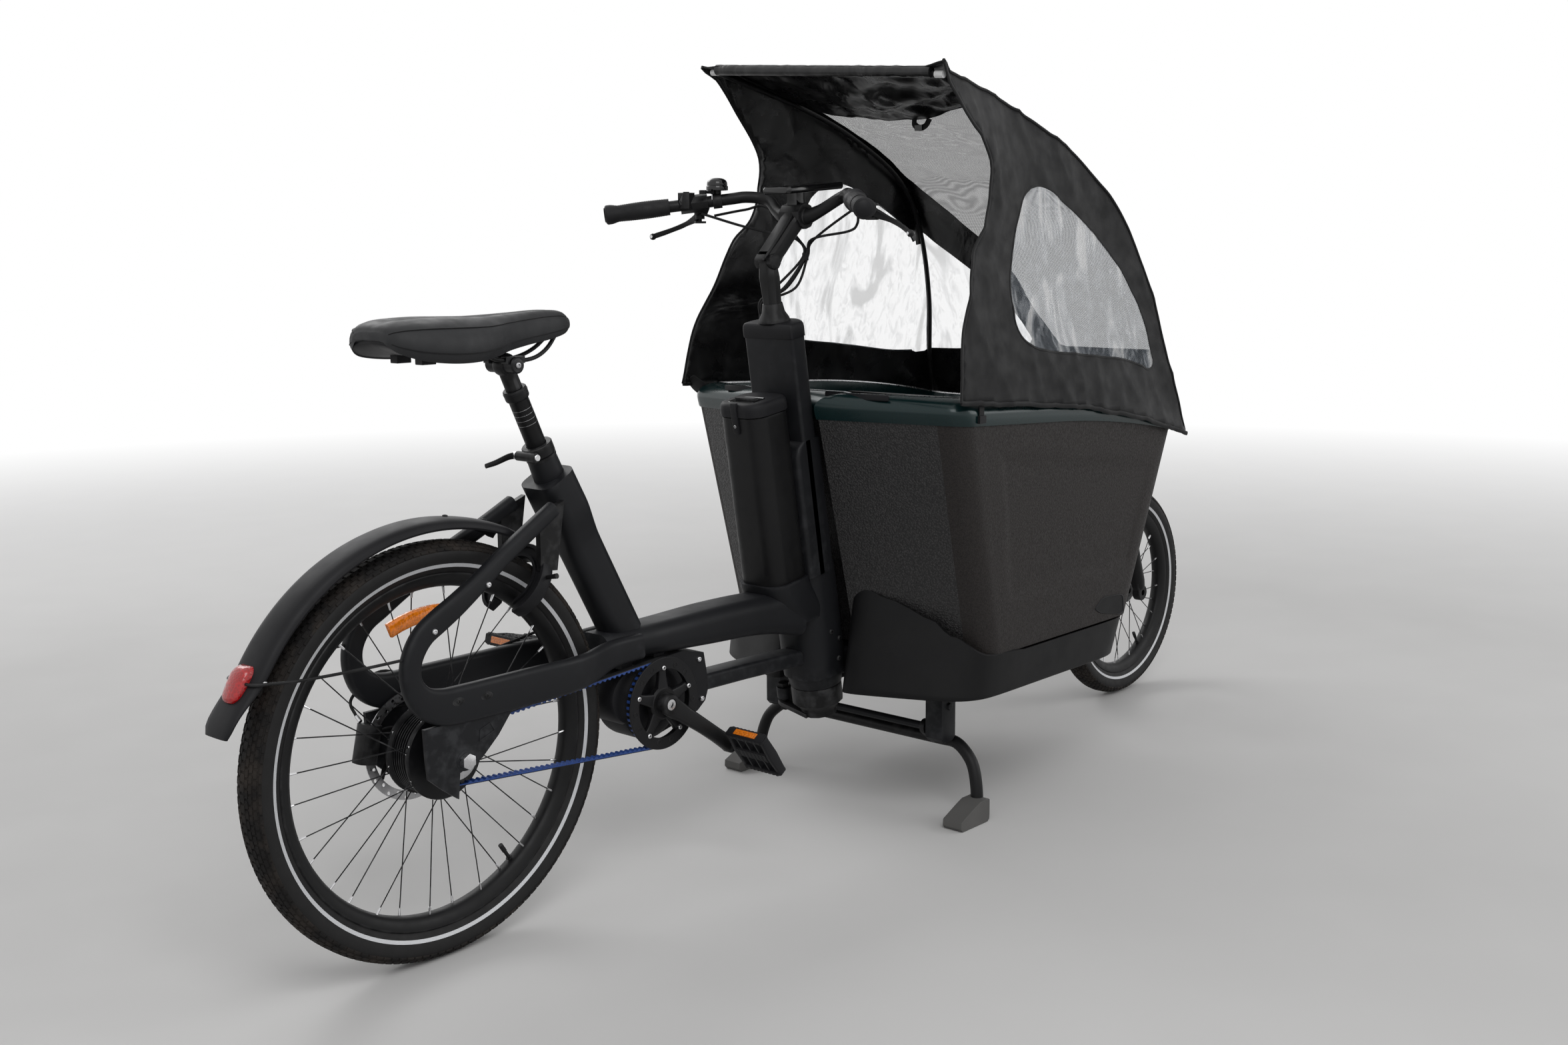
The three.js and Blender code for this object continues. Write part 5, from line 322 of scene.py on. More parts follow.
def tread():
    look = Look("tyre tread", (0.0135, 0.0115, 0.0105), 0.78, specular=0.2)
    dust = look.ranged(look.noise(28, 5), 0.42, 0.7, 0, 1)
    look.shade(look.mixed(dust, (0.010, 0.0092, 0.009), (0.034, 0.028, 0.024)))
    return look.gloss(look.noise(50, 4), 0.7, 0.88).bump(look.noise(500, 3), 0.25, 0.6).material


def reflective():
    look = Look("reflective stripe", (0.62, 0.63, 0.65), 0.35, metal=0.25, specular=0.5)
    return look.vary(look.cells(1600), 0.18).gloss(look.noise(80, 3), 0.28, 0.45).bump(look.cells(1600), 0.05,
                                                                                       0.4).material


def steel(name="bare steel", colour=(0.42, 0.42, 0.43), rough=0.32, brushed=True):
    look = Look(name, colour, rough, metal=1.0, specular=0.5)
    look.vary(look.noise(60, 4), 0.18)
    grain = look.noise(220, 4, stretch=(1, 9, 1)) if brushed else look.noise(220, 4)
    return look.gloss(grain, rough - 0.08, rough + 0.14).bump(grain, 0.04, 0.35).material


def gloss_black():
    look = Look("gloss black", (0.005, 0.005, 0.0055), 0.14, specular=0.5)
    look.vary(look.noise(20), 0.2)
    return look.gloss(look.noise(50, 5), 0.09, 0.2).bump(look.noise(120), 0.03, 0.15).material


def nylon(name="canopy nylon", colour=(0.0068, 0.0068, 0.0074), rough=0.56):
    look = Look(name, colour, rough, specular=0.16)
    weave = look.combined("MULTIPLY", look.waves(520, "Z"), look.waves(520, "X"))
    look.vary(look.noise(14, 4), 0.3).gloss(look.noise(30, 4), rough - 0.08, rough + 0.12)
    look.shader.inputs["Sheen Weight"].default_value = 0.06
    look.shader.inputs["Sheen Roughness"].default_value = 0.4
    creases = look.noise(7, 2, stretch=(1, 1, 0.6), distortion=0.8)
    return look.bump(creases, 7, 0.5).bump(look.noise(60, 3), 0.5, 0.3).bump(weave, 0.1, 0.4).material


def lining():
    look = Look("coated lining", (0.0055, 0.0055, 0.006), 0.26, specular=0.42)
    look.vary(look.noise(18, 4), 0.25).gloss(look.noise(20, 3), 0.2, 0.4)
    creases = look.noise(9, 3, stretch=(0.6, 1, 0.8), distortion=1.2)
    return look.bump(creases, 9, 0.6).bump(look.noise(40, 2, distortion=0.8), 0.7, 0.35).material


def clear_film():
    look = Look("clear film", (0.86, 0.88, 0.90), 0.12, specular=0.5)
    creases = look.noise(10, 4, stretch=(1, 1, 0.22), distortion=2.2)
    folds = look.ranged(creases, 0.52, 0.62, 0, 1)
    fine = look.ranged(look.noise(60, 3, stretch=(1, 1, 0.5), distortion=1.2), 0.5, 0.66, 0, 1)
    # Painted highlight: creases and fine streaks are painted whiter and more opaque than the bluish film
    # between them.
    painted_crease_highlight = look.combined("MAXIMUM", folds, look.combined("MULTIPLY", fine, 0.45))
    look.link(look.ranged(painted_crease_highlight, 0, 1, 0.05, 0.26), look.shader.inputs["Alpha"])
    look.shade(look.mixed(painted_crease_highlight, (0.66, 0.74, 0.84), (0.95, 0.96, 0.97)))
    look.bump(creases, 12, 0.7).bump(look.noise(60, 3, stretch=(1, 1, 0.5), distortion=1.2), 1.4, 0.5)
    return look.gloss(look.noise(20), 0.06, 0.2).material


def netting():
    look = Look("window netting", (0.045, 0.046, 0.048), 0.6, specular=0.15)
    threads = look.combined("MAXIMUM", look.waves(210, "Y"), look.waves(210, "DIAGONAL"))
    look.link(look.ranged(threads, 0.55, 0.95, 0.14, 0.74), look.shader.inputs["Alpha"])
    look.vary(look.noise(8, 3), 0.18)
    return look.bump(threads, 0.5, 0.6).material


def saddle_cover():
    look = Look("saddle cover", (0.017, 0.0175, 0.019), 0.55, specular=0.32)
    look.vary(look.noise(16), 0.18).gloss(look.noise(40, 4), 0.48, 0.66)
    return look.bump(look.cells(900), 0.16, 0.55).bump(look.noise(9), 1.2, 0.15).material


def belt_blue():
    look = Look("belt", (0.022, 0.062, 0.24), 0.5, specular=0.35)
    look.vary(look.noise(120, 4), 0.35).gloss(look.noise(200, 3), 0.42, 0.62)
    return look.bump(look.noise(700, 2), 0.15, 0.5).material


def clear_plastic(name, colour, rough=0.12):
    look = Look(name, colour, rough, specular=0.5)
    ribs = look.cells(260)
    look.vary(ribs, 0.35)
    look.shader.inputs["Coat Weight"].default_value = 0.4
    return look.gloss(look.noise(40), rough - 0.04, rough + 0.08).bump(ribs, 0.7, 0.7).material


FRAME_BLACK = powder_coat()
FITTING = anodised()
SATIN = anodised("satin fittings", (0.0075, 0.0075, 0.008), 0.42)
MOULDED = moulded()
TRAY = moulded("tray plastic", (0.0055, 0.0055, 0.0060), 0.46, 640.0)
FOAM = foam()
FACET = foam_facet()
TEAL = teal_metallic()
RUBBER = rubber()
GRIP = rubber("grip rubber", (0.011, 0.011, 0.012), 0.6, 420.0, 0.35)
TYRE = rubber("tyre side", (0.0115, 0.0112, 0.0115), 0.6, 500.0, 0.12)
TREAD = tread()
STRIPE = reflective()
STEEL = steel()
SILVER = steel("silver fittings", (0.62, 0.62, 0.63), 0.28, False)
GLOSS = gloss_black()
NYLON = nylon()
WEBBING = nylon("webbing", (0.009, 0.009, 0.0095), 0.6)
LINING = lining()
FILM = clear_film()
NETTING = netting()
SADDLE = saddle_cover()
BELT = belt_blue()
AMBER = clear_plastic("amber reflector", (0.85, 0.22, 0.01))
RED = clear_plastic("red lens", (0.42, 0.004, 0.006))
WORN = moulded("worn plastic", (0.11, 0.108, 0.105), 0.62, 300.0)
WHITE = moulded("white plastic", (0.72, 0.72, 0.72), 0.4, 600.0)

# Mesh building


def catmull(points, steps):
    """Points on a smooth curve through the given ones; each may be a vector or a list of numbers."""
    rows = [list(p) for p in points]
    if len(rows) < 3:
        return [Vector(p) if len(p) == 3 else p for p in rows]
    padded = [[2 * a - b for a, b in zip(rows[0], rows[1])], *rows,
              [2 * a - b for a, b in zip(rows[-1], rows[-2])]]
    out = []
    for k in range(1, len(padded) - 2):
        p0, p1, p2, p3 = padded[k - 1:k + 3]
        for i in range(steps):
            t = i / steps
            out.append([0.5 * (2 * b + (c - a) * t + (2 * a - 5 * b + 4 * c - d) * t * t
                               + (3 * b - a - 3 * c + d) * t ** 3)
                        for a, b, c, d in zip(p0, p1, p2, p3)])
    out.append(rows[-1])
    return [Vector(p) if len(p) == 3 else p for p in out]


def rounded(half_u, half_v, corner, steps=5):
    """A rounded rectangle as pairs, going round once."""
    corner = min(corner, half_u * 0.999, half_v * 0.999)
    out = []
    for quarter, (su, sv) in enumerate(((1, 1), (-1, 1), (-1, -1), (1, -1))):
        for i in range(steps + 1):
            angle = (quarter + i / steps) * math.pi / 2
            out.append((su * (half_u - corner) + corner * math.cos(angle), sv * (half_v - corner)
                        + corner * math.sin(angle)))
    return out


class Piece:
    """Collects faces for one object; each face has the number of its material."""

    def __init__(self, name, *materials):
        self.name = name
        self.materials = materials
        self.verts, self.faces, self.looks = [], [], []

    def add(self, verts, faces, look=0):
        base = len(self.verts)
        self.verts += [Vector(v) for v in verts]
        self.faces += [tuple(base + i for i in f) for f in faces]
        self.looks += [look] * len(faces)
        return self

    def stack(self, rings, look=0, caps=True, loop=False, bands=None):
        """Joins rings of equal length; bands may give each gap between rings its own material."""
        count = len(rings[0])
        faces, looks = [], []
        last = len(rings) if loop else len(rings) - 1
        for k in range(last):
            low, high = k * count, ((k + 1) % len(rings)) * count
            for i in range(count):
                j = (i + 1) % count
                faces.append((low + i, low + j, high + j, high + i))
                looks.append(bands[k] if bands else look)
        if caps and not loop:
            faces.append(tuple(reversed(range(count))))
            faces.append(tuple((len(rings) - 1) * count + i for i in range(count)))
            looks += [looks[0], looks[-1]] if looks else [look, look]
        base = len(self.verts)
        self.verts += [Vector(p) for ring in rings for p in ring]
        self.faces += [tuple(base + i for i in f) for f in faces]
        self.looks += looks
        return self

    def lathe(self, profile, centre, axis=AXIS_Y, segments=64, look=0, loop=None, bands=None, start=0.0):
        """Turns [radius, height] pairs (in mm) about an axis; loop closes the profile, as all do but those
        whose ends both lie on the axis."""
        if loop is None:
            loop = profile[0][0] != 0 or profile[-1][0] != 0
        axis = axis.normalized()
        u = (AXIS_X if abs(axis.x) < 0.9 else AXIS_Z).cross(axis).normalized()
        v = axis.cross(u)
        rings = []
        for turn in turns(segments):
            angle = start + turn
            out = u * math.cos(angle) + v * math.sin(angle)
            rings.append([centre + out * mm(r) + axis * mm(h) for r, h in profile])
        count = len(profile)
        base = len(self.verts)
        self.verts += [p for ring in rings for p in ring]
        edges = count if loop else count - 1
        for i in range(segments):
            j = (i + 1) % segments
            for k in range(edges):
                m = (k + 1) % count
                self.faces.append((base + i * count + k, base + j * count + k, base + j * count + m,
                                   base + i * count + m))
                self.looks.append(bands[k] if bands else look)
        return self

    def disc(self, radius, low, high, centre, axis=AXIS_Y, segments=32, look=0, edge=0.0):
        """A short round bar with a small chamfer."""
        e = min(edge, radius / 2, abs(high - low) / 2)
        profile = [[0, low], [radius - e, low], [radius, low + e], [radius, high - e], [radius - e, high],
                   [0, high]]
        return self.lathe(profile, centre, axis, segments, look, loop=False)

    def tube(self, points, radius, sides=12, look=0, steps=6, caps=True, radii=None, flat=1.0,
             side_axis=None):
        """A round tube (radius in mm) on a smooth curve through points; radii are shares along it."""
        path = catmull(points, steps) if steps > 1 else [Vector(p) for p in points]
        shares = radii or [1.0] * len(points)
        sizes = catmull([[s] for s in shares],
                        steps) if steps > 1 and len(shares) > 2 else [[s] for s in shares]
        if len(sizes) != len(path):
            sizes = [[shares[0] + (shares[-1] - shares[0]) * i / (len(path) - 1)] for i in range(len(path))]
        tangent = (path[1] - path[0]).normalized()
        normal = side_axis or (AXIS_Z if abs(tangent.z) < 0.9 else AXIS_X)
        normal = (normal - tangent * normal.dot(tangent)).normalized()
        rings = []
        for k, p in enumerate(path):
            before, after = path[max(k - 1, 0)], path[min(k + 1, len(path) - 1)]
            along = (after - before).normalized()
            normal = (normal - along * normal.dot(along)).normalized()
            other = along.cross(normal)
            r = mm(radius) * sizes[k][0]
            rings.append([p + normal * (r * flat * math.cos(2 * math.pi * i / sides))
                          + other * (r * math.sin(2 * math.pi * i / sides))
                          for i in range(sides)])
        return self.stack(rings, look, caps)

    def rod(self, a, b, radius, look=0, sides=16, end_radius=None):
        return self.tube([a, b], radius, sides, look, steps=1, radii=[1, (end_radius or radius) / radius])

    def loft(self, stations, look=0, steps=1, corner_steps=5, caps=True, bands=None):
        """Rounded rectangles along stations: (place, u axis, v axis, half u, half v, corner) in mm."""
        rows = [[*p, *u, *v, hu, hv, c] for p, u, v, hu, hv, c in stations]
        if steps > 1:
            rows = catmull(rows, steps)
        rings = []
        for row in rows:
            p, u, v = Vector(row[0:3]), Vector(row[3:6]).normalized(), Vector(row[6:9]).normalized()
            rings.append([p + u * mm(a) + v * mm(b) for a, b in rounded(row[9], row[10], row[11],
                                                                        corner_steps)])
        return self.stack(rings, look, caps, bands=bands)

    def prism(self, outline, place, look=0):
        """A flat outline between two sides: place(a, b, 0) and place(a, b, 1) give its corners."""
        low = [place(a, b, 0) for a, b in outline]
        high = [place(a, b, 1) for a, b in outline]
        return self.stack([low, high], look)

    def plate(self, outline, y_low, y_high, look=0):
        """An outline of [x, z] in mm between two y values, in either order."""
        y_low, y_high = sorted((y_low, y_high))
        return self.prism(outline, lambda x, z, k: at(x, (y_low, y_high)[k], z), look)

    def block(self, centre, half_u, half_v, half_w, look=0, axes=(AXIS_X, AXIS_Y, AXIS_Z)):
        u, v, w = axes
        corners = [centre + u * mm(a * half_u) + v * mm(b * half_v) + w * mm(c * half_w)
                   for a in (-1, 1) for b in (-1, 1) for c in (-1, 1)]
        return self.add(corners, [(0, 1, 3, 2), (4, 6, 7, 5), (0, 4, 5, 1), (2, 3, 7, 6), (0, 2, 6, 4),
                                  (1, 5, 7, 3)], look)

    def bolt(self, centre, axis, radius, height, look=0, socket=True):
        """A round-headed socket bolt standing on a surface."""
        profile = [[0, -height * 0.6], [radius, -height * 0.6], [radius, height * 0.5],
                   [radius * 0.8, height * 0.9], [radius * 0.5, height]]
        if socket:
            profile += [[radius * 0.48, height * 0.2], [0, height * 0.2]]
        else:
            profile += [[0, height]]
        return self.lathe(profile, centre, axis, 12, look, loop=False)

    def build(self, body, replaces=(), slot=None, bevel=0.0, sharp=38):
        mesh = bpy.data.meshes.new(self.name)
        mesh.from_pydata([tuple(v) for v in self.verts], [], self.faces)
        for m in self.materials:
            mesh.materials.append(m)
        mesh.polygons.foreach_set("material_index", self.looks)
        mesh.validate()
        obj = in_scene(self.name, mesh)
        smooth(obj, bevel, sharp)
        if body:
            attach(obj, body)
        if replaces:
            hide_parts(*replaces)
        return obj


def smooth(obj, bevel=0.0, sharp=38, keep_mesh=False):
    """Smooth shading with hard edges above an angle, and a small rounded edge where bevel is given."""
    if not keep_mesh:
        normals(obj)
    obj.data.shade_smooth()
    if bevel:
        rounding = obj.modifiers.new("edges", "BEVEL")
        rounding.width = mm(bevel)
        rounding.segments = 2
        rounding.limit_method = "ANGLE"
        rounding.angle_limit = math.radians(sharp)
        rounding.harden_normals = True
        rounding.use_clamp_overlap = True
    if not keep_mesh:
        obj.data.set_sharp_from_angle(angle=math.radians(sharp))


def normals(obj):
    work = bmesh.new()
    work.from_mesh(obj.data)
    bmesh.ops.recalc_face_normals(work, faces=work.faces)
    work.to_mesh(obj.data)
    work.free()


# Wheels


def tyre(name, node, body, axle, outer):
    """Balloon tyre: soft sides with a reflective stripe, and fine tread blocks over the crown."""
    drop = outer - REAR_RADIUS
    half = [(281.5, 12.5, 0), (284, 17, 0), (288, 20.4, 0), (293.2, 22.4, 0), (293.6, 22.9, 1),
            (299.4, 24.9, 1), (299.8, 24.6, 0),
            (306, 26.6, 0), (313, 27.7, 0), (319, 27.0, 2), (325, 23.6, 2), (329.2, 18.2, 2),
            (331.4, 11.0, 2), (332.4, 3.8, 2)]
    profile = [(r + drop, y) for r, y, _ in half] + [(r + drop, -y) for r, y, _ in reversed(half)]
    looks = [k for _, _, k in half] + [k for _, _, k in reversed(half)]
    bands = []
    for a, b in zip(looks, looks[1:] + looks[:1]):
        bands.append(1 if a == b == 1 else 2 if a == 2 and b == 2 else 0)
    piece = Piece(name, TYRE, STRIPE, TREAD)
    piece.lathe(profile, axle, AXIS_Y, 144, loop=True, bands=bands)
    count = round(2 * math.pi * outer / 15.5)
    rows = [(0, 5.2, 332.2, 0.5), (8.6, 3.1, 331.6, 0.0), (15.3, 3.0, 329.8, 0.5), (21.2, 2.9, 326.4, 0.0),
            (25.6, 2.3, 321.2, 0.5)]
    for i in range(count):
        for across, half_wide, radius, offset in rows:
            for side in ((1,) if across == 0 else (1, -1)):
                angle = 2 * math.pi * (i + offset) / count
                out = AXIS_X * math.cos(angle) + AXIS_Z * math.sin(angle)
                along = AXIS_Z * math.cos(angle) - AXIS_X * math.sin(angle)
                tip = math.asin(min(across / 31.0, 0.95))
                up = (out * math.cos(tip) + AXIS_Y * (side * math.sin(tip))).normalized()
                sideways = along.cross(up)
                base = axle + out * mm(radius + drop) + AXIS_Y * mm(side * across)
                low = [base + along * mm(a * 6.4) + sideways * mm(b * half_wide)
                       for a, b in ((-1, -1), (1, -1), (1, 1), (-1, 1))]
                high = [p + up * mm(1.9) - along * mm(a * 1.0) - sideways * mm(b * 0.5)
                        for p, (a, b) in zip(low, ((-1, -1), (1, -1), (1, 1), (-1, 1)))]
                piece.add(low + high, [(4, 5, 6, 7), (0, 1, 5, 4), (1, 2, 6, 5), (2, 3, 7, 6), (3, 0, 4, 7)],
                          2)
    return piece.build(body, (node,), "tyre_black", sharp=32)


def wheel(name, node, body, axle, rim_outer, flange_radius, flange_y, hub, crossing):
    piece = Piece(name, SATIN, SILVER, FITTING, RUBBER)
    inner = rim_outer - 22
    half = [(rim_outer - 1, 12.4), (rim_outer + 0.2, 13.2), (rim_outer + 1.2, 17.6), (rim_outer - 0.6, 18.9),
            (rim_outer - 3.5, 18.6),
            (rim_outer - 12, 16.2), (inner + 3.2, 11), (inner + 0.7, 6), (inner, 0)]
    profile = half + [(r, -y) for r, y in reversed(half[:-1])]
    piece.lathe(profile, axle, AXIS_Y, 128, 0)
    piece.lathe(hub, axle, AXIS_Y, 48, 2, loop=False)
    spokes = 32
    for i in range(spokes):
        side = 1 if i % 2 == 0 else -1
        lean = 1 if (i // 2) % 2 == 0 else -1
        at_rim = 2 * math.pi * (i + 0.5) / spokes
        at_hub = at_rim + lean * crossing
        foot = polar(flange_radius - 2.2, at_hub, side * flange_y + lean * 1.4)
        head = polar(inner + 2, at_rim, side * 4.8)
        run = (foot - head).normalized()
        piece.rod(axle + foot, axle + head, 1.05, 2, 6)
        piece.rod(axle + head, axle + head + run * mm(13), 2.3, 1, 8, 1.7)
        piece.disc(2.6, -1.0, 1.6, axle + foot, AXIS_Y * side, 8, 1, 0.5)
    angle = math.radians(-57)
    out = spoke(angle)
    piece.rod(axle + out * mm(inner + 1), axle + out * mm(inner - 22), 3.2, 3, 10)
    piece.rod(axle + out * mm(inner - 20), axle + out * mm(inner - 35), 4.1, 3, 10)
    piece.lathe([[5.6, 0], [5.6, 2.2], [3, 2.2], [3, 0]], axle + out * mm(inner - 3), -out, 6, 2)
    return piece.build(body, (node,), "fitting_black", sharp=35)


def rotor(name, node, body, axle, y, hub_side):
    """A disc with round holes, on curved arms and a black carrier."""
    piece = Piece(name, STEEL, SATIN)
    sectors, half = 30, 0.95
    for i in range(sectors):
        def place(radius, share, side):
            a = 2 * math.pi * (i + share) / sectors
            return axle + polar(radius, a, y + side * half)
        edge = [(74, 0), (74, 0.5), (74, 1), (82, 1), (90, 1), (90, 0.5), (90, 0), (82, 0)]
        verts, faces = [], []
        for side in (1, -1):
            verts += [place(r, s, side) for r, s in edge]
            middle, reach = (82 + (3.0 if i % 2 else -3.0)), 2.9
            for k in range(8):
                turn = math.pi * (5 + k) / 4
                verts.append(place(middle + reach * math.sin(turn),
                                   0.5 + reach * math.cos(turn) / (2 * math.pi * 82 / sectors), side))
        for k in range(8):
            n = (k + 1) % 8
            faces += [(k, n, 8 + n, 8 + k), (16 + n, 16 + k, 24 + k, 24 + n), (8 + k, 8 + n, 24 + n, 24 + k)]
        faces += [(1, 0, 16, 17), (2, 1, 17, 18), (5, 4, 20, 21), (6, 5, 21, 22)]
        piece.add(verts, faces, 0)
    for i in range(6):
        points = []
        for share in (0, 0.35, 0.7, 1):
            a = 2 * math.pi * i / 6 + 0.62 * share
            points.append(axle + polar(24 + 51 * share, a, y))
        piece.tube(points, 4.6, 8, 1, 5, flat=0.22, side_axis=AXIS_Y)
    low, high = sorted((y + half * 1.6, y + hub_side))
    piece.lathe([[7, low], [25, low], [27, (low + high) / 2], [24, high], [7, high]], axle, AXIS_Y, 32, 1)
    for a in turns(6, 0.5):
        piece.bolt(axle + polar(19, a, high), AXIS_Y, 3, 2.4, 0)
    return piece.build(body, (node,), "bare_steel", sharp=35)


fins = []
for k in range(7):
    y = -19 + k * 5.6
    fins += [[62, y], [68, y + 0.6], [68, y + 2.6], [62, y + 3.4]]
rear_hub = [[7, -39.5], [24, -39.5], [30, -34], [70, -29.5], [72.2, -27], [72.2, -23.5], [70, -22]] + fins + [
    [70, 22], [72.2, 23.5], [72.2, 27], [70, 29.5], [34, 34], [26, 39.5], [7, 39.5]]
front_hub = [[7, -31.5], [14, -31.5], [17, -29], [28, -27.5], [29.2, -26], [29.2, -23.5], [27, -22.5],
             [17.5, -19], [16, -10],
             [16, 10], [17.5, 19], [27, 22.5], [29.2, 23.5], [29.2, 26], [28, 27.5], [17, 29], [14, 31.5],
             [7, 31.5]]
tyre("rear_tyre_detailed", "rear_tyre", "rear_wheel_set", REAR_AXLE, REAR_RADIUS)
tyre("front_tyre_detailed", "front_tyre", "front_wheel_set", FRONT_AXLE, FRONT_RADIUS)
wheel("rear_wheel_detailed", "rear_wheel", "rear_wheel_set", REAR_AXLE, 283, 72, 24.8, rear_hub, 0.28)
wheel("front_wheel_detailed", "front_wheel", "front_wheel_set", FRONT_AXLE, 207, 29, 24.8, front_hub, 0.4)
rotor("rear_rotor_detailed", "rear_rotor", "rear_wheel_set", REAR_AXLE, 56, -15.2)
rotor("front_rotor_detailed", "front_rotor", "front_wheel_set", FRONT_AXLE, 37, -4.2)

reflector = Piece("spoke_reflector", AMBER)
rings = []
for k in range(6):
    out = spoke(math.radians(84 + 5.5 * k))
    rings.append([REAR_AXLE + out * mm(r) + AXIS_Y * mm(y) for r, y in
                  ((212, -13), (216, -16), (232, -16), (236, -13), (236, -7), (212, -7))])
reflector.stack(rings)
reflector.build("rear_wheel_set", slot="lamp_red", bevel=1.2)

# Frame tubes

SIDE_STATIONS = [
    (1, 1, 0.43, 1), (0.81, 0.847, 0.45, 0.8), (0.627, 0.704, 0.47, 0.5), (0.477, 0.571, 0.5, 0.25),
    (0.3, 0.424, 0.58, 0), (0.176, 0.32, 0.62, 0), (0.085, 0.236, 0.6, 0), (0.026, 0.123, 0.57, 0),
    (0, 0, 0.56, 0), (0.01, -0.133, 0.6, 0), (0.065, -0.256, 0.77, 0), (0.163, -0.33, 0.93, 0),
    (0.3, -0.35, 1, 0), (0.693, -0.35, 1, 0), (1.09, -0.34, 0.93, 0), (1.382, -0.3, 0.78, 1),
    (1.608, -0.286, 0.73, 1),
]


def rear_side(name, side):
    piece = Piece(name, FRAME_BLACK, SATIN, SILVER, RUBBER)
    rows = []
    for k, (sx, sz, sh, inwards) in enumerate(SIDE_STATIONS):
        before, after = SIDE_STATIONS[max(k - 1, 0)], SIDE_STATIONS[min(k + 1, len(SIDE_STATIONS) - 1)]
        along = Vector(((after[0] - before[0]) * 306, 0, (after[1] - before[1]) * 203)).normalized()
        rows.append((at(-92 + sx * 306, side * (75 - inwards * 24), 495 + sz * 203),
                     Vector((-along.z, 0, along.x)), AXIS_Y, sh * 30, 10.9, 8.5))
    piece.loft(rows, 0, steps=4, corner_steps=4)
    height = 58.5
    outline = [(-0.74, 1.1), (-0.72, 0.3), (-0.69, -0.26), (-0.42, -0.66), (-0.15, -1), (-0.11, -0.3),
               (0.33, -0.05), (0.66, 0.45), (0.98, 1.1)]
    low, high = sorted((side * 72.2, side * 78.8))
    piece.plate([(sx * 100, REAR_RADIUS + sz * height) for sx, sz in outline], low, high, 0)
    piece.lathe([[8, low - 0.4], [16.6, low - 0.4], [17, low + 1], [17, high - 1], [16.6, high + 0.6],
                 [8, high + 0.6]], at(0, 0, REAR_RADIUS), AXIS_Y, 32, 0)
    window = [(0.28, 0.42), (0.58, 0.6), (0.5, 0.84), (0.3, 0.72)]
    face = side * 79
    rim = [at(sx * 100, face, REAR_RADIUS + sz * height) for sx, sz in window]
    for a, b in zip(rim, rim[1:] + rim[:1]):
        piece.rod(a, b, 1.1, 0, 8)
    out = AXIS_Y * side
    for x, z in ((-14, 432), (40, 430)):
        points = [at(x + 9 * math.cos(a) * 1.25, side * 86.0, z + 6.5 * math.sin(a))
                  for a in turns(20)]
        inner = [p + out * mm(-0.2) + (at(x, side * 86, z) - p) * 0.24 for p in points]
        deep = [p - out * mm(1.6) for p in inner]
        piece.stack([[p + out * mm(0.05) for p in points], [p + out * mm(0.5) for p in inner], deep], 1)
        piece.bolt(at(x, side * 85.4, z), out, 4.2, 1.6, 1)
    for x, z in ((55, 602), (-53, 548)):
        piece.bolt(at(x, side * 86.1 if x < 0 else side * 80.5, z), out, 4.6, 3.2, 2)
    return piece.build("frame", (("rear_side_right",) if side < 0 else ("rear_side_left",)), "frame_black",
                       sharp=36)


rear_side("rear_side_right_detailed", -1)
rear_side("rear_side_left_detailed", 1)

beams = Piece("main_beam_detailed", FRAME_BLACK)
beams.loft([(at(x, 0, z), AXIS_Y, AXIS_Z, hw, hh, 24) for x, z, hh, hw in (
    (338, 436, 26, 39.7), (470, 434.5, 28.5, 43), (600, 433, 33, 47), (690, 431, 35, 47),
    (755, 427, 37.5, 47.5),
    (800, 425, 44, 51), (832, 424, 50, 54))], 0, steps=4, corner_steps=7)
beams.build("frame", ("main_beam",), "frame_black", sharp=40)

seat_tube = Piece("seat_tube_detailed", FRAME_BLACK, SATIN)
top, foot = at(246, 0, 742), at(404, 0, 452)
across = Vector((-(foot - top).z, 0, (foot - top).x)).normalized()
seat_tube.loft([(top.lerp(foot, share), across, AXIS_Y, 36 - deep, 27 + 13 * wide, 20) for share, wide,
                deep in (
    (0, 1, 1), (0.12, 1, 1), (0.22, 0.96, 1), (0.34, 0.35, 0.4), (0.42, 0.05, 0), (0.6, 0, 0), (1, 0, 0.35))],
               0, steps=5, corner_steps=6)
post_axis = (at(235, 0, 778) - at(POST_X, 0, POST_Z)).normalized()
post_top = at(POST_X, 0, POST_Z)


def on_post(down):
    return post_top + post_axis * mm(down)


seat_tube.tube([on_post(166.5), on_post(200), on_post(232)], 26, 36, 0, 4, radii=[0.94, 1, 1.02])
seat_tube.lathe([[17.2, 0], [22, -2.2], [25.5, 0], [25.5, 4], [17.2, 4]], on_post(165.5), post_axis, 36, 1)
seat_tube.build("frame", ("seat_tube",), "frame_black", sharp=40)

chassis = Piece("chassis_beam_detailed", FRAME_BLACK, SATIN)
points = [(958, 296), (1300, 296), (1600, 296), (1658, 306), (1702, 350), (1735, 430), (1838, 640)]
rows = []
for k, (x, z) in enumerate(points):
    (bx, bz), (ax, az) = points[max(k - 1, 0)], points[min(k + 1, len(points) - 1)]
    along = Vector((ax - bx, 0, az - bz)).normalized()
    rows.append((at(x, 0, z), AXIS_Y, Vector((-along.z, 0, along.x)), 31.8, 25.8, 9))
chassis.loft(rows, 0, steps=5, corner_steps=4)
head_middle = on_fork(-45, 0, 449)
chassis.tube([at(1828, 0, 622), at(1850, 0, 650), head_middle], 21, 28, 0, 4)
chassis.lathe([[14.6, 374.3], [23.4, 374.3], [24, 376], [24, 522], [23.4, 523.7], [14.6, 523.7]],
              FORK @ Vector((mm(-45), 0, 0)), FORK_UP, 40, 0)
chassis.build("frame", ("chassis_beam",), "frame_black", sharp=40)

# Steering tower, its cap, strut and the battery


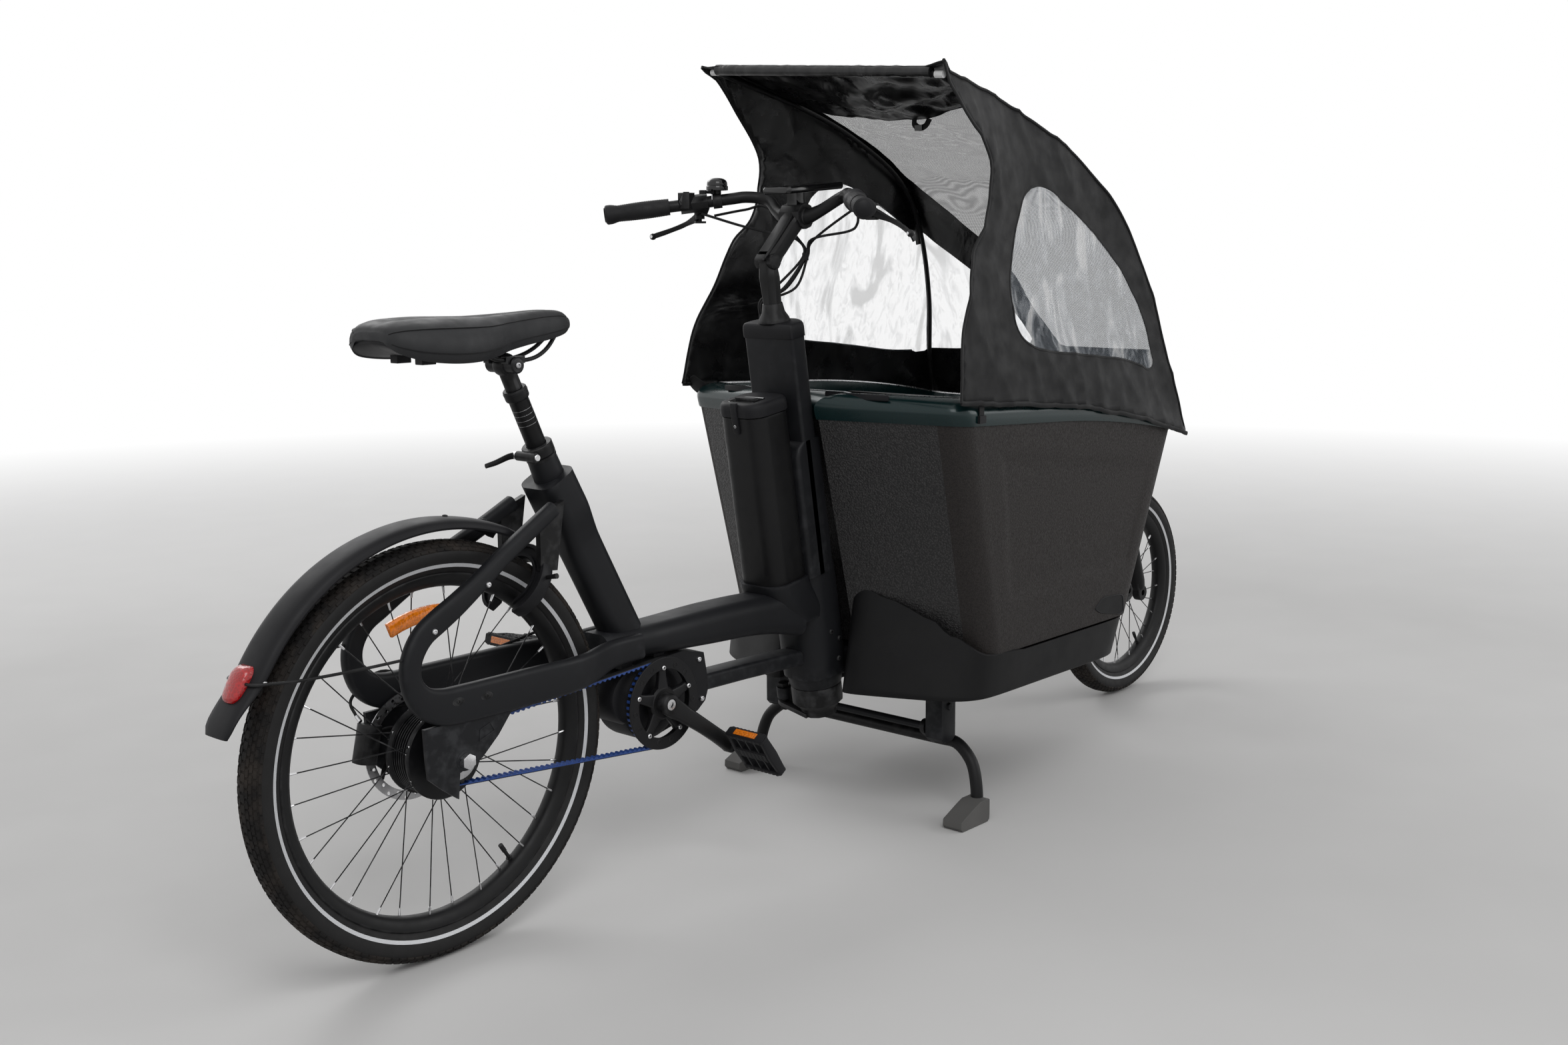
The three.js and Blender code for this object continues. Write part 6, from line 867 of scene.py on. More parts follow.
def column_loft(piece, stations, look=0, steps=1, corner_steps=6):
    u, v = COLUMN_FORWARD, AXIS_Y
    piece.loft([(on_column(forward, 0, up), u, v, hu, hv, c) for up, forward, hu, hv, c in stations], look,
               steps, corner_steps)


def tower_ring(up, wall, front_half, rear, front, corner=7.0):
    """Flat wide back and narrower front, with rounded corners."""
    outline = [(-rear, -wall), (front * 0.35, -wall), (front, -front_half), (front, front_half),
               (front * 0.35, wall), (-rear, wall)]
    ring = []
    count = len(outline)
    for k, (x, y) in enumerate(outline):
        (px, py), (nx, ny) = outline[k - 1], outline[(k + 1) % count]
        back = Vector((px - x, py - y)).normalized()
        fore = Vector((nx - x, ny - y)).normalized()
        reach = corner * (1.5 if k in (1, 2, 3, 4) else 1.0)
        a, b = Vector((x, y)) + back * reach, Vector((x, y)) + fore * reach
        for i in range(5):
            t = i / 4
            p = a * (1 - t) ** 2 + Vector((x, y)) * (2 * t * (1 - t)) + b * t ** 2
            ring.append(on_column(p.x, p.y, up))
    return ring


tower = Piece("column_tower_detailed", FRAME_BLACK, SATIN)
tower.stack([tower_ring(up, 60, 30, 24, 36) for up in (500, 700, 955.6, 957.8)], 0)
tower.stack([tower_ring(up, 60, 58, rear, 24, 9) for up, rear in ((500, 46), (700, 46), (738, 45), (754, 38),
                                                                  (762, 27), (764, 24.4))], 0)
column_loft(tower, [(292, 0, 55, 55, 44), (296, 0, 57, 57, 46), (400, 0, 57, 57, 46), (470, 0, 57, 57, 46),
                    (508, 0, 56.6, 57, 46)], 0, 3, 9)
column_loft(tower, [(418, -38, 52, 54, 34), (440, -50, 54, 56, 36), (462, -66, 55.5, 57.6, 36),
                    (486, -79, 56, 58, 36), (508, -84, 56, 58, 36)], 0, 4, 8)
tower.lathe([[0, 262.4], [49, 262.4], [51, 264], [56, 290], [56, 298], [0, 298]], COLUMN_FOOT, COLUMN_UP, 48,
            0)
tower.loft([(at(x, 0, z), AXIS_Y, AXIS_Z, 24, 15, 7) for x, z in ((578, 328.6), (700, 327), (880, 322))], 0,
           corner_steps=4)
for forward, up in ((11, 318), (19, 357), (-3, 378)):
    tower.bolt(on_column(forward, -56.8, up), -AXIS_Y, 5.2, 3.4, 1)
    tower.bolt(on_column(forward, 56.8, up), AXIS_Y, 5.2, 3.4, 1)
tower.build("frame", ("column_tower",), "frame_black", sharp=42)

cap = Piece("tower_cap_detailed", MOULDED, GLOSS)
cap.stack([tower_ring(up, 60 + grow, 30 + grow, 24 + grow, 36 + grow) for up, grow in (
    (958.4, 1.6), (959, 2), (975, 2), (981, 1.2), (984.6, -0.6), (986, -3.4))], 0)
cap.lathe([[5, 985], [8.4, 985], [8.4, 987.4], [7, 988.2], [5, 988.2]], COLUMN @ Vector((mm(8), mm(37), 0)),
          COLUMN_UP, 20, 1)
cap.build("frame", ("tower_cap",), "moulded_black", sharp=40)

battery = Piece("battery_detailed", MOULDED, SATIN, GLOSS, STEEL)
column_loft(battery, [(490.5, BATTERY_BACK, 49, 51, 30), (493, BATTERY_BACK, 50, 52, 31),
                      (640, BATTERY_BACK, 50, 52, 31),
                      (826, BATTERY_BACK, 50, 52, 31), (831.6, BATTERY_BACK, 50, 52, 31)], 1, 1, 12)
column_loft(battery, [(833, BATTERY_BACK, 50.6, 52.6, 31), (834, BATTERY_BACK, 52.2, 54.2, 32),
                      (846, BATTERY_BACK, 52.2, 54.2, 32),
                      (853, BATTERY_BACK, 51.4, 53.4, 32),
                      (857.4, BATTERY_BACK, 48.6, 50.6, 30), (859, BATTERY_BACK, 44, 46, 27)], 0, 1, 12)
column_loft(battery, [(859.1, -100, 22, 31, 9), (859.9, -100, 21, 30, 8), (859.2, -100, 19, 28, 7),
                      (856.5, -100, 18.5, 27.5, 7)], 2, 1, 6)
battery.block(on_column(-100, 0, 861.6), 5, 24, 2, 1, (COLUMN_FORWARD, AXIS_Y, COLUMN_UP))
column_loft(battery, [(803, -133.2, 3.5, 6.5, 2), (806, -134.2, 4.6, 7, 2), (856, -136, 4.8, 7, 2),
                      (861, -135, 3.8, 6.4, 2)], 0, 1, 3)
battery.bolt(on_column(-138.6, 0, 818), -COLUMN_FORWARD, 3.2, 1.2, 3)
battery.build("battery", ("battery_pack",), "moulded_black", sharp=40)

# Box: outline of the moulded shell at a height, pushed inwards by inset, as [x, y]


def box_outline(z, inset, fine=1):
    up = z - BOX_LOW
    half = BOX_HALF + 10 * up / (RIM_Z - BOX_LOW) - inset
    rear_x, notch_x = 959 - 0.243 * up + inset, 988 - 0.214 * up + inset
    corner_x, front_x = 1052 - 0.243 * up + inset, 1600 + 0.404 * up - inset
    rear_r, front_r = max(45 - inset, 11.25), max(80 - inset, 20)
    notch_y = 72 + inset
    slant = math.atan2(corner_x - rear_x, half - notch_y)
    centre_x = corner_x + rear_r * math.tan(math.pi / 4 - slant / 2)
    start = (centre_x + rear_r * math.cos(math.pi - slant), half - rear_r
             + rear_r * math.sin(math.pi - slant))
    out = [(notch_x, 0), (notch_x, notch_y * 0.7), (notch_x - notch_y * 0.2, notch_y)]
    for i in range(6 * fine):
        t = i / (6 * fine)
        out.append((rear_x + (start[0] - rear_x) * t, notch_y + (start[1] - notch_y) * t))
    for i in range(5 * fine + 1):
        a = math.pi - slant - (i / (5 * fine)) * (math.pi / 2 - slant)
        out.append((centre_x + rear_r * math.cos(a), half - rear_r + rear_r * math.sin(a)))
    for i in range(1, 36 * fine):
        out.append((centre_x + i / (36 * fine) * (front_x - front_r - centre_x), half))
    for i in range(6 * fine + 1):
        a = math.pi / 2 - (i / (6 * fine)) * math.pi / 2
        out.append((front_x - front_r + front_r * math.cos(a), half - front_r + front_r * math.sin(a)))
    for i in range(1, 9):
        share = 1 - i / 8
        out.append((front_x + 20 * (1 - share ** 2), share * (half - front_r)))
    return out + [(x, -y) for x, y in reversed(out[1:-1])]


def rim_low(x):
    return RIM_Z - 0.05 * (x - 950) - max(0, x - 1250) ** 2 / (2 * 3333)


def rim_ring(inset, lift, fine=1):
    ring = [(x, y, RIM_Z) for x, y in box_outline(RIM_Z, inset, fine)]
    for _ in range(4):
        ring = [(*box_outline(rim_low(x) + lift, inset, fine)[i], rim_low(x) + lift)
                for i, (x, _, _) in enumerate(ring)]
    return ring


def smoothstep(low, high, value):
    t = min(max((value - low) / (high - low), 0), 1)
    return t * t * (3 - 2 * t)


def inside_distance(point, outline):
    """Distance inwards from a convex outline's nearest edge; negative outside."""
    best = 1e9
    turn = sum(a[0] * b[1] - b[0] * a[1] for a, b in zip(outline, outline[1:] + outline[:1]))
    for a, b in zip(outline, outline[1:] + outline[:1]):
        ex, ey = b[0] - a[0], b[1] - a[1]
        side = (ex * (point[1] - a[1]) - ey * (point[0] - a[0])) / math.hypot(ex, ey)
        best = min(best, side if turn > 0 else -side)
    return best


def on_side(shares):
    return [(959 + a * 641, BOX_LOW + b * (RIM_Z - BOX_LOW)) for a, b in shares]


PANEL = on_side(((0.172, 0.86), (1.044, 0.702), (0.924, 0.242), (0.232, 0.238)))
POCKET = on_side(((0.725, 0.071), (0.772, 0.113), (0.892, 0.102), (0.903, 0.007), (0.761, 0.044)))

shell = Piece("box_shell_detailed", FOAM, FACET, MOULDED)
levels = 44
outer = []
low = [(x, y, BOX_LOW) for x, y in box_outline(BOX_LOW, 0, 2)]
high = rim_ring(0, 13.6, 2)
for k in range(levels + 1):
    share = k / levels
    ring = []
    for (lx, ly, lz), (hx, hy, hz) in zip(low, high):
        x, y, z = lx + (hx - lx) * share, ly + (hy - ly) * share, lz + (hz - lz) * share
        if abs(y) > 300:
            deep = inside_distance((x, z), PANEL)
            push = 2.6 * smoothstep(-3, 9, deep)
            edge = 0.9 * math.exp(-((deep + 3) / 4.5) ** 2)
            y -= math.copysign(push - edge, y)
        ring.append(at(x, y, z))
    outer.append(ring)
inner = [[at(x, y, z) for x, y, z in rim_ring(28, 13.6, 2)]]
for k in range(1, 5):
    share = k / 4
    inner.append([at(hx + (lx - hx) * share, hy + (ly - hy) * share, hz + (BOX_FLOOR - hz) * share)
                  for (lx, ly), (hx, hy, hz) in zip(box_outline(BOX_FLOOR, 28, 2), rim_ring(28, 13.6, 2))])
shell.stack(outer + inner, 0)
face_count = len(outer[0])
for f in range(levels * face_count):
    a = shell.verts[shell.faces[f][0]]
    x = (a.x - REAR_X) * 1000
    z = a.z * 1000
    rear_line = 1052 - 0.243 * (z - BOX_LOW) - 14
    if x < rear_line:
        shell.looks[f] = 1
shell.build("frame", ("box_shell",), "foam_grey", sharp=50)

pockets = Piece("box_side_pockets", MOULDED, TRAY)
for side in (-1, 1):
    outline = [Vector(p) for p in POCKET]
    centre = sum(outline, Vector((0, 0))) / len(outline)
    smooth_line = []
    for a, b, c in zip(outline[-1:] + outline[:-1], outline, outline[1:] + outline[:1]):
        for i in range(5):
            t = i / 4
            p = (b.lerp(a, 0.22)) * (1 - t) ** 2 + b * (2 * t * (1 - t)) + (b.lerp(c, 0.22)) * t ** 2
            smooth_line.append(p)

    def wall(p, depth, grow=1.0):
        q = centre + (p - centre) * grow
        half = BOX_HALF + 10 * (q.y - BOX_LOW) / (RIM_Z - BOX_LOW)
        return at(q.x, side * (half + depth), q.y)
    pockets.stack([[wall(p, d, g) for p in smooth_line] for d, g in ((-2.0, 1.10), (1.4, 1.07), (1.9, 1.02),
                                                                     (1.2, 0.98), (0.4, 0.965))], 0,
                  caps=False)
    pockets.stack([[wall(p, d, g) for p in smooth_line] for d, g in ((0.6, 0.97), (0.55, 0.8), (0.5, 0.4))],
                  1)
pockets.build("frame", slot="moulded_black", sharp=60)

rim = Piece("box_rim_detailed", TEAL, MOULDED, SILVER)
section = [(-0.3, 0.3), (-2.6, 0.0), (-3.3, 3), (-3.6, 12), (-3.5, 20), (-2.4, 26), (1.5, 33), (8, 39.5),
           (16, 44.4), (24, 47.6), (31, 49.4),
           (36, 50), (39, 49.4), (40, 47.5), (40, 15), (0, 14.4)]
rings = [[at(x, y, z) for x, y, z in rim_ring(inset, lift, 2)] for inset, lift in section]
rim.stack(rings, 0, loop=True)
lip = [[at(x, y, z) for x, y, z in rim_ring(inset, lift)] for inset, lift in ((38.6, 49.2), (38.2, 51.4),
                                                                              (39.4, 51.9), (40.6, 51.2),
                                                                              (40.6, 48.4))]
rim.stack(lip, 2, loop=True)
for side in (-1, 1):
    points = sorted((x, y, z) for x, y, z in rim_ring(12, 43) if 0 < side * y < 200 and 872 < x < 1000)
    rows = [(at(x, y, z + 3), AXIS_Y, AXIS_Z, 9, 5.5, 3.5) for x, y, z in points[:6]]
    if len(rows) > 2:
        rim.loft(rows, 1, steps=3, corner_steps=4)
rim.build("frame", ("box_rim",), "rim_teal", sharp=60)

# Tray under the box


def tray_ring(z, inset):
    up = z - TRAY_LOW
    shift = 0.21 * up + inset
    half = BOX_HALF + 8 * up / 201 - inset
    front = 1545 + 0.4 * min(up, 77) - inset
    corners = [(992 + inset, 0), (992 + inset, 77 + inset), (899 + shift, 77 + inset),
               (899 + shift, 110 - inset / 3),
               (957 + shift, 254 - inset / 2), (992 + shift * 0.8, 306 - inset * 0.7),
               (1040 + shift * 0.3, half), (front - 60, half), (front - 18, half - 18), (front, half - 60),
               (front, 0)]
    out = []
    for k in range(len(corners) - 1):
        a, b = Vector(corners[k]), Vector(corners[k + 1])
        count = 12 if k == 6 else 5
        for i in range(count):
            out.append(a.lerp(b, i / count))
    rounded_line = out[:]
    for _ in range(3):
        rounded_line = [rounded_line[0]] + [(p * 2 + a + c) / 4
                                            for a, p, c in zip(rounded_line, rounded_line[1:],
                                                               rounded_line[2:])] + [rounded_line[-1]]
    full = rounded_line + [Vector((front, 0))] + [Vector((p.x, -p.y)) for p in reversed(rounded_line[1:])]
    return [(p.x, p.y) for p in full]


def crest(y):
    shares = [(0.0, 1.0), (0.33, 1.0), (0.5, 0.85), (0.7, 0.63), (0.85, 0.36), (1.03, 0.0), (2, 0.0)]
    s = abs(y) / BOX_HALF
    for (a, za), (b, zb) in zip(shares, shares[1:]):
        if a <= s <= b:
            return TRAY_TOP + 124 * (za + (zb - za) * smoothstep(a, b, s))
    return TRAY_TOP


tray = Piece("box_tray_detailed", TRAY, MOULDED)


def tray_wall(inset, low, lift=0.0):
    """Rows of the wall from low up to the crest, each point on the tray's outline at its own height."""
    rows = []
    for k in range(15):
        share = k / 14
        row = []
        for i, (x, y) in enumerate(tray_ring(low, inset)):
            top = (crest(y) if x < 1120 else TRAY_TOP) + lift
            z = low + (top - low) * share
            px, py = tray_ring(z, inset)[i]
            row.append(at(px, py, z))
        rows.append(row)
    return rows


outside = tray_wall(0, TRAY_LOW + 2)
inside = tray_wall(4, TRAY_LOW + 6, -0.5)
bottom = [[at(x, y, TRAY_LOW) for x, y in tray_ring(TRAY_LOW, 2.6)], [at(x, y, TRAY_LOW + 0.5)
                                                                      for x, y in tray_ring(TRAY_LOW, 1.0)]]
tray.stack(bottom + outside + list(reversed(inside)), 0)
for x in (1200, 1380):
    for side in (-1, 1):
        tray.bolt(at(x, side * 300, TRAY_LOW), -AXIS_Z, 7, 3, 1)
tray.build("frame", ("box_tray",), "moulded_black", sharp=48)

# Mudguard, its wire stay and the tail light

guard = Piece("rear_fender_detailed", MOULDED, SATIN, SILVER)
steps = 60
outer_rings = []
for k in range(steps + 1):
    degrees = 64 + (164 - 64) * k / steps
    flap = smoothstep(146, 164, degrees)
    angle = math.radians(degrees)
    out = spoke(angle)
    half = 36 - 2.5 * flap
    skirt = 14 - 9.5 * flap + (0 if degrees > 66 else 3)
    if degrees < 67:
        half -= (67 - degrees) * 2.2
    if degrees > 162:
        half -= (degrees - 162) * 3.4
    lift = 17.5 * smoothstep(150, 164, degrees)
    ring = []
    for side, y_share, drop in ((1, -1, 1), (1, -0.97, 0.72), (1, -0.86, 0.36), (1, -0.6, 0.12),
                                (1, -0.3, 0.03), (1, 0, 0), (1, 0.3, 0.03),
                                (1, 0.6, 0.12), (1, 0.86, 0.36), (1, 0.97, 0.72), (1, 1, 1), (-1, 0.95, 1),
                                (-1, 0.9, 0.72), (-1, 0.8, 0.36),
                                (-1, 0.55, 0.12), (-1, 0, 0.02), (-1, -0.55, 0.12), (-1, -0.8, 0.36),
                                (-1, -0.9, 0.72), (-1, -0.95, 1)):
        radius = CROWN - (0 if side > 0 else 3.2) - drop * skirt + lift
        ring.append(REAR_AXLE + out * mm(radius) + AXIS_Y * mm(y_share * half))
    outer_rings.append(ring)
guard.stack(outer_rings, 0)
back_x = -math.sqrt(CROWN ** 2 - (512 - REAR_RADIUS) ** 2)
wire = [(-92, -74, 512), (-180, -74, 512.5), (back_x + 60, -62, 512), (back_x + 22, -46, 512),
        (back_x - 1.6, -30, 512), (back_x - 2.4, 0, 512),
        (back_x - 1.6, 30, 512), (back_x + 22, 46, 512), (back_x + 60, 62, 512), (-180, 74, 512.5),
        (-92, 74, 512)]
guard.tube([at(*p) for p in wire], 2.4, 10, 1, 6)
for side in (-1, 1):
    guard.lathe([[0, 0], [7.5, 0], [8, 1], [8, 4], [6, 5.4], [0, 5.4]], at(-94, side * 68.5, 512),
                AXIS_Y * side, 20, 1)
    guard.bolt(at(back_x + 16, side * 37.5, 512), AXIS_Y * side, 3.4, 2.2, 2)
for spot in (72, 84):
    angle = math.radians(spot)
    guard.bolt(REAR_AXLE + spoke(angle) * mm(CROWN), spoke(angle), 4.4, 2.4, 1)
guard.build("frame", ("rear_fender",), "moulded_black", sharp=38)

lamp = Piece("tail_light_detailed", RED, MOULDED)


def guard_x(z):
    return -math.sqrt(CROWN ** 2 - (z - REAR_RADIUS) ** 2)


rings = []
for z, shrink in ((486, 0.62), (489, 0.82), (494, 0.97), (502, 1), (517, 1), (525, 0.97), (530, 0.82),
                  (533, 0.62)):
    x = guard_x(z)
    ring = []
    for i in range(20):
        a = math.pi * (i / 19 - 0.5)
        ring.append(at(x - (2.5 + 14 * shrink * math.cos(a) ** 0.6 if math.cos(a) > 0.01 else 2.5),
                       19.8 * shrink * math.sin(a), z))
    ring += [at(x + 3.0, 19.8 * shrink, z), at(x + 3.0, -19.8 * shrink, z)]
    rings.append(ring)
lamp.stack(rings, 0)
lamp.build("frame", ("tail_light",), "lamp_red", bevel=0.6, sharp=40)

# Seat post, clamp and saddle

seat_post = Piece("seat_post_detailed", SATIN, FITTING, STEEL)
seat_post.tube([on_post(-8), on_post(54)], 13.9, 40, 0, 1)
post_rings = [[13.9, -14], [18.4, -14], [19.6, -12.6], [20, -8], [20, 1], [19.2, 3.4], [16.8, 5.4], [16.5, 6],
              [16.5, 183]]
seat_post.lathe(post_rings, on_post(56.8), post_axis, 40, 0, loop=False)
seat_post.lathe([[20.4, -9.6], [20.4, -6.8], [19.9, -6.4], [19.9, -10]], on_post(56.8), post_axis, 40, 1)
for k in range(4):
    seat_post.lathe([[16.62, 0], [16.62, 0.5], [16.4, 0.5], [16.4, 0]], on_post(78 + 9 * k), post_axis, 40, 2)
seat_post.lathe([[0, -34], [11, -34], [13.4, -32], [13.4, -12], [17.5, -9], [18.8, -4], [18.8, 4], [17.5, 9],
                 [13.4, 12], [13.4, 32], [11, 34], [0, 34]],
                post_top, AXIS_Y, 28, 1)
for side in (-1, 1):
    rail = [(-0.62, 0.8, 0.95), (-0.42, 0.65, 0.2), (-0.1, 0.5, 0), (0.3, 0.5, 0), (0.62, 0.35, 0.35),
            (0.9, 0.16, 1.1)]
    seat_post.tube([at(POST_X + x * RAIL_LENGTH, side * y * 44, 938 + z * 42) for x, y, z in rail], 3.4, 12,
                   0,
                   6)
    seat_post.block(at(POST_X, side * 22, 938), 19, 6.5, 5.5, 1)
    seat_post.bolt(at(POST_X, side * 34, POST_Z), AXIS_Y * side, 5, 3, 2)
seat_post.build("seat", ("seat_post",), "fitting_black", bevel=0.5, sharp=38)

clamp = Piece("seat_clamp_detailed", SATIN, SILVER)
clamp.lathe([[17.2, 145], [24.5, 145], [25.8, 146.4], [25.8, 162.6], [24.5, 163.8], [17.2, 163.8]], post_top,
            post_axis, 40, 0)
behind = Vector((post_axis.z, 0, -post_axis.x))
ear = on_post(154.4) + behind * mm(26)
if ear.x > on_post(154.4).x:
    ear = on_post(154.4) - behind * mm(26)
clamp.disc(8, -24, 24, ear, AXIS_Y, 24, 0, 1)
clamp.disc(5.6, -27, -23, ear, AXIS_Y, 16, 1, 0.8)
clamp.disc(6.5, 24, 33, ear, AXIS_Y, 20, 1, 1.2)
clamp.tube([ear + AXIS_Y * mm(30), ear + step(-14, 31.5, -1.5),
            ear + step(-40, 30.5, -8), ear + step(-61, 30, -11.5)],
           5.2, 14, 0, 6, radii=[1.1, 1, 0.9, 0.75], flat=0.62, side_axis=AXIS_Y)
clamp.build("frame", ("seat_clamp",), "fitting_black", sharp=38)

SADDLE_STATIONS = [(-84, 44, 991, 974), (-74, 66, 1002, 962), (-45, 88, 1009, 951), (5, 95, 1011, 945),
                   (55, 91, 1010, 945), (100, 76, 1009, 950),
                   (140, 54, 1010, 956), (190, 37, 1012, 962), (240, 29, 1014, 968), (275, 23, 1011, 975),
                   (294, 13, 1000, 984)]
saddle = Piece("saddle_padded", SADDLE, MOULDED, WEBBING)
rows = catmull([[*s] for s in SADDLE_STATIONS], 6)
profile = [(-0.9, -0.02), (-0.97, 0.10), (-1, 0.28), (-0.985, 0.46), (-0.93, 0.64), (-0.84, 0.79),
           (-0.70, 0.90), (-0.52, 0.965), (-0.32, 0.995),
           (-0.14, 0.985), (0, 0.955)]
profile = profile + [(-y, z) for y, z in reversed(profile[:-1])]
rings = []
for k, (x, half, high, low) in enumerate(rows):
    dip = 1 - 0.75 * smoothstep(120, 210, x)
    ring = []
    for y, z in profile:
        sink = 5.5 * dip * math.exp(-(y / 0.2) ** 2) * smoothstep(-70, -10, x)
        ring.append(at(x, y * half, low + z * (high - low) - sink))
    rise = min(14, (high - low) / 3)
    ring += [at(x, 0.78 * half, low + rise * 0.7), at(x, 0.4 * half, low + rise), at(x, 0, low + rise),
             at(x, -0.4 * half, low + rise), at(x, -0.78 * half, low + rise * 0.7)]
    rings.append(ring)
saddle.stack(rings, 0)
count = len(rings[0])
for f in range(len(rings) * count - count):
    if f % count >= len(profile) - 1:
        saddle.looks[f] = 1
for side in (-1, 1):
    for share, z_share in ((0.995, 0.2), (0.86, 0.775)):
        saddle.tube([at(x, side * share * half, low + z_share * (high - low)) for x, half, high,
                     low in rows[2:-2:3]], 0.75, 6, 2, 3)
saddle_obj = saddle.build("seat", ("saddle",), "rubber_black", sharp=55)
shell_under = Piece("saddle_base", MOULDED)
rings = []
for x, half, high, low in rows[3:-3]:
    rings.append([at(x, y * half, low + z) for y, z in ((-0.9, 1), (-0.95, 4.5), (-0.6, 9.5), (0, 11.5),
                                                        (0.6, 9.5), (0.95, 4.5), (0.9, 1), (0.5, 5), (0, 7),
                                                        (-0.5, 5))])
shell_under.stack(rings)
for side in (-1, 1):
    shell_under.block(at(-8, side * 31, 950), 13, 9, 9)
shell_under.build("seat", slot="moulded_black", bevel=1, sharp=40)

# Ring lock

LOCK_ANGLE = math.radians(54)
lock_out = spoke(LOCK_ANGLE)
lock_centre = REAR_AXLE + lock_out * mm(LOCK_REACH)
lock_depth = AXIS_Y.cross(lock_out)


def on_lock(degrees, radius, depth=0.0):
    a = math.radians(degrees)
    return (lock_centre + AXIS_Y * mm(radius * math.cos(a)) + lock_out * mm(radius * math.sin(a))
            + lock_depth * mm(depth))


lock = Piece("ring_lock_detailed", MOULDED, SATIN, STEEL)
rings = []
for k in range(49):
    degrees = -59 + (239 + 59) * k / 48
    end = min(k, 48 - k)
    shrink = 1 if end > 1 else (0.82 if end == 0 else 0.96)
    ring = []
    for radius, depth in ((59.2, -6.2), (59.2, -11.4), (64.6, -11.4), (65.8, -9), (65.8, 9), (64.6, 11.6),
                          (42, 11.6), (40.4, 9), (40.4, -9), (42, -11.4), (46.8, -11.4), (46.8, -6.2)):
        ring.append(on_lock(degrees, LOCK_RING + (radius - LOCK_RING) * shrink, depth * shrink))
    rings.append(ring)
lock.stack(rings, 0)
for side in (-1, 1):
    outline = [(lock_centre.x * 1000 - REAR_X * 1000 + x * 66, REAR_RADIUS + LOCK_REACH * math.sin(LOCK_ANGLE)
                + z * 66) for x, z in ((0.1, 0.35), (0.62, 0.3), (0.9, 2), (0.1, 1.7))]
    lock.plate(outline, side * 43, side * 54, 1)
lock.disc(11, 0, 5, on_lock(35, 56, 11.5), lock_depth, 24, 1, 1.4)
lock.disc(4.5, 4.6, 5.6, on_lock(35, 56, 11.5), lock_depth, 16, 2, 0.3)
lock.build("frame", ("ring_lock_case",), "moulded_black", bevel=0.8, sharp=38)
bolt = Piece("ring_lock_bolt_detailed", SILVER, SATIN)
bolt.tube([on_lock(62 + 174 * k / 24, LOCK_RING) for k in range(25)], 4.4, 14, 0, 1)
bolt.tube([on_lock(165, LOCK_RING), on_lock(165, 70), on_lock(165, 87.5)], 3.9, 14, 1, 3,
          radii=[0.9, 0.9, 1.15])
bolt.build("lock_bolt", ("ring_lock_bolt",), "bare_steel", sharp=38)

# Motor, belt drive, cranks and pedals

BRACKET = at(BRACKET_X, 0, BRACKET_Z)
motor = Piece("motor_detailed", MOULDED, SATIN, SILVER)
motor.lathe([[0, -40], [40, -40], [46, -38.5], [60, -37], [68.5, -31], [70, -26], [70, 26], [68.5, 34],
             [60, 42], [48, 44], [0, 44]], BRACKET, AXIS_Y, 64, 0)
motor.lathe([[0, -34], [40, -34], [47, -31], [50, -25], [50, 44], [47, 52], [40, 56], [0, 56]],
            at(398, 0, 343), AXIS_Y, 56, 0)
motor.plate([(441, 398), (400, 392), (441, 260), (556, 285), (576, 300), (583, 318), (583, 342), (574, 390),
             (520, 402)], -32, 35, 0)
for x, z in ((463, 382), (500, 276), (566, 306), (560, 380)):
    for side in (-1, 1):
        motor.bolt(at(x, side * 34 if side > 0 else -33, z), AXIS_Y * side, 5, 3.5, 2)
for a in turns(8):
    motor.bolt(BRACKET + polar(57, a, 42.6), AXIS_Y, 3.4, 2.4, 1)
for x in (398, 476):
    motor.block(at(x, 0, 399), 13, 17.5, 26, 0)
motor.build("frame", ("motor_housing",), "moulded_black", bevel=1.4, sharp=36)

PITCH = 11.0


def pitch_radius(teeth):
    return teeth * PITCH / (2 * math.pi)


distance = math.hypot(BRACKET_X, BRACKET_Z - REAR_RADIUS)
tilt = math.atan2(BRACKET_Z - REAR_RADIUS, BRACKET_X)
rear_r, front_r = pitch_radius(24), pitch_radius(44)
open_angle = math.acos((rear_r - front_r) / distance)
straight = math.sqrt(distance ** 2 - (front_r - rear_r) ** 2)
front_arc, rear_arc = front_r * 2 * open_angle, rear_r * 2 * (math.pi - open_angle)
belt_total = front_arc + rear_arc + 2 * straight


def on_belt(s, depth):
    """A point in [x, z] on the belt at a distance along it, pushed inwards by depth."""
    s %= belt_total

    def arc(cx, cz, r, a):
        return (cx + (r - depth) * math.cos(a), cz + (r - depth) * math.sin(a))
    if s < straight or straight + front_arc <= s < 2 * straight + front_arc:
        a = tilt + open_angle if s < straight else tilt - open_angle
        share = s / straight if s < straight else 1 - (s - straight - front_arc) / straight
        p, q = arc(0, REAR_RADIUS, rear_r, a), arc(BRACKET_X, BRACKET_Z, front_r, a)
        return (p[0] + (q[0] - p[0]) * share, p[1] + (q[1] - p[1]) * share)
    if s < straight + front_arc:
        return arc(BRACKET_X, BRACKET_Z, front_r, tilt + open_angle - (s - straight) / front_r)
    return arc(0, REAR_RADIUS, rear_r, tilt - open_angle - (s - 2 * straight - front_arc) / rear_r)


belt = Piece("drive_belt_detailed", BELT, RUBBER)


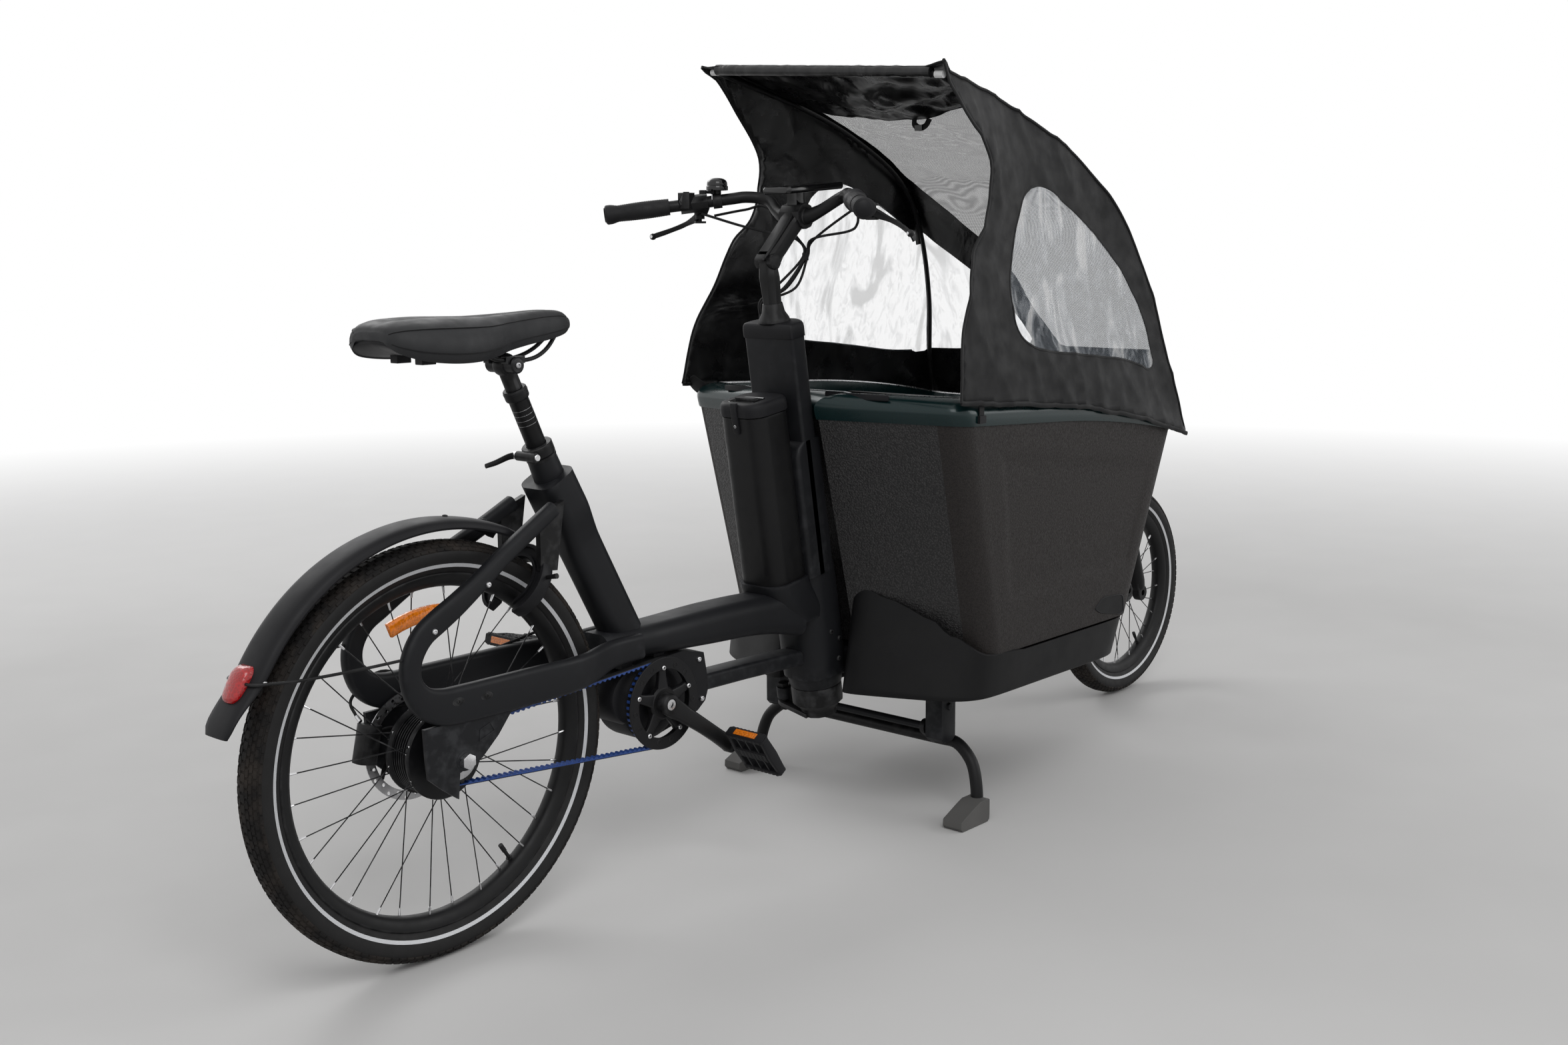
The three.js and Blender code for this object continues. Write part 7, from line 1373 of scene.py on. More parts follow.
def toothed(from_s, to_s):
    """Stations of a toothed run: distance along and depth inwards."""
    count = int((to_s - from_s) / PITCH)
    start = (from_s + to_s - count * PITCH) / 2
    out = []
    for k in range(count + 1):
        s = start + k * PITCH
        out += [(s - 4.4, 0.0), (s - 2.9, 1.2), (s - 1.9, 2.7), (s - 0.8, 3.0), (s + 0.8, 3.0),
                (s + 1.9, 2.7), (s + 2.9, 1.2), (s + 4.4, 0.0)]
    return out


def clear(teeth):
    return math.sqrt(2 * pitch_radius(teeth) * 3.6) + PITCH / 2


low_from = straight + front_arc
stations = toothed(clear(24), straight - clear(44))
stations += [(straight + front_arc * k / 40, -0.3) for k in range(41)]
stations += toothed(low_from + clear(44), low_from + straight - clear(24))
stations += [(low_from + straight + rear_arc * k / 24, -0.3) for k in range(25)]
rings = []
for s, depth in stations:
    x0, z0 = on_belt(s, depth)
    x1, z1 = on_belt(s, -1.6)
    x2, z2 = on_belt(s, -3.0)
    rings.append([at(x0, BELT_OUT, z0), at(x1, BELT_OUT, z1), at(x2, -61.4, z2), at(x2, -50.6, z2),
                  at(x1, BELT_IN, z1),
                  at(x0, BELT_IN, z0)])
belt.stack(rings, 0, loop=True)
for f in range(len(rings) * 6):
    if f % 6 in (1, 2, 3):
        belt.looks[f] = 1
belt.build("frame", ("drive_belt",), "belt_blue", sharp=40)


def toothed_wheel(piece, centre, teeth, y_low, y_high, inner, look, tooth_look):
    """A ring whose rounded grooves would take the belt's teeth."""
    radius = pitch_radius(teeth)
    outline, looks = [], []
    for i in range(teeth):
        for share, deep in ((-0.3, 0.6), (-0.19, 1.4), (-0.12, 3.2), (0, 3.6), (0.12, 3.2), (0.19, 1.4),
                            (0.3, 0.6), (0.5, 0.55)):
            a = 2 * math.pi * (i + share) / teeth
            outline.append((radius - deep, a))
            looks.append(tooth_look if abs(share) > 0.25 else look)
    rings = []
    for y in (y_low, y_high):
        rings.append([centre + polar(r, a, y) for r, a in outline])
        rings.append([centre + polar(inner, a, y) for r, a in outline])
    count = len(outline)
    piece.stack([rings[0], rings[2], rings[3], rings[1]], look, loop=True)
    base = len(piece.looks) - 4 * count
    for i in range(count):
        piece.looks[base + i] = looks[i]


rear_pulley = Piece("rear_pulley_detailed", SATIN, BELT, STEEL)
toothed_wheel(rear_pulley, REAR_AXLE, 24, -62.3, -49.7, 8, 0, 0)
rear_pulley.lathe([[7, -49.8], [21, -49.8], [24, -47], [24, -40.3], [7, -40.3]], REAR_AXLE, AXIS_Y, 40, 0)
rear_pulley.lathe([[7, -62.2], [33, -62.2], [34.5, -63.1], [20, -63.2], [15, -62.4], [7, -62.4]], REAR_AXLE,
                  AXIS_Y, 40, 2)
rear_pulley.build("driven_pulley", ("rear_pulley",), "fitting_black", sharp=38)

front_pulley = Piece("front_pulley_detailed", SATIN, BELT, SILVER, FITTING)
toothed_wheel(front_pulley, BRACKET, 44, -62.3, -49.7, front_r - 12, 0, 1)
front_pulley.lathe([[front_r - 16, -65.2], [front_r + 4, -65.2], [front_r + 5, -64.4], [front_r + 4.6, -62.3],
                    [front_r - 16, -62.3]], BRACKET, AXIS_Y, 96, 3)
front_pulley.lathe([[10, -65.2], [26, -65.2], [30, -62], [30, -52], [26, -49.8], [10, -49.8]], BRACKET,
                   AXIS_Y, 48, 0)
for i in range(5):
    a = 2 * math.pi * i / 5 + math.pi / 2
    out = spoke(a)
    side = Vector((-out.z, 0, out.x))
    rows = [(BRACKET + out * mm(r) + AXIS_Y * mm(-58), side, AXIS_Y, hw, hy, 3) for r, hw, hy in
            ((24, 12.5, 6), (38, 10, 5.6), (52, 8.2, 5.2), (front_r - 9, 9.5, 5))]
    front_pulley.loft(rows, 3, steps=3, corner_steps=3)
    front_pulley.bolt(BRACKET + out * mm(front_r - 14) + AXIS_Y * mm(-64.6), -AXIS_Y, 4.4, 2.6, 2)
    for turn in (0.33, 0.67):
        b = a + 2 * math.pi * turn / 5
        front_pulley.lathe([[3.2, 0], [5.2, 0], [5.2, 0.7], [3.2, 0.7]], BRACKET + polar(front_r - 8, b,
                                                                                         -65.1), -AXIS_Y, 16,
                           0)
front_pulley.build("crankset", ("front_pulley",), "fitting_black", bevel=0.4, sharp=38)

CRANK_ANGLE = math.radians(-37)
for name, node, body, side, tail, tilt_degrees in (("crank_right_detailed", "crank_right", "crankset", -1,
                                                    "right", 55),
                                                   ("crank_left_detailed", "crank_left", "crankset", 1,
                                                    "left", 12)):
    angle = CRANK_ANGLE + (0 if side < 0 else math.pi)
    out = spoke(angle)
    across = Vector((-out.z, 0, out.x))
    start = BRACKET + AXIS_Y * mm(side * 74)
    piece = Piece(name, SATIN, SILVER, GLOSS)
    rows = []
    for along, lift, size, thick in ((-0.06, 0, 0.9, 6.6), (-0.02, 0, 1, 7.5), (0.1, 0.08, 0.96, 7.5),
                                     (0.25, 0.32, 0.82, 7.5), (0.5, 0.75, 0.72, 7.5),
                                     (0.75, 0.95, 0.7, 7.5), (0.92, 1, 0.74, 7.5), (1.0, 1, 0.74, 7.5),
                                     (1.07, 1, 0.6, 6.4)):
        rows.append((start + out * mm(along * CRANK_LENGTH) + AXIS_Y * mm(side * lift * 20), across, AXIS_Y,
                     19 * size, thick, 5))
    piece.loft(rows, 0, steps=4, corner_steps=4)
    piece.lathe([[0, side * -12], [17, side * -12], [19, side * -10], [19, side * 6], [17, side * 8.6],
                 [11, side * 9.4], [10.4, side * 7.5], [0, side * 7.5]],
                start, AXIS_Y, 36, 0)
    piece.lathe([[0, side * 7.6], [9.6, side * 7.6], [9.6, side * 8.6], [5, side * 9], [4.6, side * 7.8],
                 [0, side * 7.8]], start, AXIS_Y, 24, 1)
    eye = start + out * mm(CRANK_LENGTH) + AXIS_Y * mm(side * 20)
    piece.lathe([[5.9, side * -7.5], [13, side * -7.5], [14, side * -6.4], [14, side * 6.4], [13, side * 7.5],
                 [5.9, side * 7.5]], eye, AXIS_Y, 28, 0)
    piece.disc(5.6, -7.2, 7.2, eye, AXIS_Y, 8, 1, 0.5)
    if side < 0:
        piece.rod(at(BRACKET_X, -74, BRACKET_Z), at(BRACKET_X, 88.6, BRACKET_Z), 9.4, 1, 24)
    piece.build(body, (node,), "fitting_black", sharp=38)

    pedal = Piece(f"pedal_{tail}_detailed", MOULDED, AMBER, SATIN, RUBBER)
    tip = math.radians(tilt_degrees)
    u, w = Vector((math.cos(tip), 0, -math.sin(tip))), Vector((math.sin(tip), 0, math.cos(tip)))
    middle = eye + AXIS_Y * mm(side * (12 + 7.5 + 44))

    def on_pedal(a, b, c):
        return middle + u * mm(a) + AXIS_Y * mm(b) + w * mm(c)
    for s in (-1, 1):
        pedal.loft([(on_pedal(s * 41, b, 0), u, w, 4.5, 10.5 if abs(b) < 40 else 8.5, 2.5)
                    for b in (-43, -38, 38, 43)], 0, corner_steps=3)
        pedal.loft([(on_pedal(a, s * 39.4, 0), AXIS_Y, w, 4.5, 10.5 if abs(a) < 38 else 8.5, 2.5)
                    for a in (-43, -38, 0, 38, 43)], 0, corner_steps=3)
        pedal.block(on_pedal(s * 45.6, 0, 0), 1.6, 25, 5.6, 1, (u, AXIS_Y, w))
        for t in range(9):
            pedal.block(on_pedal(s * 41, -36 + t * 9, 0), 3.2, 2.6, 11.0, 3, (u, AXIS_Y, w))
    pedal.loft([(on_pedal(0, b, 0), u, w, 11, h, 4) for b, h in ((-40, 9), (-30, 10.6), (30, 10.6), (40, 9))],
               0, corner_steps=4)
    for t in range(8):
        pedal.block(on_pedal(0, -31.5 + t * 9, 0), 9, 2.6, 11.0, 3, (u, AXIS_Y, w))
    for s in (-1, 1):
        for t in (-1, 0, 1):
            pedal.block(on_pedal(s * 24, t * 20, 0), 15, 1.9, 8.6, 0, (u, AXIS_Y, w))
    pedal.disc(5.4, side * -63.4, side * -40, middle, AXIS_Y, 20, 2, 0.4)
    pedal.build(f"{tail}_pedal", (f"pedal_{tail}",), "moulded_black", bevel=0.5, sharp=40)

# Canopy: one cloth sheet with a window on each side, film round the left front corner and a netting roof,
# on two bows and a rear bar

RIDGE = [Vector(p) for p in (
    (935, 285, 1450), (1169, 245, 1404), (1340, 240, 1345), (1500, 245, 1262), (1610, 270, 1150),
    (1680, 295, 1000), (1718, 320, 850), (1746, 331, 775), (1768, 337, 710))]
HEM = [Vector(p) for p in ((915, 351, 833), (1120, 351, 815), (1338, 351, 793), (1560, 351, 752),
                           (1756, 351, 706))]
REAR_EDGE = [Vector(p) for p in (
    (935, 285, 1450), (1015, 287, 1372), (1087, 288, 1290), (1085, 288, 1220), (1062, 290, 1160),
    (1015, 300, 1110), (978, 320, 1020), (940, 336, 950), (915, 351, 833))]


def spline(points, share):
    """A centripetal curve through points, at a share counted in spans."""
    spans = len(points) - 1
    place = min(max(share, 0), 1) * spans
    k = min(int(place), spans - 1)
    u = place - k
    b, c = points[k], points[k + 1]
    a = points[k - 1] if k else 2 * b - c
    d = points[k + 2] if k + 2 <= spans else 2 * c - b
    before, middle, after = ((q - p).length ** 0.5 for p, q in ((a, b), (b, c), (c, d)))
    out = ((b - a) / before - (c - a) / (before + middle) + (c - b) / middle) * middle
    into = ((c - b) / middle - (d - b) / (middle + after) + (d - c) / after) * middle
    return (b * (2 * u ** 3 - 3 * u ** 2 + 1) + out * (u ** 3 - 2 * u ** 2 + u)
            + c * (3 * u ** 2 - 2 * u ** 3) + into * (u ** 3 - u ** 2))


def even(points, step):
    """Points on the spline, about one step (mm) apart."""
    fine = [spline(points, i / 600) for i in range(601)]
    lengths = [0.0]
    for p, q in zip(fine, fine[1:]):
        lengths.append(lengths[-1] + (q - p).length)
    count = max(2, round(lengths[-1] / step))
    out, k = [], 0
    for i in range(count + 1):
        want = lengths[-1] * i / count
        while k < 599 and lengths[k + 1] < want:
            k += 1
        share = (want - lengths[k]) / max(lengths[k + 1] - lengths[k], 1e-9)
        out.append(fine[k].lerp(fine[k + 1], min(share, 1)))
    return out


def side_panel(t, v):
    """The side's surface, blended from its four edges."""
    ridge, hem, rear = spline(RIDGE, t), spline(HEM, t), spline(REAR_EDGE, 1 - v)
    front = RIDGE[-1].lerp(HEM[-1], 1 - v)
    corners = HEM[0].lerp(RIDGE[0], v).lerp(HEM[-1].lerp(RIDGE[-1], v), t)
    return hem.lerp(ridge, v) + rear.lerp(front, t) - corners


def inside(point, outline):
    """Whether a flat point lies within an outline."""
    x, z = point
    hit = False
    for (ax, az), (bx, bz) in zip(outline, outline[1:] + outline[:1]):
        if (az > z) != (bz > z) and x < (bx - ax) * (z - az) / (bz - az) + ax:
            hit = not hit
    return hit


def flat_mesh(outline, inner, step):
    """Triangles over a flat outline, whose inner outlines are edges of the mesh too."""
    points = list(outline)
    edges = [(i, (i + 1) % len(outline)) for i in range(len(outline))]
    for ring, closed in inner:
        base = len(points)
        points += ring
        edges += [(base + i, base + (i + 1) % len(ring)) for i in range(len(ring) - (not closed))]
    near = {}
    for p in points:
        near.setdefault((int(p[0] // step), int(p[1] // step)), []).append(p)

    def free(p):
        i, k = int(p[0] // step), int(p[1] // step)
        return all((q[0] - p[0]) ** 2 + (q[1] - p[1]) ** 2 > (0.62 * step) ** 2
                   for a in (-1, 0, 1) for b in (-1, 0, 1) for q in near.get((i + a, k + b), ()))

    xs, zs = [p[0] for p in outline], [p[1] for p in outline]
    row, z = 0, min(zs)
    while z < max(zs):
        x = min(xs) + (step / 2 if row % 2 else 0)
        while x < max(xs):
            p = (x + 1.3 * noise.noise(Vector((x * 0.21, z * 0.21, 1))),
                 z + 1.3 * noise.noise(Vector((x * 0.21, z * 0.21, 7))))
            if inside(p, outline) and free(p):
                points.append(p)
            x += step
        z += step * 0.866
        row += 1
    made = geometry.delaunay_2d_cdt([Vector(p) for p in points], edges, [], 1, 0.001)
    return [(v.x, v.y) for v in made[0]], [tuple(f) for f in made[2]]


STEP = 12.0
ridge_line = even(RIDGE, STEP)
hem_line = even(HEM, STEP)
rear_line = even(REAR_EDGE, STEP)
ridge_run = [0.0]
for p, q in zip(ridge_line, ridge_line[1:]):
    ridge_run.append(ridge_run[-1] + (q - p).length)


def wavy(p, side):
    """The hem ripples a little where it hangs over the rim."""
    lift = 4.0 * noise.noise(Vector((p.x * 0.013, side * 3.0,
                                     0))) + 2.2 * noise.noise(Vector((p.x * 0.05, side * 5.0, 2)))
    return Vector((p.x, p.y, p.z + lift))


WINDOW = [(1266, 1232), (1300, 1235), (1334, 1227), (1373, 1207), (1435, 1173), (1503, 1128), (1552, 1084),
          (1594, 1033), (1624, 985),
          (1642, 941), (1651, 889), (1650, 858), (1626, 849), (1594, 859), (1547, 872), (1462, 883),
          (1351, 896), (1246, 909), (1195, 917),
          (1159, 930), (1137, 950), (1130, 980), (1137, 1026), (1149, 1065), (1175, 1118), (1204, 1170),
          (1231, 1214)]
# On the left side the film goes on round the front corner, so its outline runs out over the ridge.
LEFT_WINDOW = [(1348, 1240), (1420, 1213), (1500, 1178), (1554, 1152), (1600, 1120)]
LEFT_WINDOW_FOOT = [(1702, 862), (1650, 866), (1594, 868), (1547, 872), (1462, 883), (1351, 896), (1246, 909),
                    (1195, 917), (1159, 930),
                    (1137, 950), (1130, 980), (1137, 1026), (1149, 1065), (1175, 1118), (1204, 1170),
                    (1231, 1214), (1262, 1238), (1300, 1247)]


def sampled(points, step, closed):
    """Points about one step apart along a smooth flat line."""
    rows = [Vector((a, b, 0)) for a, b in points]
    if closed:
        rows.append(rows[0])
    line = even(rows, step)
    return [(p.x, p.y) for p in (line[:-1] if closed else line)]


NET_REAR, NET_EDGE = 232.0, 13.0
NET_LEFT = [(1155, 236), (1300, 228), (1413, 226), (1500, 222), (1548, 198), (1582, 168), (1608, 140),
            (1628, 108), (1665, 42), (1687, 16),
            (1699, -18), (1708, -48)]
FRONT_FILM = [(772, 266), (806, 236), (840, 197), (876, 154), (925, 100), (975, 62), (1015, 36), (1038, 24),
              (1052, 42), (1060, 120),
              (1065, 200), (1068, 318)]


def ridge_at(run):
    """The ridge's place at a length along it."""
    k = 0
    while k < len(ridge_run) - 2 and ridge_run[k + 1] < run:
        k += 1
    return ridge_line[k].lerp(ridge_line[k + 1], (run - ridge_run[k]) / (ridge_run[k + 1] - ridge_run[k]))


def run_at(x):
    """The length along the ridge at a place x."""
    k = 0
    while k < len(ridge_run) - 2 and ridge_line[k + 1].x < x:
        k += 1
    return ridge_run[k] + (ridge_run[k + 1] - ridge_run[k]) * (x - ridge_line[k].x) / (ridge_line[k + 1].x
                                                                                       - ridge_line[k].x)


def roof_point(run, y):
    """The roof's smooth form: it sags behind the netting and bulges at the front."""
    ridge = ridge_at(run)
    crown = 1 - (y / ridge.y) ** 2
    sag = smoothstep(20, 190, run) * smoothstep(640, 260, run)
    return Vector((ridge.x + crown * 16 * (run / ridge_run[-1]) ** 3, y, ridge.z - crown * 34 * sag))


def settled(p):
    """The canopy hangs a little askew: its rear bar is low on the right and high on the left."""
    right, left = -27 * smoothstep(1650, 935, p.x), 17 * smoothstep(1200, 935, p.x)
    share = smoothstep(760, 1430, p.z) * (right + (left - right) * min(max(0.5 + p.y / 570, 0), 1))
    return Vector((p.x, p.y, p.z + share))


def folds(p, look, run=None, edge=0.0):
    """How far the cloth stands off its smooth form, in mm; edge is the distance from the ridge."""
    q = p * 0.001
    broad = noise.noise(Vector((q.x * 5, q.y * 6, q.z * 4))) * 4.5
    drawn = (1 - abs(noise.noise(Vector((q.x * 11 + q.z * 6, q.y * 5, q.z * 3.5 - q.x * 4))))) ** 6 * 3.2
    small = noise.noise(Vector((q.x * 28, q.y * 28, q.z * 28))) * 1.1
    if run is None:
        return broad + drawn * (1.5 if look == 1 else 1.0) + small
    lip = (1 - abs(noise.noise(Vector((q.x * 13, q.y * 9, 3 + q.z * 5))))) ** 3 * 11 - 6
    crease = (1 - abs(noise.noise(Vector((q.x * 31 + 2, q.y * 19, q.z * 7))))) ** 4 * 5.5
    share = smoothstep(0, 45, edge) * smoothstep(NET_REAR + 40, NET_REAR - 10, run) * smoothstep(30, 90, run)
    off_bar = smoothstep(0, 60, run)
    return (broad + small) * off_bar + share * (lip + crease) + (1 - share) * 0.5 * drawn * off_bar


def snapped(exact):
    """Looks up the exact place of a flat point, where it has one."""
    tree = kdtree.KDTree(len(exact))
    for i, (a, b, _) in enumerate(exact):
        tree.insert((a, b, 0), i)
    tree.balance()

    def find(a, b):
        _, i, distance = tree.find((a, b, 0))
        return exact[i][2] if distance < 0.02 else None
    return find


def canopy():
    spots, faces, looks, known = [], [], [], {}

    def vertex(p, move):
        key = (round(p.x, 3), round(p.y, 3), round(p.z, 3))
        if key not in known:
            known[key] = len(spots)
            spots.append((p, move))
        return known[key]

    lines = {}
    quads = [(i * 31 + k, i * 31 + k + 1, (i + 1) * 31 + k + 1, (i + 1) * 31 + k) for i in range(60)
             for k in range(30)]
    surface = bvhtree.BVHTree.FromPolygons([side_panel(i / 60, k / 30) for i in range(61) for k in range(31)],
                                           quads)

    def depth(x, z):
        hit = surface.ray_cast(Vector((x, 0, z)), AXIS_Y)[0] or surface.find_nearest(Vector((x, 345, z)))[0]
        return hit.y

    left_chain = sampled(LEFT_WINDOW_FOOT[1:] + LEFT_WINDOW, STEP, False)
    for side in (-1, 1):
        outline = sampled(WINDOW, STEP, True) if side < 0 else left_chain + [(1680, 1100), (1790, 1000),
                                                                             (1790, 862)]
        chain = outline if side < 0 else left_chain
        hem = [wavy(p, side) for p in hem_line[1:]]
        edge = [(p.x, p.z) for p in reversed(rear_line)][:-1] + [(p.x, p.z) for p in ridge_line]
        edge += [(p.x, p.z) for p in reversed(hem)]
        lines["ridge", side] = [Vector((p.x, side * p.y, p.z)) for p in ridge_line]
        lines["rear", side] = [Vector((p.x, side * p.y, p.z)) for p in rear_line]
        lines["hem", side] = [lines["rear", side][-1]] + [Vector((p.x, side * p.y, p.z)) for p in hem]
        lines["window", side] = [Vector((x, side * depth(x, z), z)) for x, z in chain]
        exact = snapped([(p.x, p.z, p) for name in ("ridge", "rear", "hem", "window")
                         for p in lines[name, side]])
        flat, tris = flat_mesh(edge, [(chain, side < 0)], STEP)
        found = []
        for x, z in flat:
            p = exact(x, z) or Vector((x, side * depth(x, z), z))
            found.append(vertex(p, folds(p, 1 if inside((x, z), outline) else 0)))
        for tri in tris:
            middle = (sum(flat[i][0] for i in tri) / 3, sum(flat[i][1] for i in tri) / 3)
            faces.append(tuple(found[i] for i in tri))
            looks.append(1 if inside(middle, outline) else 0)
    wide_rear, wide_front = ridge_line[0].y, ridge_line[-1].y
    edge = [(run, -p.y) for run, p in zip(ridge_run, ridge_line)]
    edge += [(ridge_run[-1], -wide_front + 2 * wide_front * i / 54) for i in range(1, 54)]
    edge += [(run, p.y) for run, p in zip(reversed(ridge_run), reversed(ridge_line))]
    edge += [(0.0, wide_rear - 2 * wide_rear * i / 46) for i in range(1, 46)]
    left = [(run_at(x), y) for x, y in NET_LEFT]
    foot = left[-1][0]
    runs = [NET_REAR + (foot - NET_REAR) * i / 66 for i in range(67)]
    net = [(run, -(ridge_at(run).y - NET_EDGE)) for run in runs]
    reach = -net[-1][1]
    net += [(foot + 4, -reach + (reach - 48) * i / 18) for i in range(1, 18)]
    net += list(reversed(sampled(left, STEP, False)))
    reach = ridge_at(NET_REAR).y - NET_EDGE
    lip = [(NET_REAR + 16 * (1 - (y / reach) ** 2) + 4 * noise.noise(Vector((y * 0.03, 0, 0))), y)
           for y in (reach - 6 - 2 * reach * i / 40 for i in range(1, 40))]
    net += lip
    film_chain = sampled(FRONT_FILM, STEP, False)
    film = film_chain + [(1068, 420), (772, 420)]
    flat, tris = flat_mesh(edge, [(net, True), (film_chain[1:-1], False)], STEP)
    exact = snapped([(run, side * q.y, p) for side in (-1, 1) for run, q, p in zip(ridge_run, ridge_line,
                                                                                   lines["ridge", side])])
    found = []
    for run, y in flat:
        p = exact(run, y) or roof_point(run, y)
        found.append(vertex(p, folds(p, 0, run, ridge_at(run).y - abs(y))))
    for tri in tris:
        middle = (sum(flat[i][0] for i in tri) / 3, sum(flat[i][1] for i in tri) / 3)
        faces.append(tuple(found[i] for i in tri))
        looks.append(2 if inside(middle, net) else 1 if inside(middle, film) else 0)
    lines["lip", 0] = [roof_point(run, y) for run, y in lip]
    mesh = bpy.data.meshes.new("canopy_sheet_detailed")
    mesh.from_pydata([tuple(at(*p)) for p, _ in spots], [], faces)
    mesh.polygons.foreach_set("material_index", looks)
    for material in (NYLON, FILM, NETTING, LINING, FILM, NETTING):
        mesh.materials.append(material)
    obj = in_scene("canopy_sheet_detailed", mesh)
    normals(obj)
    middle = at(1300, 0, 950)
    if sum(v.normal.dot(v.co - middle) for v in mesh.vertices) < 0:
        mesh.flip_normals()
    moved = [v.co + v.normal * mm(move) + (settled(p) - p) / 1000
             for v, (p, move) in zip(mesh.vertices, spots)]
    for v, co, (p, _) in zip(mesh.vertices, moved, spots):
        near = 1 - smoothstep(0, 42, (Vector((p.x, abs(p.y), p.z)) - RIDGE[0]).length)
        v.co = co + near * Vector((mm(-7), math.copysign(mm(11), p.y), mm(9 if p.y < 0 else -4)))
    mesh.shade_smooth()
    skin = obj.modifiers.new("cloth", "SOLIDIFY")
    skin.thickness = mm(1.8)
    skin.offset = -1
    skin.material_offset = 3
    tree = kdtree.KDTree(len(spots))
    for i, (p, _) in enumerate(spots):
        tree.insert(p, i)
    tree.balance()
    paths = {name: [mesh.vertices[tree.find(p)[1]].co.copy() for p in points]
             for name, points in lines.items()}
    return obj, paths


canopy_sheet, canopy_lines = canopy()
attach(canopy_sheet, "frame")
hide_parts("canopy_sheet")

binding = Piece("canopy_bindings", WEBBING, LINING)
for side in (-1, 1):
    binding.tube(canopy_lines["ridge", side], 3.2, 8, 0, 1, flat=1.0)
    binding.tube(canopy_lines["rear", side], 4.2, 8, 0, 1, flat=0.42, side_axis=AXIS_Y)
    binding.tube(canopy_lines["hem", side], 4.6, 8, 0, 1, flat=0.42, side_axis=AXIS_Y)
    around = canopy_lines["window", side]
    binding.tube(around + around[:1] if side < 0 else around, 2.6, 6, 0, 1, flat=0.35, side_axis=AXIS_Y)
sleeve = [at(*settled(Vector((941 + 1.5 * noise.noise(Vector((k * 0.4, 0, 0))), 266 - 526 * k / 60,
                              1441 + 1.2 * noise.noise(Vector((0, k * 0.5, 3))))))) for k in range(61)]
binding.tube(sleeve, 10.5, 16, 1, 1, radii=[1.0] * 61)
binding.tube([p + Vector((0, 0, mm(-1))) for p in canopy_lines["lip", 0]], 3.4, 8, 1, 1, flat=0.5,
             side_axis=AXIS_Z)
binding = binding.build("frame", slot="cloth_black", sharp=60)

straps = Piece("canopy_straps", WEBBING, GLOSS, MOULDED)
for side in (-1, 1):
    straps.block(at(986, side * 345.5, 815), 7.5, 1.0, 14, 0)
    straps.block(at(986, side * 346.5, 797), 10, 3.0, 7, 2)
loop_at = canopy_lines["lip", 0][24]
straps.tube([loop_at + step(a, b, c) for a, b, c in ((2, -18, -2), (-2, -12, -15),
                                                                     (-3, 2, -19), (-1, 16, -12),
                                                                     (2, 19, -1))],
            6.5, 8, 0, 5, flat=0.2, side_axis=AXIS_X)
straps.block(loop_at + step(-4, 3, -19), 3.2, 9, 5.5, 1)
tail = [at(932, 346, 846), at(948, 335, 826), at(962, 318, 812), at(985, 300, 811)]
straps.tube(tail, 20, 10, 0, 6, radii=[0.8, 1.15, 0.9, 0.5], flat=0.16, side_axis=Vector((0.4, 0.3, 1)))
straps = straps.build("frame", slot="cloth_black", bevel=0.4, sharp=45)

bows = Piece("canopy_frame_detailed", SATIN, WHITE)
for side in (-1, 1):
    points = []
    for k, p in enumerate(RIDGE[:-1]):
        along = RIDGE[k + 1] - RIDGE[max(k - 1, 0)]
        run = math.hypot(along.x, along.z)
        points.append(Vector((p.x + 14 * along.z / run + (14 if k == 0 else 0), side * (p.y - 14),
                              p.z - 14 * along.x / run)))
    points = [at(*settled(p)) for p in points] + [at(1712, side * 304, rim_low(1712) + 25)]
    bows.tube(points, 4.9, 14, 0, 6)
    bows.rod(*(at(*settled(Vector((946, side * y, 1437)))) for y in (266, 284)), 6.6, 1, 16)
bows.rod(*(at(*settled(Vector((946, y, 1437)))) for y in (-271, 271)), 6.2, 0, 16)
bows.build("frame", ("canopy_frame",), "fitting_black", sharp=40)

# Handlebar, grips, twist grip, levers and bell

BAR = Vector((872, 0, 1167))
SHOULDER, BAR_END = Vector((868, 128, 1205)), Vector((683, 314, 1173))


def on_bar(side, share):
    p = SHOULDER.lerp(BAR_END, share)
    return at(p.x, side * p.y, p.z)


def bar_axes(side):
    """Along the grip, level across it, and up from it."""
    along = (on_bar(side, 1) - on_bar(side, 0)).normalized()
    level = along.cross(AXIS_Z).normalized() * -side
    return along, level, level.cross(along).normalized() * -side


handlebar = Piece("handlebar_detailed", SATIN, FITTING)
for side in (-1, 1):
    points = [at(872, side * y, z) for y, z in ((20, 1167), (31, 1167))] + [at(880, side * 56, 1178),
                                                                            at(892, side * 84, 1196)]
    points += [at(887, side * 106, 1203), on_bar(side, 0), on_bar(side, 0.1), on_bar(side, 0.3),
               on_bar(side, 1)]
    handlebar.tube(points, 11.0, 20, 0, 8, radii=[1.35, 1.28, 1.02, 1, 1, 1, 1, 1, 1])
handlebar.lathe([[0, -29], [14.6, -29], [15.9, -26], [15.9, 26], [14.6, 29], [0, 29]], at(*BAR), AXIS_Y, 32,
                0)
handlebar.build("steering", ("handlebar",), "fitting_black", sharp=40)


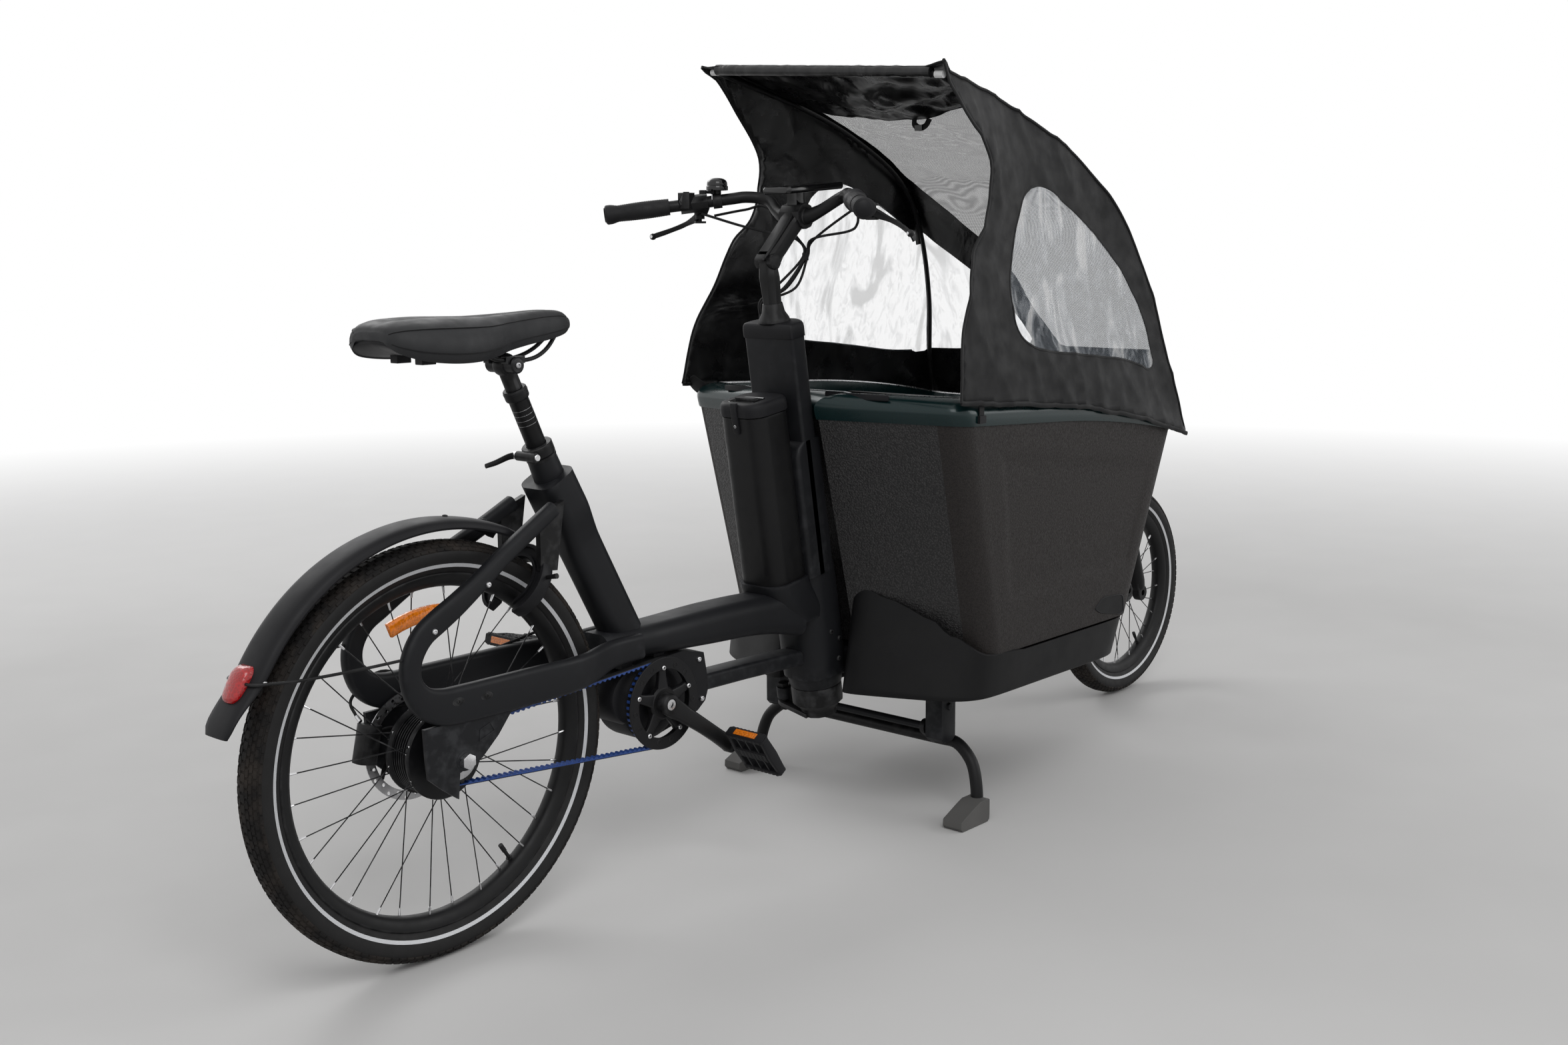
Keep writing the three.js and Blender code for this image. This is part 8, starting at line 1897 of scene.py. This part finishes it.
def grip(name, node, side, from_share):
    """A rubber grip with ribs, a swollen palm and a capped end."""
    along, level, up = bar_axes(side)
    start, end = on_bar(side, from_share), on_bar(side, 1) + along * mm(4)
    length = (end - start).length * 1000
    piece = Piece(name, GRIP, MOULDED)
    rings = []
    count = 72
    for k in range(count + 1):
        t = k / count
        base = 15.4 + 1.3 * math.sin(math.pi * min(t / 0.8, 1)) + 3.0 * smoothstep(0.78, 0.93, t)
        palm = 2.6 * smoothstep(0.25, 0.75, t)
        rib = 0.32 * math.cos(2 * math.pi * t * length / 4.2) if 0.06 < t < 0.86 else 0
        close = 1 - 0.14 * smoothstep(0.975, 1.0, t) ** 2
        centre = start.lerp(end, t)
        ring = []
        for a in turns(28):
            back = max(-math.cos(a), 0) ** 2
            r = (base + rib + palm * back) * close
            ring.append(centre + level * mm(r * math.cos(a)) + up * mm(r * math.sin(a) * (1 - 0.08 * back)))
        rings.append(ring)
    piece.stack(rings, 0)
    piece.lathe([[0, 0.4], [13.6, 0.4], [14.2, 1.2], [13.2, 2.2], [0, 2.8]], end, along, 32, 1)
    piece.build("steering", (node,), "rubber_black", sharp=45)


grip("grip_left_detailed", "grip_left", 1, 0.55)
grip("grip_right_detailed", "grip_right", -1, 0.765)

along, level, up = bar_axes(-1)
throttle = Piece("twist_grip_detailed", MOULDED, GRIP)
start, end = on_bar(-1, 0.44), on_bar(-1, 0.742)
length = (end - start).length * 1000
profile = [[11.8, 0], [18.6, 0], [19.9, 1.6], [19.9, 0.3 * length], [18.9, 0.34 * length],
           [17.8, 0.38 * length]]
throttle.lathe(profile + [[17.2, 0.4 * length], [11.8, 0.4 * length]], start, along, 40, 0)
rings = []
for k in range(25):
    t = k / 24
    ring = []
    for a in turns(72):
        rib = 0.5 if math.cos(9 * a) > 0.2 else 0
        r = 17.3 + rib * smoothstep(0, 0.1, t) * smoothstep(1, 0.85, t) - 1.2 * smoothstep(0.85, 1, t)
        ring.append(start + along * mm((0.4 + 0.6 * t) * length) + level * mm(r * math.cos(a))
                    + up * mm(r * math.sin(a)))
    rings.append(ring)
throttle.stack(rings, 1)
throttle.build("throttle", ("twist_grip",), "rubber_black", sharp=40)


def lever(name, node, body, side):
    """A bowed brake lever with a ball end, on its pin."""
    pivot, tip = at(832, side * 213, 1171), at(806, side * 318, 1132)
    piece = Piece(name, SATIN, SILVER)
    stations = []
    for share, size, out in ((0, 0.8, 0), (0.08, 1.15, 0.18), (0.2, 0.95, 0.5), (0.36, 0.72, 0.78),
                             (0.5, 0.7, 0.9), (0.66, 0.66, 0.75),
                             (0.8, 0.7, 0.5), (0.93, 0.72, 0.14), (1, 0.7, 0)):
        deep = 4.2 if share < 0.3 else 3.5
        stations.append((pivot.lerp(tip, share) + AXIS_X * mm(15 * out), AXIS_X, AXIS_Z, deep * size + 0.6,
                         7.2 * size, 2.6))
    piece.loft(stations, 0, steps=5, corner_steps=4)
    direction = (tip - pivot).normalized()
    piece.lathe([[0, -6.4], [3.6, -5.8], [6.1, -2.6], [6.5, 0], [6.1, 2.6], [3.6, 5.8], [0, 6.4]], tip,
                direction.cross(AXIS_Z).normalized(), 20, 0)
    piece.disc(3.0, -6.9, 6.9, tip, direction.cross(AXIS_Z).normalized(), 12, 1, 0.4)
    piece.lathe([[3.9, -6.3], [8.9, -6.3], [9, -5.4], [9, 5.4], [8.9, 6.3], [3.9, 6.3]], pivot, AXIS_Z, 24, 0)
    piece.build(body, (node,), "fitting_black", sharp=40)


lever("brake_lever_right_detailed", "brake_lever_right", "right_lever", -1)
lever("brake_lever_left_detailed", "brake_lever_left", "left_lever", 1)

bell_at = on_bar(1, 0.2)
bell_line = bar_axes(1)[0]
bell = Piece("bell_detailed", GLOSS, SATIN, SILVER)
bell.lathe([[0, 20.2], [18.6, 20.2], [18.6, 19.2], [20.6, 19.2], [20.9, 20.4], [20.9, 26.6], [20.3, 27.6],
            [19.4, 28], [19.6, 28.8], [19.4, 33.5],
            [17.8, 37.4], [14.5, 40.2], [9.5, 42.2], [4, 43], [0, 43.1]], bell_at, AXIS_Z, 48, 0)
bell.lathe([[11.6, -8.4], [14.3, -8.4], [14.7, -7.4], [14.7, 7.4], [14.3, 8.4], [11.6, 8.4]], bell_at,
           bell_line, 32, 1)
bell.lathe([[0, 13], [7.6, 13], [7.6, 20.4], [0, 20.4]], bell_at, AXIS_Z, 20, 1)
bell.rod(bell_at + Vector((mm(-14.2), 0, mm(2))), bell_at + Vector((mm(-14.6), 0, mm(13.5))), 1.4, 2, 10)
bell.build("steering", ("bell",), "gloss_black", sharp=40)

# Cables at the stem, and the rear brake hose

clip = at(897, 0, 1092)
port = on_column(8, 37, 988)
lever_left, lever_right = at(853, 195, 1171), at(853, -195, 1171)
throttle_port = on_bar(-1, 0.44) + step(20.6, 9, -20)
remote = on_bar(1, 0.41) + step(15, -20, -17.5)
cables = Piece("control_cables_detailed", RUBBER, MOULDED)
for start, side, high in ((lever_right, -1, 1), (throttle_port, -1, -1), (lever_left, 1, 1), (remote, 1, -1)):
    way = at(918, side * 115, 1185) if high > 0 else at(903, side * 100, 1138)
    own = Vector((mm(high * 3), mm(side * 3), 0))
    bulge = Vector((mm(14 * high + 4), mm(8 * side), 0))
    points = [start, start.lerp(way, 0.5) + Vector((mm(12), 0, mm(4 * high))), way,
              clip + own + Vector((0, mm(side * 16), mm(32))), clip + own,
              clip.lerp(port, 0.5) + own + bulge, port + own + Vector((0, 0, mm(32))),
              port + own + Vector((0, 0, mm(4)))]
    cables.tube(points, 2.5, 10, 0, 8)
cables.rod(clip - AXIS_Z * mm(7), clip + AXIS_Z * mm(7), 6.2, 1, 16)
cables = cables.build(None, ("control_cables",), "rubber_black", sharp=45)
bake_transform(cables)
boot = Piece("cable_boot", RUBBER)
boot_axis = (on_column(0, 0, 1) - on_column(0, 0, 0)).normalized()
boot.lathe([[0, -2], [8.6, -2], [8.6, 1.5], [6.4, 4], [5.6, 10], [4.6, 12.5], [0, 12.5]],
           on_column(8, 37, 985.6), boot_axis, 24, 0)
boot.build("frame", slot="rubber_black", sharp=40)

hose = Piece("rear_brake_hose_detailed", RUBBER, SILVER)
hose_way = [at(*p) for p in ((306, 62, 475), (183, 89, 446), (61, 89, 426), (-31, 89, 454), (-86, 89.4, 422),
                             (-89.5, 76, 398), (-89.5, 63.5, 389.5))]
hose.tube(hose_way, 2.5, 12, 0, 8)
hose.rod(hose_way[-1], hose_way[-1].lerp(hose_way[-2], 0.8), 3.4, 1, 12)
hose.build("frame", ("rear_brake_hose",), "rubber_black", sharp=40)

# Suspension fork, steering rod and stand

lower = Piece("fork_lower_detailed", SATIN, RUBBER, FITTING)
fork_axis = (on_fork(0, 0, 1) - on_fork(0, 0, 0)).normalized()
forward = (on_fork(1, 0, 0) - on_fork(0, 0, 0)).normalized()
for side in (-1, 1):
    rings = [[13.4, 236], [17.2, 236], [17.8, 234], [17.8, 228], [17, 224], [16.8, 170], [17, 60], [17.4, 34],
             [16, 20], [14, 13], [13.4, 12]]
    lower.lathe(rings, on_fork(0, side * 60, 0), fork_axis, 32, 0)
    lower.lathe([[13.3, 234], [16.4, 234], [15.6, 240], [14, 242], [13.3, 242]], on_fork(0, side * 60, 0),
                fork_axis, 28, 1)
    low, high = sorted((side * 50, side * 70))
    lower.lathe([[7.2, low], [17.6, low], [19.4, low + 2], [19.4, high - 2], [17.6, high], [7.2, high]],
                FRONT_AXLE, AXIS_Y, 32, 0)
    lower.loft([(on_fork(0, side * 60, 8), forward, AXIS_Y, 15, 9, 5), (on_fork(0, side * 60, 34), forward,
                                                                        AXIS_Y, 16, 13, 8)], 0)
arch = [on_fork(8, -60, 178), on_fork(20, -59, 214), on_fork(26, -50, 252), on_fork(28, -28, 276),
        on_fork(28, 0, 281), on_fork(28, 28, 276),
        on_fork(26, 50, 252), on_fork(20, 59, 214), on_fork(8, 60, 178)]
lower.tube(arch, 9.0, 16, 0, 6, flat=0.85, side_axis=forward)
lower.build("fork_legs", ("fork_lower",), "fitting_black", bevel=0.5, sharp=40)

rod = Piece("steering_rod_detailed", FRAME_BLACK, SILVER, RUBBER)
rear_eye, front_ring = on_column(0, 88, 225), on_fork(-45, 88, -17)
column_axis = (on_column(0, 0, 1) - on_column(0, 0, 0)).normalized()
rod.lathe([[6.4, -11.8], [14.6, -11.8], [16, -10.4], [16, 10.4], [14.6, 11.8], [6.4, 11.8]], rear_eye,
          column_axis, 28, 0)
route = [rear_eye + AXIS_X * mm(13)]
run = (front_ring.x - rear_eye.x) * 1000
for back, out in ((3.6, 0), (2.8, 0), (2, 0), (1.2, 0), (1.05, 0.04), (0.99, 0.3), (0.97, 0.72), (0.9, 0.97),
                  (0.8, 1), (0.68, 0.87),
                  (0.34, 0.4), (0.06, 0.03)):
    route.append(rear_eye.lerp(front_ring, 1 - back * 258 / run) + AXIS_Y * mm(104 * out))
rod.tube(route, 7.9, 20, 0, 6)
rod.rod(route[0], route[0].lerp(route[1], 0.14), 10.2, 1, 16, 9.2)
rod.lathe([[13.1, -5], [20, -5], [21, -4], [21, 4], [20, 5], [13.1, 5]], front_ring, fork_axis, 32, 0)
rod.build("rod", ("steering_rod",), "frame_black", sharp=40)

stand = Piece("kickstand_detailed", SATIN, WORN, FITTING)
tube_way = [at(STAND_X, -190, STAND_Z), at(1085, -224, 141), at(1083, -250, 126), at(1079, -270, 104),
            at(1074, -282, 70), at(1070, -288, 30)]
mirrored_way = [Vector((p.x, -p.y, p.z)) for p in tube_way]
for way in (tube_way, mirrored_way):
    stand.tube(way, 12.2, 24, 0, 6)
stand.rod(at(STAND_X, -191, STAND_Z), at(STAND_X, 191, STAND_Z), 12.2, 0, 28)
for side in (-1, 1):
    stand.plate([(983, 7), (989, 0.4), (1071, 0.4), (1077, 5), (1078, 14), (1078, 44), (1075, 46), (1046, 46),
                 (1030, 40), (984, 20)], side * 268, side * 312, 1)
    for t in range(4):
        stand.block(at(1002 + 18 * t, side * 290, 0.8), 4.2, 21.6, 0.8, 2)
    ear = [(1051 + 15.5 * math.cos(a), 172 + 15.5 * math.sin(a)) for a in [math.radians(60 + 18 * k)
                                                                           for k in range(11)]]
    ear += [(STAND_X + 12 * math.cos(a), STAND_Z + 12 * math.sin(a)) for a in [math.radians(-120 + 18 * k)
                                                                        for k in range(11)]]
    stand.plate(ear, side * 170.5, side * 181.5)
stand.build("stand", ("kickstand",), "frame_black", bevel=0.8, sharp=40)

# Look of the CAD pieces that stay

KEPT = {
    "bench": (TRAY, 1.5), "rear_axle": (SILVER, 0.6), "rear_caliper": (SATIN, 1.0),
    "stand_mount": (FRAME_BLACK, 1.2),
    "steerer": (SATIN, 0.8), "front_caliper": (SATIN, 1.0), "remote_button": (RUBBER, 0.4),
    "bell_striker": (SATIN, 0.4),
    "fork_upper": (SATIN, 0.8), "stem_foot": (SATIN, 0.6), "stem_arm": (SATIN, 0.8), "display": (GLOSS, 0.6),
    "lever_perch_right": (SATIN, 0.6), "lever_perch_left": (SATIN, 0.6),
}


def dress(node, material, bevel):
    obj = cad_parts[node]
    obj.data.materials.clear()
    obj.data.materials.append(material)
    weld = obj.modifiers.new("weld", "WELD")
    weld.merge_threshold = mm(0.01)
    smooth(obj, bevel, 34, keep_mesh=True)
    obj.data.set_sharp_from_angle(angle=math.radians(34))


for node_name, (material, bevel) in KEPT.items():
    dress(node_name, material, bevel)

# Floor, light and background


def stage_floor():
    mesh = bpy.data.meshes.new("floor")
    rings, count = [0.0, 1.0, 2.0, 4.0, 8.0, 14.0], 96
    verts, faces = [(0, 0, 0)], []
    for r in rings[1:]:
        verts += [(r * math.cos(a), r * math.sin(a), 0) for a in turns(count)]
    for i in range(count):
        faces.append((0, 1 + i, 1 + (i + 1) % count))
    for k in range(len(rings) - 2):
        for i in range(count):
            j = (i + 1) % count
            a = 1 + k * count
            faces.append((a + i, a + count + i, a + count + j, a + j))
    mesh.from_pydata(verts, [], faces)
    obj = in_scene("floor", mesh)
    look = Look("floor", (0.70, 0.695, 0.69), 0.75, specular=0.2)
    look.vary(look.noise(3, 4), 0.03).gloss(look.noise(5, 4), 0.65, 0.8)
    rays = look.node("ShaderNodeLightPath")
    seen = look.combined("MAXIMUM", rays.outputs["Is Camera Ray"], look.combined(
        "MAXIMUM", rays.outputs["Is Glossy Ray"], rays.outputs["Is Transmission Ray"]))
    length = look.node("ShaderNodeVectorMath", operation="LENGTH")
    look.link(look.coords, length.inputs[0])
    far = look.ranged(length.outputs["Value"], 2.4, 7.5, 0, 1)
    glow = look.node("ShaderNodeEmission")
    mix = look.node("ShaderNodeMixShader")
    look.link(look.combined("MULTIPLY", seen, far), mix.inputs["Fac"])
    look.link(look.shader.outputs["BSDF"], mix.inputs[1])
    look.link(glow.outputs["Emission"], mix.inputs[2])
    look.link(mix.outputs["Shader"], look.tree.nodes["Material Output"].inputs["Surface"])
    mesh.materials.append(look.material)


stage_floor()

world = bpy.data.worlds.new("studio")
bpy.context.scene.world = world
world.use_nodes = True
tree = world.node_tree
tree.nodes.clear()


def world_node(kind, *sources, **settings):
    """A node of the world whose inputs, in order, come from the given outputs."""
    node = tree.nodes.new(kind)
    for key, value in settings.items():
        setattr(node, key, value)
    for socket, source in zip(node.inputs, sources):
        tree.links.new(source, socket)
    return node


def plain_light(strength):
    node = world_node("ShaderNodeBackground")
    node.inputs["Color"].default_value = (1, 1, 1, 1)
    node.inputs["Strength"].default_value = strength
    return node.outputs[0]


rays = world_node("ShaderNodeLightPath").outputs
seen = world_node("ShaderNodeMath", rays["Is Camera Ray"], rays["Is Transmission Ray"], operation="MAXIMUM")
seen_all = world_node("ShaderNodeMath", seen.outputs[0], rays["Is Glossy Ray"], operation="MAXIMUM")
mix = world_node("ShaderNodeMixShader", seen_all.outputs[0], plain_light(0.42), plain_light(1.0))
world_node("ShaderNodeOutputWorld", mix.outputs[0])


def area_lamp(name, place, target, size, power):
    data = bpy.data.lights.new(name, "AREA")
    data.shape = "RECTANGLE"
    data.size, data.size_y = size
    data.energy = power
    obj = in_scene(name, data)
    obj.location = place
    obj.rotation_euler = (Vector(target) - Vector(place)).to_track_quat("-Z", "Y").to_euler()


area_lamp("key", (-2.4, -2.6, 3.6), (0.2, 0, 0.7), (2.4, 2.4), 60)
area_lamp("fill", (3.0, -3.4, 2.4), (0.3, 0, 0.7), (2.6, 2.0), 34)
area_lamp("back", (0.6, 3.6, 3.2), (0.1, 0, 0.8), (3.0, 1.6), 45)
bpy.context.scene.view_settings.view_transform = "Standard"
